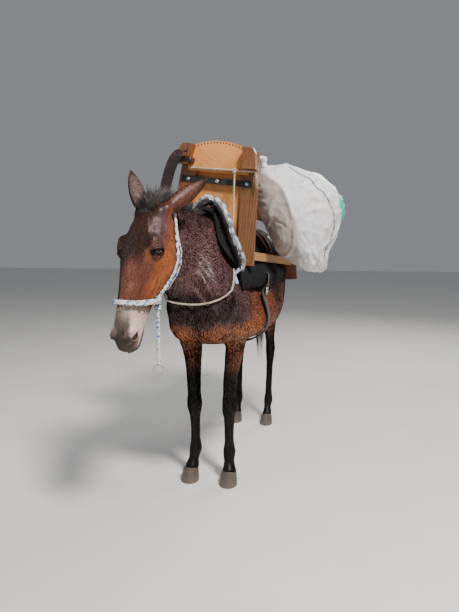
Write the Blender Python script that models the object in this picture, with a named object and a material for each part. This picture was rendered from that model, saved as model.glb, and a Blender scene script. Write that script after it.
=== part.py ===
"""A bay pack mule that stands with its head lowered, in a rope halter and a wooden pack saddle with one sack.

Metres, +Z up. The mule faces -Y and its left side is +X. The hooves stand on z = 0.
"""

import math
import random

import bmesh
import bpy
import numpy as np
from mathutils import Matrix, Vector
from mathutils.bvhtree import BVHTree

ACROSS = Vector((1, 0, 0))
UP = Vector((0, 0, 1))

# Driving sizes of the animal
GAP = 0.0003
HEAD_PITCH = math.radians(69.5)
HEAD_TURN = math.radians(15)
POLL = Vector((-0.118, -0.702, 1.455))
NECK_BEND_START_Y = 0.02
EYE_RADIUS = 0.0205
LID_THICKNESS = 0.0028
EAR_LENGTH = 0.25
EAR_SHELL = 0.005
MANE_START = 0.215
MANE_LENGTH = 0.42
CORONET_HEIGHT = 0.062
CORONET_TILT = math.radians(20)
STANCE_SHIFT = -0.020
ELBOW_OUT = 0.036

# Sizes of what it wears
ROPE_RADIUS = 0.0085
NOSEBAND_RADIUS = 0.0115
THIN_CORD_RADIUS = 0.0035
PAD_THICKNESS = 0.034
ROLL_RADIUS = 0.030
BOARD_THICKNESS = 0.022
SADDLE_ROLL = math.radians(7.5)
SADDLE_TURN = math.radians(4.5)
STRAP_CENTRE = Vector((-0.004, -0.02, 1.645))

# Triangles kept after thinning
BODY_FACES = 3700
HEAD_FACES = 1620


# Small helpers


def clear_scene():
    for obj in list(bpy.data.objects):
        bpy.data.objects.remove(obj)


def material(name, colour, roughness, metallic=0.0):
    made = bpy.data.materials.new(name)
    made.use_nodes = True
    shader = made.node_tree.nodes["Principled BSDF"]
    shader.inputs["Base Color"].default_value = (*colour, 1.0)
    shader.inputs["Roughness"].default_value = roughness
    shader.inputs["Metallic"].default_value = metallic
    return made


def add_object(name, shape, finish=None, smooth=True):
    """An object in the scene from a shape, which is (points, faces)."""
    points, faces = shape
    mesh = bpy.data.meshes.new(name)
    mesh.from_pydata([tuple(p) for p in points], [], [tuple(f) for f in faces])
    mesh.update()
    obj = bpy.data.objects.new(name, mesh)
    bpy.context.scene.collection.objects.link(obj)
    if finish:
        mesh.materials.append(finish)
    if smooth:
        mesh.shade_smooth()
    return obj


def bake(obj):
    """Replaces the object's mesh with what its modifiers make of it."""
    bpy.context.view_layer.update()
    graph = bpy.context.evaluated_depsgraph_get()
    mesh = bpy.data.meshes.new_from_object(obj.evaluated_get(graph))
    obj.modifiers.clear()
    obj.data = mesh
    return obj


def gather(shapes):
    """Several shapes as one, side by side."""
    points, faces = [], []
    for more_points, more_faces in shapes:
        start = len(points)
        points.extend(more_points)
        faces.extend([tuple(i + start for i in face) for face in more_faces])
    return points, faces


def loft(rings):
    """A closed body through rings of equal count, with flat ends."""
    count = len(rings[0])
    points = [p for ring in rings for p in ring]
    faces = [tuple(range(count))[::-1]]
    for i in range(len(rings) - 1):
        a, b = i * count, (i + 1) * count
        for j in range(count):
            k = (j + 1) % count
            faces.append((a + j, a + k, b + k, b + j))
    last = (len(rings) - 1) * count
    faces.append(tuple(range(last, last + count)))
    return outward((points, faces))


def outward(shape):
    """The shape with its faces turned out."""
    points, faces = shape
    work = bmesh.new()
    made = [work.verts.new(p) for p in points]
    for face in faces:
        work.faces.new([made[i] for i in face])
    bmesh.ops.recalc_face_normals(work, faces=work.faces)
    if work.calc_volume(signed=True) < 0:
        bmesh.ops.reverse_faces(work, faces=work.faces)
    work.verts.index_update()
    faces = [tuple(v.index for v in face.verts) for face in work.faces]
    work.free()
    return points, faces


def oval(centre, side, up, half_width, top, bottom, taper=0.0, count=20, power=2.0):
    """A ring of points, egg shaped where taper makes its top narrower than its foot."""
    ring = []
    for k in range(count):
        angle = 2 * math.pi * k / count
        c, s = math.cos(angle), math.sin(angle)
        across = math.copysign(abs(c) ** (2 / power), c)
        along = math.copysign(abs(s) ** (2 / power), s)
        width = half_width * across * (1 - taper * along)
        height = (top if along > 0 else bottom) * along
        ring.append(centre + side * width + up * height)
    return ring


def smooth_rows(rows, per_span=3):
    """Rows of numbers with more rows between them, on a Catmull-Rom curve through each column."""
    table = np.array(rows, float)
    padded = np.vstack([2 * table[0] - table[1], table, 2 * table[-1] - table[-2]])
    made = []
    for i in range(1, len(padded) - 2):
        p0, p1, p2, p3 = padded[i - 1 : i + 3]
        for k in range(per_span):
            t = k / per_span
            made.append(
                0.5
                * (
                    2 * p1
                    + (p2 - p0) * t
                    + (2 * p0 - 5 * p1 + 4 * p2 - p3) * t**2
                    + (3 * p1 - p0 - 3 * p2 + p3) * t**3
                )
            )
    made.append(table[-1])
    return made


def ellipsoid(centre, radii, rotation=None, rounds=2):
    work = bmesh.new()
    bmesh.ops.create_icosphere(work, subdivisions=rounds, radius=1.0)
    turn = rotation or Matrix.Identity(3)
    points = [centre + turn @ Vector([c * r for c, r in zip(v.co, radii)]) for v in work.verts]
    faces = [tuple(v.index for v in face.verts) for face in work.faces]
    work.free()
    return outward((points, faces))


def mirrored(shape):
    points, faces = shape
    return [Vector((-p[0], p[1], p[2])) for p in points], [face[::-1] for face in faces]


def box_shape(low, high):
    (x0, y0, z0), (x1, y1, z1) = low, high
    corners = [(x, y, z) for z in (z0, z1) for y in (y0, y1) for x in (x0, x1)]
    faces = [(0, 2, 3, 1), (4, 5, 7, 6), (0, 1, 5, 4), (2, 6, 7, 3), (0, 4, 6, 2), (1, 3, 7, 5)]
    return [Vector(c) for c in corners], faces


def moved(shape, matrix):
    return [matrix @ Vector(p) for p in shape[0]], shape[1]


def remove(obj):
    bpy.data.objects.remove(obj)


def largest_only(obj):
    """Keeps the largest closed surface of the object, by volume."""
    work = bmesh.new()
    work.from_mesh(obj.data)
    unseen, groups = set(work.faces), []
    while unseen:
        stack, group = [unseen.pop()], []
        while stack:
            face = stack.pop()
            group.append(face)
            for edge in face.edges:
                for other in edge.link_faces:
                    if other in unseen:
                        unseen.remove(other)
                        stack.append(other)
        groups.append(group)

    def volume(group):
        total = 0.0
        for face in group:
            first = face.verts[0].co
            for a, b in zip(face.verts[1:-1], face.verts[2:]):
                total += first.dot(a.co.cross(b.co)) / 6
        return total

    groups.sort(key=volume, reverse=True)
    spare = [face for group in groups[1:] for face in group]
    if spare:
        bmesh.ops.delete(work, geom=spare, context="FACES")
        loose = [v for v in work.verts if not v.link_faces]
        bmesh.ops.delete(work, geom=loose, context="VERTS")
        work.to_mesh(obj.data)
    work.free()
    return obj


def combine(obj, other, operation, keep_other=False, solver="EXACT"):
    """One Boolean between two objects, applied."""
    change = obj.modifiers.new("combine", "BOOLEAN")
    change.object = other
    change.operation = operation
    change.solver = solver
    bake(obj)
    if not keep_other:
        remove(other)
    return obj


def fuse(name, shapes, finish, solver="MANIFOLD"):
    """One closed body from overlapping closed shapes, by one union with a collection of them."""
    obj = add_object(name, shapes[0], finish)
    pieces = bpy.data.collections.new(name + "_pieces")
    bpy.context.scene.collection.children.link(pieces)
    for k, shape in enumerate(shapes[1:]):
        piece = add_object(f"{name}_piece_{k}", shape)
        bpy.context.scene.collection.objects.unlink(piece)
        pieces.objects.link(piece)
    union = obj.modifiers.new("union", "BOOLEAN")
    union.operation = "UNION"
    union.operand_type = "COLLECTION"
    union.collection = pieces
    union.solver = solver
    bake(obj)
    for piece in list(pieces.objects):
        remove(piece)
    bpy.data.collections.remove(pieces)
    return largest_only(obj)


def half_space(point, normal, size=4.0):
    """A large box whose one face holds the point, on the side that the normal points to."""
    turn = Vector(normal).to_track_quat("Z", "Y").to_matrix().to_4x4()
    half = size / 2
    shape = box_shape((-half, -half, 0), (half, half, size))
    return add_object("cutter", moved(shape, Matrix.Translation(point) @ turn), smooth=False)


def copy_of(obj, name):
    made = obj.copy()
    made.data = obj.data.copy()
    made.name = name
    bpy.context.scene.collection.objects.link(made)
    return made


def grown(obj, by):
    """A copy with its surface moved out along its normals."""
    made = copy_of(obj, "grown")
    push = made.modifiers.new("push", "DISPLACE")
    push.strength = by
    push.mid_level = 0.0
    return bake(made)


def volume_of(obj):
    work = bmesh.new()
    work.from_mesh(obj.data)
    closed = all(edge.is_manifold for edge in work.edges)
    volume = work.calc_volume(signed=True)
    work.free()
    return volume if closed else 0.0


def cut_clear(obj, *others):
    """Cuts the object back from the others, leaving the gap that touching pieces keep."""
    for other in others:
        before, whole = obj.data.copy(), volume_of(obj)
        for solver in ("EXACT", "MANIFOLD"):
            combine(obj, grown(other, GAP), "DIFFERENCE", solver=solver)
            largest_only(obj)
            if volume_of(obj) > 0.08 * whole:
                break
            print(obj.name, "less", other.name, "needs another solver than", solver)
            obj.data = before.copy()
    return obj


def on_a_cut(polygon):
    """Whether a face belongs to one of the thin cuts that part the skin."""
    for place, normal in ((NECK_CUT_POINT, NECK_CUT_NORMAL), (TRUNK_CUT_POINT, TRUNK_CUT_NORMAL)):
        if abs(polygon.normal.dot(normal)) > 0.999 and abs((polygon.center - place).dot(normal)) < 0.002:
            return True
    return False


def tree_of(*objects):
    """A tree of the objects' outer faces, without those in the cuts."""
    shapes = []
    for obj in objects:
        faces = [tuple(p.vertices) for p in obj.data.polygons if not on_a_cut(p)]
        shapes.append(([v.co.copy() for v in obj.data.vertices], faces))
    points, faces = gather(shapes)
    return BVHTree.FromPolygons(points, faces)


def touch(tree, inside, direction, reach=1.0):
    """The surface's point and normal, met from outside on the way in to a point inside."""
    direction = Vector(direction).normalized()
    found, normal, _, _ = tree.ray_cast(Vector(inside) + direction * reach, -direction)
    return found, normal


def lifted(path, tree, clearance, closed=False, rounds=14, ways=None):
    """The path pushed out of a surface, or along the ways given, until all of it keeps the clearance."""
    path = [Vector(p) for p in path]
    count = len(path)
    for _ in range(rounds):
        worst = 0.0
        for i in range(count if closed else count - 1):
            j = (i + 1) % count
            for share in (0.0, 0.25, 0.5, 0.75, 1.0):
                spot = path[i].lerp(path[j], share)
                near, normal, _, far = tree.find_nearest(spot)
                gap = far if (spot - near).dot(normal) > 0 else -far
                if gap < clearance:
                    by = clearance - gap
                    if share < 0.9:
                        path[i] += (ways[i] if ways else normal) * by
                    if share > 0.1:
                        path[j] += (ways[j] if ways else normal) * by
                    worst = max(worst, clearance - gap)
        if worst < 1e-5:
            break
    return path


def tube(path, radius, sides=8, closed=False, flat=1.0, up=None):
    """A tube along a path. flat squeezes its section along the up direction at each point."""
    rings = []
    count = len(path)
    for i, here in enumerate(path):
        before = path[i - 1] if i or closed else here
        after = path[(i + 1) % count] if i < count - 1 or closed else here
        along = (after - before).normalized()
        lift = up[i] if up else Vector((0, 0, 1))
        side = along.cross(lift)
        if side.length < 1e-4:
            side = along.cross(Vector((1, 0, 0)))
        side.normalize()
        lift = side.cross(along).normalized()
        size = radius[i] if hasattr(radius, "__len__") else radius
        ring = []
        for k in range(sides):
            angle = 2 * math.pi * k / sides
            ring.append(here + side * size * math.cos(angle) + lift * size * flat * math.sin(angle))
        rings.append(ring)
    if not closed:
        return loft(rings)
    points = [p for ring in rings for p in ring]
    faces = []
    for i in range(count):
        a, b = i * sides, (i + 1) % count * sides
        for j in range(sides):
            k = (j + 1) % sides
            faces.append((a + j, a + k, b + k, b + j))
    return outward((points, faces))


# The neck's bend and the head's own frame


def neck_shift(y):
    """How far the neck's middle has gone to the mule's right at this distance along it."""
    share = min(1.0, max(0.0, (NECK_BEND_START_Y - y) / (NECK_BEND_START_Y - POLL.y)))
    return POLL.x * math.sin(share * math.pi / 2) ** 1.15


def turn_at(y):
    return -math.atan2(neck_shift(y + 0.01) - neck_shift(y - 0.01), 0.02)


def turned(point):
    return Vector((point[0] + neck_shift(point[1]), point[1], point[2]))


HEAD_SPIN = Matrix.Rotation(-HEAD_TURN, 3, "Z")
HEAD_ORIGIN = POLL
HEAD_SIDE = HEAD_SPIN @ Vector((1, 0, 0))
HEAD_DOWN = HEAD_SPIN @ Vector((0, -math.cos(HEAD_PITCH), -math.sin(HEAD_PITCH)))
HEAD_FRONT = HEAD_SPIN @ Vector((0, -math.sin(HEAD_PITCH), math.cos(HEAD_PITCH)))
HEAD_AXES = Matrix((HEAD_SIDE, HEAD_DOWN, HEAD_FRONT)).transposed()


def on_head(x, s, n):
    """A place on the head: x to its left, s down from the poll to the lips, n out of the forehead."""
    return HEAD_ORIGIN + HEAD_AXES @ Vector((x, s, n))


# The flesh: stations along each part, then muscles

# Along the trunk: y, top line, under line, half width, how much narrower the top is, how high it is widest
TRUNK = [
    (-0.455, 1.08, 0.95, 0.050, 0.1, 0.44),
    (-0.425, 1.18, 0.87, 0.115, 0.1, 0.42),
    (-0.34, 1.29, 0.815, 0.165, 0.3, 0.38),
    (-0.22, 1.375, 0.785, 0.190, 0.55, 0.30),
    (-0.08, 1.435, 0.775, 0.200, 0.74, 0.26),
    (0.03, 1.45, 0.765, 0.208, 0.72, 0.27),
    (0.16, 1.425, 0.745, 0.232, 0.46, 0.38),
    (0.32, 1.395, 0.73, 0.268, 0.30, 0.43),
    (0.48, 1.385, 0.735, 0.280, 0.22, 0.44),
    (0.62, 1.40, 0.775, 0.272, 0.2, 0.44),
    (0.76, 1.435, 0.84, 0.256, 0.2, 0.44),
    (0.88, 1.435, 0.94, 0.238, 0.25, 0.44),
    (0.98, 1.39, 1.02, 0.198, 0.3, 0.44),
    (1.05, 1.32, 1.10, 0.135, 0.2, 0.44),
    (1.08, 1.27, 1.16, 0.060, 0.0, 0.44),
]

# Along the neck: crest y and z, under line y and z, half width
NECK = [
    (0.08, 1.41, -0.33, 0.92, 0.104),
    (-0.08, 1.448, -0.44, 1.02, 0.094),
    (-0.24, 1.472, -0.505, 1.11, 0.087),
    (-0.41, 1.490, -0.56, 1.19, 0.082),
    (-0.57, 1.485, -0.605, 1.26, 0.076),
    (-0.69, 1.458, -0.64, 1.30, 0.072),
]

# Down the head from the poll: s, front line n, jaw line n, half width, how much narrower the front is
HEAD = [
    (-0.040, -0.040, -0.110, 0.042, 0.0),
    (-0.005, -0.006, -0.155, 0.068, 0.0),
    (0.06, 0.014, -0.192, 0.086, -0.05),
    (0.125, 0.028, -0.226, 0.098, -0.1),
    (0.185, 0.035, -0.246, 0.101, -0.12),
    (0.235, 0.035, -0.243, 0.094, -0.1),
    (0.29, 0.031, -0.212, 0.079, -0.05),
    (0.34, 0.026, -0.176, 0.066, 0.0),
    (0.39, 0.020, -0.149, 0.058, 0.0),
    (0.445, 0.012, -0.130, 0.053, 0.0),
    (0.50, 0.002, -0.122, 0.056, -0.05),
    (0.545, -0.012, -0.122, 0.058, -0.05),
    (0.58, -0.030, -0.112, 0.050, 0.0),
    (0.605, -0.054, -0.088, 0.030, 0.0),
]

# Down each left leg: x, y, z, half width across, half depth
FORELEG = [
    (0.128, -0.075, 0.990, 0.0603, 0.1150),
    (0.128, -0.075, 0.890, 0.0624, 0.1120),
    (0.124, -0.080, 0.800, 0.0572, 0.0920),
    (0.118, -0.085, 0.720, 0.0510, 0.0720),
    (0.111, -0.088, 0.640, 0.0447, 0.0580),
    (0.105, -0.090, 0.560, 0.0407, 0.0504),
    (0.102, -0.092, 0.490, 0.0385, 0.0441),
    (0.100, -0.094, 0.440, 0.0440, 0.0473),
    (0.099, -0.093, 0.398, 0.0429, 0.0451),
    (0.099, -0.088, 0.355, 0.0319, 0.0378),
    (0.098, -0.085, 0.280, 0.0275, 0.0347),
    (0.098, -0.083, 0.210, 0.0286, 0.0357),
    (0.098, -0.082, 0.175, 0.0352, 0.0420),
    (0.099, -0.086, 0.148, 0.0363, 0.0431),
    (0.102, -0.100, 0.118, 0.0308, 0.0357),
    (0.106, -0.114, 0.088, 0.0352, 0.0399),
    (0.110, -0.128, 0.052, 0.0462, 0.0504),
]
HINDLEG = [
    (0.130, 0.85, 1.08, 0.080, 0.185),
    (0.135, 0.83, 0.95, 0.072, 0.155),
    (0.135, 0.835, 0.84, 0.060, 0.115),
    (0.130, 0.875, 0.745, 0.047, 0.082),
    (0.125, 0.92, 0.665, 0.038, 0.060),
    (0.121, 0.965, 0.595, 0.034, 0.052),
    (0.119, 0.985, 0.545, 0.036, 0.055),
    (0.118, 0.985, 0.485, 0.032, 0.045),
    (0.117, 0.974, 0.42, 0.027, 0.036),
    (0.116, 0.960, 0.32, 0.0255, 0.034),
    (0.115, 0.948, 0.22, 0.026, 0.035),
    (0.115, 0.942, 0.178, 0.032, 0.041),
    (0.115, 0.934, 0.148, 0.033, 0.041),
    (0.115, 0.913, 0.118, 0.028, 0.034),
    (0.115, 0.893, 0.088, 0.031, 0.037),
    (0.115, 0.876, 0.052, 0.040, 0.046),
]

# Muscles and bones of the left side that show: centre, radii, tilt about X in degrees
BODY_MUSCLES = {
    "shoulder blade": ((0.086, -0.11, 1.04), (0.056, 0.105, 0.17), -30),
    "shoulder point": ((0.124, -0.33, 1.00), (0.062, 0.080, 0.095), 0),
    "triceps": ((0.142, -0.06, 0.94), (0.060, 0.13, 0.13), 20),
    "breast": ((0.078, -0.375, 0.94), (0.080, 0.082, 0.120), 0),
    "croup": ((0.110, 0.80, 1.24), (0.118, 0.22, 0.165), 0),
    "thigh": ((0.138, 0.86, 1.06), (0.098, 0.195, 0.245), 10),
    "buttock": ((0.095, 0.995, 1.09), (0.085, 0.088, 0.175), 8),
    "stifle": ((0.150, 0.675, 0.90), (0.064, 0.090, 0.120), -20),
    "knee's rear bone": ((0.100, -0.052, 0.428), (0.014, 0.014, 0.030), 0),
    "point of hock": ((0.120, 1.033, 0.585), (0.017, 0.020, 0.050), 12),
    "fetlock tuft, fore": ((0.098, -0.050, 0.160), (0.018, 0.014, 0.026), 0),
    "fetlock tuft, hind": ((0.115, 0.973, 0.165), (0.018, 0.014, 0.026), 0),
}

# On the head, in its own frame: place as x, s, n, then radii across, down and out
HEAD_MUSCLES = {
    "jowl": ((0.060, 0.170, -0.145), (0.036, 0.085, 0.082)),
    "brow": ((0.082, 0.158, 0.006), (0.026, 0.038, 0.024)),
    "orbit": ((0.091, 0.190, -0.020), (0.021, 0.038, 0.032)),
    "ear muscle": ((0.056, 0.015, -0.050), (0.030, 0.045, 0.050)),
    "cheek ridge": ((0.069, 0.270, -0.070), (0.014, 0.078, 0.014)),
    "nostril": ((0.043, 0.535, -0.038), (0.020, 0.036, 0.030)),
}
HEAD_MIDDLE = {
    "nose bridge": ((0.0, 0.33, 0.012), (0.030, 0.13, 0.016)),
    "upper lip": ((0.0, 0.588, -0.062), (0.042, 0.022, 0.026)),
    "lower lip": ((0.0, 0.568, -0.100), (0.034, 0.026, 0.016)),
    "chin": ((0.0, 0.535, -0.116), (0.030, 0.030, 0.016)),
}


HOCK_TENDON = [(0.121, 1.036, 0.60), (0.126, 1.00, 0.68), (0.130, 0.945, 0.77)]


def trunk_shape():
    rings = []
    for y, top, bottom, half, taper, widest in smooth_rows(TRUNK):
        middle = bottom + widest * (top - bottom)
        centre = Vector((0, y, middle))
        rings.append(oval(centre, ACROSS, UP, half, top - middle, middle - bottom, taper, 28, 2.15))
    return loft(rings)


def neck_shape():
    rings = []
    for crest_y, crest_z, under_y, under_z, half in smooth_rows(NECK):
        crest = turned((0, crest_y, crest_z))
        under = turned((0, under_y, under_z))
        up = crest - under
        side = Matrix.Rotation(turn_at((crest_y + under_y) / 2), 3, "Z") @ Vector((1, 0, 0))
        centre = under + up * 0.42
        long = up.length
        rings.append(oval(centre, side, up / long, half, 0.58 * long, 0.42 * long, 0.32, 24))
    return loft(rings)


def head_shape():
    rings = []
    for s, front, jaw, half, taper in smooth_rows(HEAD):
        middle = jaw + 0.55 * (front - jaw)
        ring = oval(Vector((0, s, middle)), ACROSS, UP, half, front - middle, middle - jaw, taper, 24, 2.3)
        rings.append([on_head(*p) for p in ring])
    return loft(rings)


def leg_shape(rows, side=1):
    rings = []
    for x, y, z, half, deep in smooth_rows(rows):
        out = elbow_out(rows, side, z)
        x = side * (x + 0.6 * out) + stance_shift(rows, z)
        rings.append(oval(Vector((x, y, z)), ACROSS, Vector((0, -1, 0)), half + 0.4 * out, deep, deep, 0.1, 18))
    return loft(rings)


def elbow_out(rows, side, z):
    """The right elbow stands a little away from the chest."""
    return ELBOW_OUT * math.exp(-((z - 0.84) / 0.09)**2) if rows is FORELEG and side < 0 else 0.0


def stance_shift(rows, z):
    """The forefeet stand a little to the right of the chest."""
    return STANCE_SHIFT * min(1.0, max(0.0, (0.92 - z) / 0.35)) if rows is FORELEG else 0.0


def muscle_shapes():
    shapes = []
    for name, (centre, radii, tilt) in BODY_MUSCLES.items():
        shape = ellipsoid(Vector(centre), radii, Matrix.Rotation(math.radians(tilt), 3, "X"))
        pair = [shape, mirrored(shape)]
        if name in ("knee's rear bone", "fetlock tuft, fore"):
            pair = [moved(one, Matrix.Translation((STANCE_SHIFT, 0, 0))) for one in pair]
        shapes += pair
    tendon = tube([Vector(p) for p in HOCK_TENDON], 0.015)
    return shapes + [tendon, mirrored(tendon)]


def head_muscle_shapes():
    shapes = []
    for (x, s, n), radii in HEAD_MUSCLES.values():
        shapes += [ellipsoid(on_head(side * x, s, n), radii, HEAD_AXES) for side in (1, -1)]
    for (x, s, n), radii in HEAD_MIDDLE.values():
        shapes.append(ellipsoid(on_head(x, s, n), radii, HEAD_AXES))
    return shapes


def flesh(name, shapes, voxel, rounds, soft_rounds, soft_weight):
    """One skin over overlapping shapes: fused on a fine grid, then smoothed, most where soft_weight is 1."""
    obj = add_object(name, gather(shapes))
    grid = obj.modifiers.new("grid", "REMESH")
    grid.mode = "VOXEL"
    grid.voxel_size = voxel
    bake(obj)
    soft = obj.vertex_groups.new(name="soft")
    for v in obj.data.vertices:
        soft.add([v.index], soft_weight(v.co), "REPLACE")
    smooth = obj.modifiers.new("soft", "SMOOTH")
    smooth.factor = 0.5
    smooth.iterations = soft_rounds
    smooth.vertex_group = "soft"
    fine = obj.modifiers.new("fine", "SMOOTH")
    fine.factor = 0.5
    fine.iterations = rounds
    bake(obj)
    obj.vertex_groups.clear()
    return obj


def thin_out(obj, faces):
    """Fewer triangles, where the surface needs them least."""
    thin = obj.modifiers.new("thin", "DECIMATE")
    triangles = sum(len(p.vertices) - 2 for p in obj.data.polygons)
    thin.ratio = min(1.0, faces / triangles)
    thin.use_collapse_triangulate = True
    return bake(obj)


def trunk_softness(point):
    """1 on the trunk and neck, fading out down the legs and on the head."""
    low = min(1.0, max(0.0, (point.z - 0.66) / 0.16))
    ahead = min(1.0, max(0.0, (point.y + 0.66) / 0.14))
    return low * ahead


def body_flesh():
    legs = [leg_shape(rows, side) for rows in (FORELEG, HINDLEG) for side in (1, -1)]
    shapes = [trunk_shape(), neck_shape(), head_shape()] + legs + muscle_shapes() + head_muscle_shapes()
    body = flesh("body", shapes, 0.0085, 3, 26, trunk_softness)
    return thin_out(body, BODY_FACES)


def head_flesh():
    shapes = [neck_shape(), head_shape()] + head_muscle_shapes()
    head = flesh("head", shapes, 0.0050, 4, 18, lambda p: min(1.0, max(0.0, (p.y + 0.66) / 0.14)))
    combine(head, half_space(NECK_CUT_POINT - NECK_CUT_NORMAL * 0.001, -NECK_CUT_NORMAL), "DIFFERENCE")
    return thin_out(head, HEAD_FACES)


# Where the whole skin is parted: the head from the neck, the neck from the trunk, the legs from the trunk
NECK_CUT_POINT = turned((0, -0.615, 1.45))
NECK_CUT_NORMAL = (HEAD_SPIN @ Vector((0, -0.97, -0.24))).normalized()
TRUNK_CUT_POINT = Vector((0, -0.235, 1.20))
TRUNK_CUT_NORMAL = Vector((0, -0.74, 0.67)).normalized()
FORELEG_BOX = ((0.045, -0.32, -0.1), (0.4, 0.075, 0.80))
HINDLEG_SIDE = [(0.585, 0.76), (0.67, 0.93), (1.16, 1.02), (1.3, 1.0), (1.3, -0.1), (0.585, -0.1)]
HINDLEG_INNER_X = 0.030


def leg_cutter(which, side, by=0.0):
    if which == "fore":
        (x0, y0, z0), (x1, y1, z1) = FORELEG_BOX
        shape = box_shape((x0 - by, y0 - by, z0 - by), (x1 + by, y1 + by, z1 + by))
    else:
        middle = (0.9, 0.5)
        outline = []
        for y, z in HINDLEG_SIDE:
            ahead, above = math.copysign(by * 2, y - middle[0]), math.copysign(by * 2, z - middle[1])
            outline.append((y + ahead, z + above))
        rings = [[Vector((x, y, z)) for y, z in outline] for x in (HINDLEG_INNER_X - by, 0.45 + by)]
        shape = loft(rings)
    if side < 0:
        shape = mirrored(shape)
    return add_object("cutter", shape, smooth=False)


def part_the_body(body, finish):
    """The nodes of flesh, cut from one skin."""
    legs = {}
    trunk = copy_of(body, "torso")
    for which in ("fore", "hind"):
        for side, word in ((1, "left"), (-1, "right")):
            leg = copy_of(body, f"{which}leg_{word}")
            combine(leg, leg_cutter(which, side), "INTERSECT")
            legs[leg.name] = largest_only(leg)
            combine(trunk, leg_cutter(which, side, GAP), "DIFFERENCE")
    neck = copy_of(trunk, "neck")
    combine(neck, half_space(TRUNK_CUT_POINT, -TRUNK_CUT_NORMAL), "DIFFERENCE")
    combine(neck, half_space(NECK_CUT_POINT - NECK_CUT_NORMAL * GAP, NECK_CUT_NORMAL), "DIFFERENCE")
    combine(trunk, half_space(TRUNK_CUT_POINT - TRUNK_CUT_NORMAL * GAP, TRUNK_CUT_NORMAL), "DIFFERENCE")
    remove(body)
    for obj in [trunk, neck, *legs.values()]:
        largest_only(obj)
        obj.data.materials.clear()
        obj.data.materials.append(finish)
    return trunk, neck, legs


# Hooves


def coronet_place(rows, side):
    """Where the hoof's top meets the leg."""
    x, y = rows[-1][0], rows[-1][1]
    return Vector((side * x + stance_shift(rows, 0.0), y, CORONET_HEIGHT))


# Up the hoof: share of its height, its size against the coronet's, and how far its middle lies ahead
HOOF_ROWS = [(0.0, 1.0, -0.020), (0.08, 1.015, -0.020), (0.6, 0.93, -0.010), (1.0, 0.86, -0.003)]


def hoof_shape(rows, side, half_width, half_length):
    """Walls that slope out to a flat sole, with a tilted top."""
    top_centre = coronet_place(rows, side)
    slope = math.tan(CORONET_TILT)
    rings = []
    for share, grow, ahead in HOOF_ROWS:
        ring = []
        for k in range(16):
            angle = 2 * math.pi * k / 16
            c, s = math.cos(angle), math.sin(angle)
            heel = 0.84 if s > 0.6 else 1.0
            x = top_centre.x + half_width * grow * c
            y = top_centre.y + ahead + half_length * grow * s * heel
            top = CORONET_HEIGHT - slope * (y - top_centre.y)
            ring.append(Vector((x, y, top * share)))
        rings.append(ring)
    return loft(rings)


def add_hooves(legs, finish):
    hooves = []
    normal = Vector((0, math.sin(CORONET_TILT), math.cos(CORONET_TILT)))
    for which, rows, width, length in (("fore", FORELEG, 0.049, 0.057), ("hind", HINDLEG, 0.044, 0.054)):
        for side, word in ((1, "left"), (-1, "right")):
            hoof = add_object(f"hoof_{which}_{word}", hoof_shape(rows, side, width, length), finish)
            hooves.append(hoof)
            leg = legs[f"{which}leg_{word}"]
            combine(leg, half_space(coronet_place(rows, side) + normal * GAP, -normal), "DIFFERENCE")
            largest_only(leg)
    return hooves


# Eyes, lids, nostrils and mouth

EYE_PLACE = (0.0875, 0.190, -0.024)
EYE_LOOK = Vector((0.93, 0.10, 0.35)).normalized()


def eye_axes(side):
    """The eye's own frame in the head's: along the lids, up the lids, out of the eye."""
    look = Vector((side * EYE_LOOK.x, EYE_LOOK.y, EYE_LOOK.z))
    along = Vector((0, 0.55, 0.84))
    along = (along - look * along.dot(look)).normalized()
    across = look.cross(along)
    return Matrix((along, across, look)).transposed()


def almond(length, height, count=7):
    """An outline of two arcs that meet at the corners of the eye."""
    upper = [(-math.cos(math.pi * k / count), math.sin(math.pi * k / count)) for k in range(count)]
    lower = [(math.cos(math.pi * k / count), -0.8 * math.sin(math.pi * k / count)) for k in range(count)]
    return [(a * length / 2, b * height / 2) for a, b in upper + lower]


def open_the_eye(head, side):
    """A lid over the eye's ball, the socket for the ball, and the slit between the lids."""
    place = on_head(side * EYE_PLACE[0], EYE_PLACE[1], EYE_PLACE[2])
    axes = HEAD_AXES @ eye_axes(side)
    lid = add_object("lid", ellipsoid(place, (EYE_RADIUS + LID_THICKNESS,) * 3, rounds=3))
    combine(head, lid, "UNION")
    socket = add_object("socket", ellipsoid(place, (EYE_RADIUS + GAP,) * 3))
    combine(head, socket, "DIFFERENCE")
    outline = almond(0.037, 0.0185)
    rings = [[place + axes @ Vector((a, b, deep)) for a, b in outline] for deep in (0.004, 0.040)]
    combine(head, add_object("slit", loft(rings)), "DIFFERENCE")
    return place


def open_the_muzzle(head):
    """Two nostrils, and the line of the mouth back to its corners."""
    for side in (1, -1):
        turn = Matrix.Rotation(math.radians(32), 3, "X") @ Matrix.Rotation(math.radians(side * 38), 3, "Y")
        tilt = HEAD_AXES @ turn
        place = on_head(side * 0.053, 0.545, -0.036)
        combine(head, add_object("nostril", ellipsoid(place, (0.022, 0.021, 0.0085), tilt)), "DIFFERENCE")
    mouth = ellipsoid(on_head(0, 0.555, -0.0855), (0.075, 0.064, 0.0018), HEAD_AXES)
    combine(head, add_object("mouth", mouth), "DIFFERENCE")


def add_eyes(head, finish):
    eyes = []
    for side, word in ((1, "left"), (-1, "right")):
        place = open_the_eye(head, side)
        eyes.append(add_object(f"eye_{word}", ellipsoid(place, (EYE_RADIUS,) * 3), finish))
    return eyes


# Ears

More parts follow.
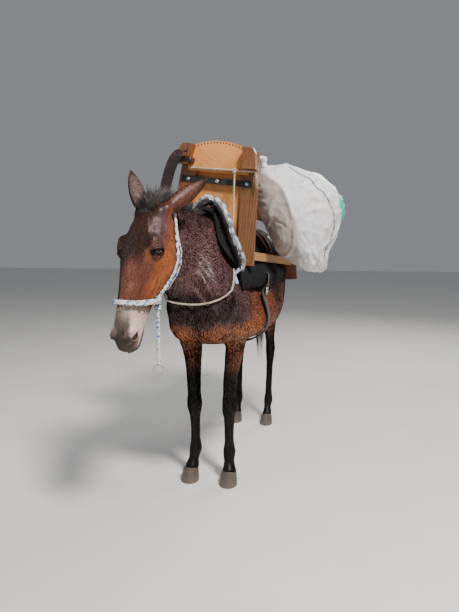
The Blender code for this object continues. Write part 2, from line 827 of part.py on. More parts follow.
# Along the ear: share of its length, half width, depth of the cup, half angle that the shell covers
EAR = [
    (0.00, 0.024, 0.024, 150),
    (0.12, 0.031, 0.028, 140),
    (0.30, 0.038, 0.028, 120),
    (0.50, 0.037, 0.024, 108),
    (0.70, 0.029, 0.018, 100),
    (0.86, 0.018, 0.011, 96),
    (0.96, 0.008, 0.006, 94),
    (1.00, 0.0045, 0.0045, 92),
]
EAR_LINE = {1: (0.38, 0.66, 0.545), -1: (-0.56, 0.36, 0.80)}
EAR_MOUTH = {1: (-0.62, 0.60, 0.0), -1: (-0.80, 0.10, -0.20)}
EAR_BASE = {1: (0.060, -0.002, -0.052), -1: (-0.058, -0.006, -0.045)}


def ear_shape(side):
    """A cupped shell that leans back and out; the left one is turned with its mouth to the rear."""
    along = Vector(EAR_LINE[side]).normalized()
    mouth = Vector(EAR_MOUTH[side])
    along = HEAD_SPIN @ along
    mouth = HEAD_SPIN @ mouth
    mouth = (mouth - along * mouth.dot(along)).normalized()
    across = along.cross(mouth)
    base = on_head(*EAR_BASE[side])
    outline, faces, arc = [], [], 8
    rows = EAR
    for share, half, deep, cover in rows:
        centre = base + along * (share * EAR_LENGTH)
        shell = min(EAR_SHELL, half * 0.45)
        outer, inner = [], []
        for k in range(arc):
            angle = math.radians(cover) * (2 * k / (arc - 1) - 1)
            step = across * math.sin(angle) * half - mouth * math.cos(angle) * deep
            outer.append(centre + step)
            inner.append(centre + step * (1 - shell / half))
        outline.append(outer + inner[::-1])
    count = 2 * arc
    points = [p for ring in outline for p in ring]
    for i in range(len(outline) - 1):
        a, b = i * count, (i + 1) * count
        for j in range(count):
            k = (j + 1) % count
            faces.append((a + j, a + k, b + k, b + j))
    for start in (0, (len(outline) - 1) * count):
        for j in range(arc - 1):
            faces.append((start + j, start + j + 1, start + count - 2 - j, start + count - 1 - j))
    return outward((points, faces))


# Locks of long hair


def lock_shape(path, width, thickness, flat_side):
    """A flat, tapered lock along its path, widest near its root and pointed at its tip."""
    rings = []
    count = len(path)
    for i, here in enumerate(path):
        share = i / (count - 1)
        before = path[max(0, i - 1)]
        after = path[min(count - 1, i + 1)]
        along = (after - before).normalized()
        side = flat_side - along * flat_side.dot(along)
        side = side.normalized() if side.length > 1e-5 else along.orthogonal().normalized()
        out = along.cross(side).normalized()
        wide = width / 2 * (0.75 + 0.5 * share if share < 0.5 else 1.0) * (1 - share**2.2 * 0.93)
        thick = thickness / 2 * (1 - share**1.6 * 0.85)
        rings.append([here + side * wide, here + out * thick, here - side * wide, here - out * thick])
    return loft(rings)


def crest_point(share):
    """The neck's crest from the poll, 0, to the withers, 1."""
    rows = np.array(NECK)[::-1]
    places = np.linspace(0, 1, len(rows))
    y = np.interp(share, places, rows[:, 0])
    z = np.interp(share, places, rows[:, 1])
    return Vector((0, y, z))


def mane_shapes(tree):
    """A clipped mane: a low ridge on the crest, and short locks that stand and lean back."""
    draw = random.Random(11)
    spine = []
    for k in range(15):
        share = MANE_START + MANE_LENGTH * k / 14
        here = turned(crest_point(share))
        found, _ = touch(tree, here - Vector((0, 0, 0.10)), (0, 0, 1))
        spine.append(found)
    sizes = [0.017 * (0.55 + 0.45 * math.sin(math.pi * min(1, (k + 1) / 8) / 2)) for k in range(15)]
    ridge = tube([p + Vector((0, 0, 0.002)) for p in spine], sizes, 6)
    shapes = [ridge]
    count = 21
    for k in range(count):
        share = (k + 0.5) / count
        i = share * 14
        low = spine[int(i)]
        high = spine[min(14, int(i) + 1)]
        root = low.lerp(high, i - int(i))
        along = (high - low).normalized() if (high - low).length > 1e-6 else Vector((0, 1, 0))
        side = along.cross(Vector((0, 0, 1))).normalized()
        row = (k % 3) - 1
        lean = side * row * 0.35 + side * draw.uniform(-0.12, 0.12) + along * draw.uniform(0.25, 0.55)
        up = (Vector((0, 0, 1)) + lean).normalized()
        length = (0.105 - 0.060 * share) * draw.uniform(0.85, 1.15)
        start = root + side * row * 0.006 - Vector((0, 0, 0.010))
        path = [start + up * length * t + along * 0.022 * t * t for t in (0.0, 0.35, 0.7, 1.0)]
        shapes.append(lock_shape(path, 0.044 * draw.uniform(0.85, 1.15), 0.010, along))
    return shapes


STANDING_LOCKS = 7
STANDING_REACH = 0.088


def forelock_shapes(tree):
    """A small pad of hair between the ears, with locks that fall over the forehead and some that stand up."""
    draw = random.Random(5)
    cap = ellipsoid(on_head(0, 0.020, 0.006), (0.034, 0.040, 0.016), HEAD_AXES)
    shapes = [cap]
    count = 12
    for k in range(count):
        across = (k % 4 - 1.5) / 1.5
        tier = k // 4
        length = (0.19 - 0.045 * abs(across)) * (1 - 0.2 * tier) * draw.uniform(0.85, 1.1)
        start_s = 0.012 + 0.012 * tier
        path = []
        for t in (0.0, 0.3, 0.6, 0.82, 1.0):
            x = 0.024 * across + across * 0.030 * t + 0.010 * draw.uniform(-1, 1) * t
            s = start_s + length * t
            spot, normal = touch(tree, on_head(x, s, -0.05), HEAD_FRONT, 0.4)
            lift = 0.001 + 0.004 * tier + 0.010 * math.sin(math.pi * t) ** 0.7
            path.append(spot + normal * lift if t else spot + normal * 0.004)
        shapes.append(lock_shape(path, 0.032 * draw.uniform(0.85, 1.15), 0.008, HEAD_SIDE))
    for k in range(STANDING_LOCKS):
        across = 2 * k / (STANDING_LOCKS - 1) - 1
        root = on_head(0.012 * across, 0.016 - 0.008 * (k % 2), 0.006)
        length = STANDING_REACH * (1 - 0.25 * abs(across)) * (0.88 if k % 2 else 1.0)
        path = [root + (Vector((0, 0, 1)) * length + HEAD_SIDE * 0.012 * across) * t + HEAD_FRONT * 0.016 * t * t
                for t in (0.0, 0.35, 0.7, 1.0)]
        shapes.append(lock_shape(path, 0.026, 0.012, HEAD_SIDE))
    return shapes


TAIL_ROOT = Vector((0, 1.045, 1.245))
DOCK = [(0.0, -0.03, 0.01), (0.0, 0.03, 0.0), (0.0, 0.075, -0.04), (0.0, 0.095, -0.11), (0.0, 0.100, -0.19),
        (0.0, 0.098, -0.28)]
DOCK_SIZES = [0.036, 0.036, 0.032, 0.027, 0.021, 0.012]


def tail_shapes():
    """The dock, and long locks from all round it that hang past the hocks."""
    draw = random.Random(3)
    dock = [TAIL_ROOT + Vector(p) for p in DOCK]
    shapes = [tube(dock, DOCK_SIZES, 8, up=[Vector((0, 1, 0))] * len(dock))]
    count = 15
    for k in range(count):
        share = 0.18 + 0.78 * (k / (count - 1))
        i = share * (len(dock) - 1)
        low, high = dock[int(i)], dock[min(len(dock) - 1, int(i) + 1)]
        root = low.lerp(high, i - int(i))
        angle = (k * 2.4) % (2 * math.pi)
        out = Vector((math.cos(angle), 0.75 * math.sin(angle) + 0.25, 0))
        length = 0.30 + 0.34 * share + draw.uniform(-0.03, 0.03)
        path = []
        for t in (0.0, 0.2, 0.5, 0.78, 1.0):
            spread = 0.012 + 0.030 * math.sin(math.pi * min(1, t * 1.1)) ** 0.8
            sway = Vector((0.006 * draw.uniform(-1, 1), 0, 0)) * t
            path.append(root + out * spread + Vector((0, 0.018 * t, -length * t)) + sway)
        path[0] = root
        shapes.append(lock_shape(path, 0.052 * draw.uniform(0.85, 1.15), 0.016, Vector((-out.y, out.x, 0))))
    return shapes


# The halter

# Where the halter's ropes run on the head, as x, s, n of a point inside and the way out of it
CHEEK_ROUTE = [
    (0.355, -0.128, 1.0), (0.31, -0.142, 1.0), (0.26, -0.158, 1.0), (0.19, -0.156, 1.0),
    (0.12, -0.132, 1.0), (0.05, -0.112, 1.0), (0.005, -0.110, 0.8), (-0.030, -0.098, 0.50),
    (-0.045, -0.094, 0.36),
]
NOSEBAND_S = 0.395


def halter_noseband(tree, finish):
    path = []
    for k in range(22):
        angle = 2 * math.pi * k / 22
        out = HEAD_AXES @ Vector((math.cos(angle), 0.0, math.sin(angle)))
        inside = on_head(0, NOSEBAND_S + 0.030 * math.sin(angle), -0.060)
        found, _ = touch(tree, inside, out, 0.3)
        path.append(found + out * (NOSEBAND_RADIUS + 0.0015))
    path = lifted(path, tree, NOSEBAND_RADIUS + 0.0010, closed=True)
    shape = tube(path, NOSEBAND_RADIUS, 8, closed=True, up=[HEAD_DOWN] * 22)
    return add_object("halter_noseband", shape, finish)


def route_on_head(tree, route, side, lift):
    path = []
    for s, n, sideways in smooth_rows(route, 2):
        back = 1 - sideways
        out = HEAD_AXES @ Vector((side * sideways, -0.9 * back, -0.25 * back)).normalized()
        found, normal = touch(tree, on_head(0, s, n), out, 0.35)
        path.append(found + normal * lift)
    return lifted(path, tree, ROPE_RADIUS * 0.75 + 0.0010)


def halter_cheeks(tree, white, green):
    """The broad rope from the noseband up behind the left eye, and the green one on the right."""
    left = route_on_head(tree, CHEEK_ROUTE, 1, ROPE_RADIUS * 0.6 + 0.0022)
    right = route_on_head(tree, CHEEK_ROUTE, -1, ROPE_RADIUS * 0.6 + 0.0022)
    normals = [HEAD_AXES @ Vector((1, 0, 0))] * len(left)
    made = [add_object("halter_cheek_left", tube(left, ROPE_RADIUS, 6, flat=0.6, up=normals), white)]
    normals = [HEAD_AXES @ Vector((-1, 0, 0))] * len(right)
    made.append(add_object("halter_cheek_right", tube(right, ROPE_RADIUS, 6, flat=0.6, up=normals), green))
    return made


def halter_throat(tree, finish):
    """A thin cord that hangs behind the jowl, from one side of the mane, under the throat, to the other."""
    crest, under = turned((0, -0.552, 1.487)), turned((0, -0.588, 1.255))
    up = (crest - under).normalized()
    middle = crest.lerp(under, 0.5)
    path = []
    for k in range(23):
        angle = math.radians(42 - 264 * k / 22)
        out = HEAD_SIDE * math.cos(angle) + up * math.sin(angle)
        found, _ = touch(tree, middle, out, 0.5)
        path.append(found + out * (THIN_CORD_RADIUS + 0.0030))
    path = lifted(path, tree, THIN_CORD_RADIUS + 0.0010)
    return add_object("halter_throat_cord", tube(path, THIN_CORD_RADIUS, 6), finish)


def cord_curve(name, points, radius, finish):
    """A rope that hangs free, as a curve with a round section."""
    curve = bpy.data.curves.new(name, "CURVE")
    curve.dimensions = "3D"
    line = curve.splines.new("POLY")
    line.points.add(len(points) - 1)
    for spot, place in zip(line.points, points):
        spot.co = (*place, 1.0)
    curve.bevel_depth = radius
    curve.bevel_resolution = 2
    curve.use_fill_caps = True
    curve.materials.append(finish)
    obj = bpy.data.objects.new(name, curve)
    bpy.context.scene.collection.objects.link(obj)
    return obj


# Chin rope: from under the jaw straight down to its ring
CHIN_ROPE_LENGTH = 0.235
RING_RADIUS = 0.021
RING_WIRE = 0.0033


def chin_rope_top(tree):
    found, _ = touch(tree, on_head(0.030, NOSEBAND_S, -0.06), HEAD_AXES @ Vector((0.25, 0.10, -1)), 0.4)
    return found + (HEAD_AXES @ Vector((0.25, 0.10, -1))).normalized() * (2 * NOSEBAND_RADIUS + 0.0120)


def add_chin_rope(tree, white, iron):
    top = chin_rope_top(tree)
    points = [top - Vector((0, 0, CHIN_ROPE_LENGTH * k / 15)) for k in range(16)]
    cord_curve("halter_chin_rope", points, ROPE_RADIUS, white)
    middle = points[-1] - Vector((0, 0, RING_RADIUS + RING_WIRE + 0.0010))
    path = []
    for k in range(16):
        angle = 2 * math.pi * k / 16
        path.append(middle + Vector((math.cos(angle), 0.25 * math.cos(angle), math.sin(angle))) * RING_RADIUS)
    shape = tube(path, RING_WIRE, 8, closed=True, up=[Vector((0.25, -1, 0))] * 16)
    return add_object("halter_ring", shape, iron)


# The pack saddle

SADDLE_AXES = (
    Matrix.Rotation(-SADDLE_TURN, 3, "Z") @ Matrix.Rotation(SADDLE_ROLL, 3, "Y")
)


def on_saddle(a, deep, b):
    """A place on the saddle: a to its left, deep to its rear, b up from the strap's middle."""
    return STRAP_CENTRE + SADDLE_AXES @ Vector((a, deep, b))


def circle(count):
    """Cosines and sines round a circle."""
    turns = [2 * math.pi * k / count for k in range(count)]
    return [(math.cos(turn), math.sin(turn)) for turn in turns]


def board_shape(outline, front, back):
    """A board cut to an outline of (a, b), between two depths."""
    return loft([[on_saddle(a, deep, b) for a, b in outline] for deep in (front, back)])


def arc_outline(half, low, shoulder, apex, count=12):
    top = []
    for k in range(count + 1):
        t = 1 - 2 * k / count
        top.append((half * t, shoulder + (apex - shoulder) * (1 - t * t)))
    return [(-half, low), (half, low)] + top


PLANK_TOP = (0.166, 0.165)
PLANK_FOOT = (0.214, -0.428)
PLANK_WIDTH = 0.093
REAR_Y = 0.575
REAR_TOP = (0.245, 0.02)
REAR_FOOT = (0.348, -0.515)


def plank_outline(top, foot, width, side, trim=0.022):
    """A leaning plank whose lower inner corner is cut off."""
    line = Vector((top[0] - foot[0], top[1] - foot[1])).normalized()
    across = Vector((line.y, -line.x))
    half = width / 2
    low, high = Vector(foot), Vector(top)
    corners = [low - across * (half - trim), low + across * half, high + across * half]
    corners += [high - across * half, low - across * half + line * trim]
    outline = [(side * c.x, c.y) for c in corners]
    return outline if side > 0 else outline[::-1]


def add_front_arch(wood, iron, steel):
    made = []
    for side, word in ((1, "left"), (-1, "right")):
        outline = plank_outline(PLANK_TOP, PLANK_FOOT, PLANK_WIDTH, side)
        made.append(add_object(f"front_plank_{word}", board_shape(outline, 0.0, BOARD_THICKNESS), wood, False))
        a0, a1, lean = 0.140, 0.208, 0.018
        outline = [(side * (a0 + lean), 0.072), (side * (a1 + lean), 0.072), (side * (a1 + 0.004), 0.155),
                   (side * (a1 - 0.012), 0.178), (side * a0, 0.178)]
        outline = outline if side > 0 else outline[::-1]
        shape = board_shape(outline, -0.070, -BOARD_THICKNESS - GAP)
        made.append(add_object(f"front_horn_{word}", shape, wood, False))
    panel = board_shape(arc_outline(0.172, 0.045, 0.170, 0.208), -BOARD_THICKNESS, -GAP)
    made.append(add_object("front_top_panel", panel, wood, False))
    arch = [(-0.100, -0.27), (-0.092, -0.19), (-0.060, -0.135), (0.0, -0.115)]
    outline = [(-0.152, -0.27)] + arch + [(-a, b) for a, b in arch[-2::-1]]
    outline += [(0.152, -0.27), (0.152, 0.13), (-0.152, 0.13)]
    shape = board_shape(outline, BOARD_THICKNESS + GAP, BOARD_THICKNESS + GAP + 0.016)
    made.append(add_object("front_back_board", shape, wood, False))
    outline = [(-0.212, -0.0155), (0.196, -0.0155), (0.196, 0.0155), (-0.212, 0.0155)]
    made.append(add_object("front_iron_strap", board_shape(outline, -0.0045, -GAP), iron, False))
    for k, a in enumerate((-0.170, 0.0, 0.170)):
        rings = []
        for deep, size in ((-0.0045 - GAP, 0.0095), (-0.0085, 0.0090), (-0.0105, 0.0050)):
            rings.append([on_saddle(a + size * c, deep, size * s) for c, s in circle(12)])
        made.append(add_object(f"front_bolt_{k + 1}", loft(rings), steel))
    return made


def add_rear_arch(dark_wood):
    made = []
    for side, word in ((1, "left"), (-1, "right")):
        outline = plank_outline(REAR_TOP, REAR_FOOT, PLANK_WIDTH, side)
        shape = board_shape(outline, REAR_Y, REAR_Y + BOARD_THICKNESS)
        made.append(add_object(f"rear_plank_{word}", shape, dark_wood, False))
    panel = board_shape(arc_outline(0.285, -0.13, -0.02, 0.045), REAR_Y - BOARD_THICKNESS, REAR_Y - GAP)
    made.append(add_object("rear_panel", panel, dark_wood, False))
    return made


def bar_shape(start, end, high, thick):
    """A straight square bar between two places on the saddle, its ends square to the saddle."""
    rings = []
    for a, deep, b in (start, end):
        corners = [(-thick, -high), (thick, -high), (thick, high), (-thick, high)]
        rings.append([on_saddle(a + x / 2, deep, b + z / 2) for x, z in corners])
    return loft(rings)


RAILS = {"upper": ((0.168, -0.14), (0.222, -0.166)), "lower": ((0.222, -0.372), (0.335, -0.40))}


def add_rails(wood):
    made = []
    for word, (front, back) in RAILS.items():
        for side, name in ((1, "left"), (-1, "right")):
            start = (side * front[0], BOARD_THICKNESS + GAP, front[1])
            end = (side * back[0], REAR_Y - GAP, back[1])
            made.append(add_object(f"rail_{word}_{name}", bar_shape(start, end, 0.045, 0.024), wood, False))
    return made


# The pad's front edge and the line of its roll: the share of the way down each side, and y
PAD_FRONT = ((0.0, -0.115), (0.2, -0.235), (0.42, -0.270), (0.58, -0.230), (0.72, -0.140), (1.0, -0.115))
ROLL_LINE = ((0.0, -0.080), (0.2, -0.120), (0.42, -0.150), (0.65, -0.165))
PAD_BACK_Y = 0.64
PAD_LOW_ANGLE = math.radians(2)
PAD_CENTRE_Z = 1.06
FLAP_THICKNESS = 0.011


def way_out(angle):
    """The way out from the middle of the chest, by an angle from the mule's left, over the top, to its right."""
    return Vector((math.cos(angle), 0, math.sin(angle)))


def along_side(table, angle):
    """The y that a table gives at an angle."""
    return float(np.interp(abs(math.cos(angle)), [row[0] for row in table], [row[1] for row in table]))


def back_reach(tree, y, angle):
    """How far the hide lies from the middle of the chest."""
    centre = Vector((0, y, PAD_CENTRE_Z))
    return (touch(tree, centre, way_out(angle))[0] - centre).length


def spots_on(a, b, c, d, count=5):
    """Places all over the two triangles a, b, d and b, c, d."""
    shares = [k / (count - 1) for k in range(count)]
    first = [a + (b - a) * v + (d - a) * u for u in shares for v in shares if u + v <= 1]
    return first + [c + (d - c) * v + (b - c) * u for u in shares for v in shares if u + v <= 1]


def pad_shape(tree, lift, columns=16, rows=8):
    """A thick cloth over the back, clear of the hide all over, with a thin flap ahead of its roll."""
    angles = []
    for k in range(columns + 1):
        share = 2 * k / columns - 1
        spread = math.copysign(abs(share) ** 1.35, share)
        angles.append(math.pi / 2 + (math.pi / 2 - PAD_LOW_ANGLE) * spread)
    places = []
    for angle in angles:
        front, line = along_side(PAD_FRONT, angle), along_side(ROLL_LINE, angle) + 0.025
        places.append([front, (front + line) / 2, line]
                      + [line + (PAD_BACK_Y - line) * i / (rows - 2) for i in range(1, rows - 1)])
    far = []
    for i in range(rows + 1):
        far.append([back_reach(tree, places[k][i], angle) + lift for k, angle in enumerate(angles)])
    for _ in range(4):
        for i in range(rows):
            for k in range(columns):
                corners = [(i, k), (i, k + 1), (i + 1, k), (i + 1, k + 1)]
                middles = [Vector((0, places[n][m], PAD_CENTRE_Z)) for m, n in corners]
                a, b, d, c = [mid + way_out(angles[n]) * far[m][n] for mid, (m, n) in zip(middles, corners)]
                for spot in spots_on(a, b, c, d):
                    flat = Vector((spot.x, 0, spot.z - PAD_CENTRE_Z))
                    short = back_reach(tree, spot.y, math.atan2(flat.z, flat.x)) + lift - flat.length
                    if short > 0:
                        for m, n in corners:
                            far[m][n] += short
    inner, outer = [], []
    for i in range(rows + 1):
        for k, angle in enumerate(angles):
            to_side = min(k, columns - k)
            rim = min(1.0, to_side / 1.2 + 0.35, rows - i + 0.45)
            thick = PAD_THICKNESS * rim * (0.6 if i == 2 else 1.0)
            if i < 2:
                thick = FLAP_THICKNESS
            thick *= min(1.0, to_side / 1.2 + 0.5)
            centre = Vector((0, places[k][i], PAD_CENTRE_Z))
            inner.append(centre + way_out(angle) * far[i][k])
            outer.append(centre + way_out(angle) * (far[i][k] + thick))
    wide, half = columns + 1, len(inner)
    faces = []
    for i in range(rows):
        for k in range(columns):
            a, b, c, d = i * wide + k, i * wide + k + 1, (i + 1) * wide + k + 1, (i + 1) * wide + k
            faces += [(a, b, d), (b, c, d), (d + half, b + half, a + half), (d + half, c + half, b + half)]
    for i in range(rows):
        for k in (0, columns):
            a, d = i * wide + k, (i + 1) * wide + k
            faces.append((a, d, d + half, a + half))
    for k in range(columns):
        for i in (0, rows):
            a, b = i * wide + k, i * wide + k + 1
            faces.append((a, b, b + half, a + half))
    return outward((inner + outer, faces))


def kept_off(path, tree, clearance, rounds=30):
    """A path that starts outside a surface, pushed straight away from it until it keeps the clearance."""
    for _ in range(rounds):
        moved_by = 0.0
        for i in range(len(path) - 1):
            for share in (0.0, 0.25, 0.5, 0.75, 1.0):
                spot = path[i].lerp(path[i + 1], share)
                near, _, _, far = tree.find_nearest(spot)
                if far < clearance:
                    push = (spot - near).normalized() * (clearance - far)
                    path[i] += push * (1 if share < 0.9 else 0)
                    path[i + 1] += push * (1 if share > 0.1 else 0)
                    moved_by = max(moved_by, clearance - far)
        if moved_by < 1e-5:
            break
    return path


PRESSED_INTO_PAD = ("front_plank_left", "front_back_board", "rear_plank_left", "rail_lower_left")


def add_pad(tree, flesh_parts, cloth, roll_cloth):
    """The pad, and the quilted roll that is sewn along its front over the withers."""
    pad = add_object("saddle_pad", pad_shape(tree, 0.0030), cloth)
    under = tree_of(pad, *flesh_parts)
    path = []
    for k in range(23):
        angle = math.radians(36 + 108 * k / 22)
        y = along_side(ROLL_LINE, angle)
        far = max(back_reach(under, y + step, angle) for step in (-0.02, 0.0, 0.02))
        path.append(Vector((0, y, PAD_CENTRE_Z)) + way_out(angle) * (far + ROLL_RADIUS))
    path = kept_off(path, under, ROLL_RADIUS + 0.0012)
    sizes = [ROLL_RADIUS * (0.55 + 0.45 * min(1.0, k / 3, (22 - k) / 3)) for k in range(23)]
    roll = add_object("pad_roll", tube(path, sizes, 10, up=[Vector((0, -1, 0))] * 23), roll_cloth)
    return pad, roll


GIRTH_Y = 0.115
GIRTH_WIDTH = 0.062
GIRTH_THICKNESS = 0.006


def add_girth(tree, cloth):
    """A broad band under the chest, from the pad on one side to the pad on the other."""
    middle, edge = [], []
    count = 34
    for k in range(count):
        angle = math.radians(6 - 192 * k / (count - 1))
        out = Vector((math.cos(angle), 0, math.sin(angle)))
        middle.append(out)
    sides = []
    edges = (GIRTH_Y - GIRTH_WIDTH / 2, GIRTH_Y, GIRTH_Y + GIRTH_WIDTH / 2)
    for y in edges:
        path = [touch(tree, Vector((0, y, PAD_CENTRE_Z)), out, 1.0)[0] + out * 0.0022 for out in middle]
        sides.append(lifted(path, tree, 0.0034))
    rings = []
    for k, out in enumerate(middle):
        far = max((side[k] - Vector((0, 0, PAD_CENTRE_Z))).dot(out) for side in sides) + 0.0008
        near, back = [Vector((0, y, PAD_CENTRE_Z)) + out * far for y in (edges[0], edges[-1])]
        rings.append([near, back, back + out * GIRTH_THICKNESS, near + out * GIRTH_THICKNESS])
    return add_object("girth", loft(rings), cloth, False)


def breast_route(tree):
    path = []
    for k in range(21):
        angle = math.radians(-15 - 150 * k / 20)
        out = Vector((math.cos(angle), math.sin(angle), 0))
        z = 1.02 + 0.17 * abs(math.cos(angle)) ** 2.2
        inside = Vector((-0.01, -0.13, z))
        found, normal = touch(tree, inside, out, 1.0)
        path.append(found + out * (THIN_CORD_RADIUS * 1.4 + 0.0022))
    return lifted(path, tree, THIN_CORD_RADIUS * 1.4 + 0.0010)


# The leather sling, from over the right horn down beside the plank, on the saddle
SLING_ROUTE = [
    (-0.150, -0.104, 0.135), (-0.185, -0.122, 0.118), (-0.225, -0.112, 0.060),
    (-0.262, -0.080, -0.030), (-0.285, -0.055, -0.130), (-0.290, -0.045, -0.215),
]


def add_ropes(tree, rope, brass, leather):
    made = [add_object("breast_rope", tube(breast_route(tree), THIN_CORD_RADIUS * 1.4, 6), rope)]
    level = -BOARD_THICKNESS - 0.0066
    path = [on_saddle(-0.155 + 0.37 * k / 6, level, 0.058 + 0.006 * k / 6) for k in range(7)]
    made.append(add_object("lash_rope_front", tube(path, 0.0058, 6, up=[Vector((0, -1, 0))] * 7), rope))
    start = on_saddle(0.105, -BOARD_THICKNESS - 0.0195, 0.058)
    drop = [start + Vector((-0.006, -0.012, -0.31)) * (k / 15) for k in range(16)]
    cord_curve("hanging_rope", drop, 0.0048, rope)
    end = drop[-1] - Vector((0, 0, 0.0010))
    rings = []
    for down, r in ((0, 0.0070), (0.006, 0.0105), (0.030, 0.0105), (0.034, 0.0085)):
        rings.append([end + Vector((r * c, r * s, -down)) for c, s in circle(10)])
    made.append(add_object("rope_end_cap", loft(rings), brass))
    sling = [on_saddle(a, deep, b) for a, deep, b in smooth_rows(SLING_ROUTE, 2)]
    side = SADDLE_AXES @ Vector((0.80, 0.0, 0.60))
    rings = []
    for i, here in enumerate(sling):
        after, before = sling[min(i + 1, len(sling) - 1)], sling[max(i - 1, 0)]
        along = (after - before).normalized()
        wide = (side - along * side.dot(along)).normalized()
        out = along.cross(wide).normalized()
        section = [(0.030, 0.002), (0, 0.009), (-0.030, 0.002), (-0.030, -0.004), (0, 0.001), (0.030, -0.004)]
        rings.append([here + wide * w + out * o for w, o in section])
    made.append(add_object("leather_sling", loft(rings), leather))
    return made


# The sack's outline seen from ahead, as x and z, and how full it is along the mule
SACK_OUTLINE = [
    (0.265, 1.275), (0.345, 1.205), (0.440, 1.165), (0.520, 1.142), (0.535, 1.190), (0.545, 1.270), (0.590, 1.375),
    (0.612, 1.480), (0.598, 1.585), (0.565, 1.640), (0.480, 1.700), (0.390, 1.735), (0.290, 1.760), (0.215, 1.755),
    (0.190, 1.690), (0.188, 1.580), (0.200, 1.460), (0.228, 1.355),
]
SACK_LENGTH = [(0.045, 0.30), (0.065, 0.62), (0.105, 0.84), (0.17, 0.96), (0.27, 1.0), (0.36, 0.97), (0.43, 0.86),
               (0.475, 0.66), (0.498, 0.34)]


def sack_shape():
    middle = Vector((0.395, 0, 1.46))
    rings = []
    for y, full in SACK_LENGTH:
        ring = []
        for x, z in SACK_OUTLINE:
            here = Vector((x, 0, z))
            spot = middle + (here - middle) * full
            spot.y = y
            spot.x += 0.012 + 0.06 * (y - 0.045)
            ring.append(spot)
        rings.append(ring)
    return loft(rings)


def add_sack(plastic, green, rope):
    sack = add_object("sack", sack_shape(), plastic)
    tilt = Matrix.Rotation(math.radians(-8), 3, "Y")
    corner = ellipsoid(Vector((0.630, 0.31, 1.52)), (0.034, 0.055, 0.080), tilt)
    patch = add_object("sack_patch", corner, green)
    cut_clear(patch, sack)
    neck = []
    for t, r in ((0.0, 0.020), (0.3, 0.014), (0.5, 0.017), (0.8, 0.028), (1.0, 0.024)):
        centre = Vector((0.215 - 0.02 * t, 0.20, 1.745 + 0.060 * t))
        neck.append([centre + Vector((r * c, r * s, 0)) for c, s in circle(10)])
    tie = add_object("sack_neck", loft(neck), plastic)
    cut_clear(tie, sack)
    return sack, patch, tie


def settle():
    """Moves everything so that the origin is at the middle of the model's foot."""
    bpy.context.view_layer.update()
    low, high = Vector((9, 9, 9)), Vector((-9, -9, -9))
    graph = bpy.context.evaluated_depsgraph_get()
    objects = list(bpy.context.scene.objects)
    for obj in objects:
        shown = obj.evaluated_get(graph)
        mesh = shown.to_mesh()
        for v in mesh.vertices:
            for i in range(3):
                low[i] = min(low[i], v.co[i])
                high[i] = max(high[i], v.co[i])
        shown.to_mesh_clear()
    step = Matrix.Translation((-(low.x + high.x) / 2, -(low.y + high.y) / 2, -low.z))
    for obj in objects:
        obj.data.transform(step)
    print("moved by", [round(v, 4) for v in step.translation], "size", [round(v, 3) for v in high - low])
    return step.translation


def build():
    clear_scene()
    hide = material("bay_hide", (0.20, 0.085, 0.045), 0.55)
    horn = material("hoof_horn", (0.22, 0.18, 0.15), 0.5)
    eye = material("dark_eye", (0.02, 0.015, 0.012), 0.08)
    hair = material("black_hair", (0.025, 0.022, 0.022), 0.5)
    white_rope = material("white_rope", (0.72, 0.72, 0.70), 0.8)
    green_cord = material("green_cord", (0.06, 0.25, 0.20), 0.7)
    tan_rope = material("tan_rope", (0.50, 0.42, 0.30), 0.85)
    wood = material("honey_wood", (0.42, 0.20, 0.07), 0.5)
    dark_wood = material("red_brown_wood", (0.17, 0.06, 0.03), 0.6)
    iron = material("black_iron", (0.03, 0.03, 0.03), 0.4, 0.9)
    steel = material("pale_steel", (0.62, 0.60, 0.55), 0.35, 1.0)
    brass = material("brass", (0.60, 0.42, 0.16), 0.35, 1.0)
    felt = material("black_felt", (0.02, 0.02, 0.022), 0.9)
    quilt = material("quilted_cloth", (0.42, 0.43, 0.46), 0.85)
    leather = material("maroon_leather", (0.10, 0.03, 0.03), 0.5)
    webbing = material("black_webbing", (0.025, 0.025, 0.027), 0.7)
    plastic = material("woven_plastic", (0.66, 0.67, 0.70), 0.45)
    green = material("green_plastic", (0.05, 0.35, 0.26), 0.45)

    body = body_flesh()
    trunk, neck, legs = part_the_body(body, hide)
    add_hooves(legs, horn)
    head = head_flesh()
    combine(head, half_space(NECK_CUT_POINT, -NECK_CUT_NORMAL), "DIFFERENCE")
    largest_only(head)
    plain_head = copy_of(head, "plain_head")
    add_eyes(head, eye)
    open_the_muzzle(head)
    largest_only(head)
    head.data.materials.clear()
    head.data.materials.append(hide)
    head_tree = tree_of(plain_head)
    skin_tree = tree_of(neck, trunk, plain_head)
    body_tree = tree_of(neck, trunk, *legs.values())
    for side, word in ((1, "left"), (-1, "right")):
        ear = add_object(f"ear_{word}", ear_shape(side), hide)
        cut_clear(ear, plain_head)
        cut_clear(ear, neck)
    mane = fuse("mane", mane_shapes(skin_tree), hair)
    cut_clear(mane, neck, trunk, plain_head)
    forelock = fuse("forelock", forelock_shapes(head_tree), hair)
    cut_clear(forelock, plain_head)
    tail = fuse("tail", tail_shapes(), hair)
    cut_clear(tail, trunk)

    halter_noseband(head_tree, white_rope)
    halter_cheeks(skin_tree, white_rope, green_cord)
    halter_throat(skin_tree, white_rope)
    add_chin_rope(head_tree, white_rope, steel)
    front = add_front_arch(wood, iron, steel)
    rear = add_rear_arch(dark_wood)
    rails = add_rails(wood)
    pad, roll = add_pad(body_tree, (trunk, neck), felt, quilt)
    cut_clear(pad, *[obj for obj in front + rear + rails if obj.name in PRESSED_INTO_PAD])
    girth = add_girth(tree_of(trunk, pad, legs["foreleg_left"], legs["foreleg_right"]), webbing)
    cut_clear(girth, pad)
    add_ropes(body_tree, tan_rope, brass, leather)
    add_sack(plastic, green, tan_rope)
    remove(plain_head)
    return settle()


ORIGIN_STEP = build()
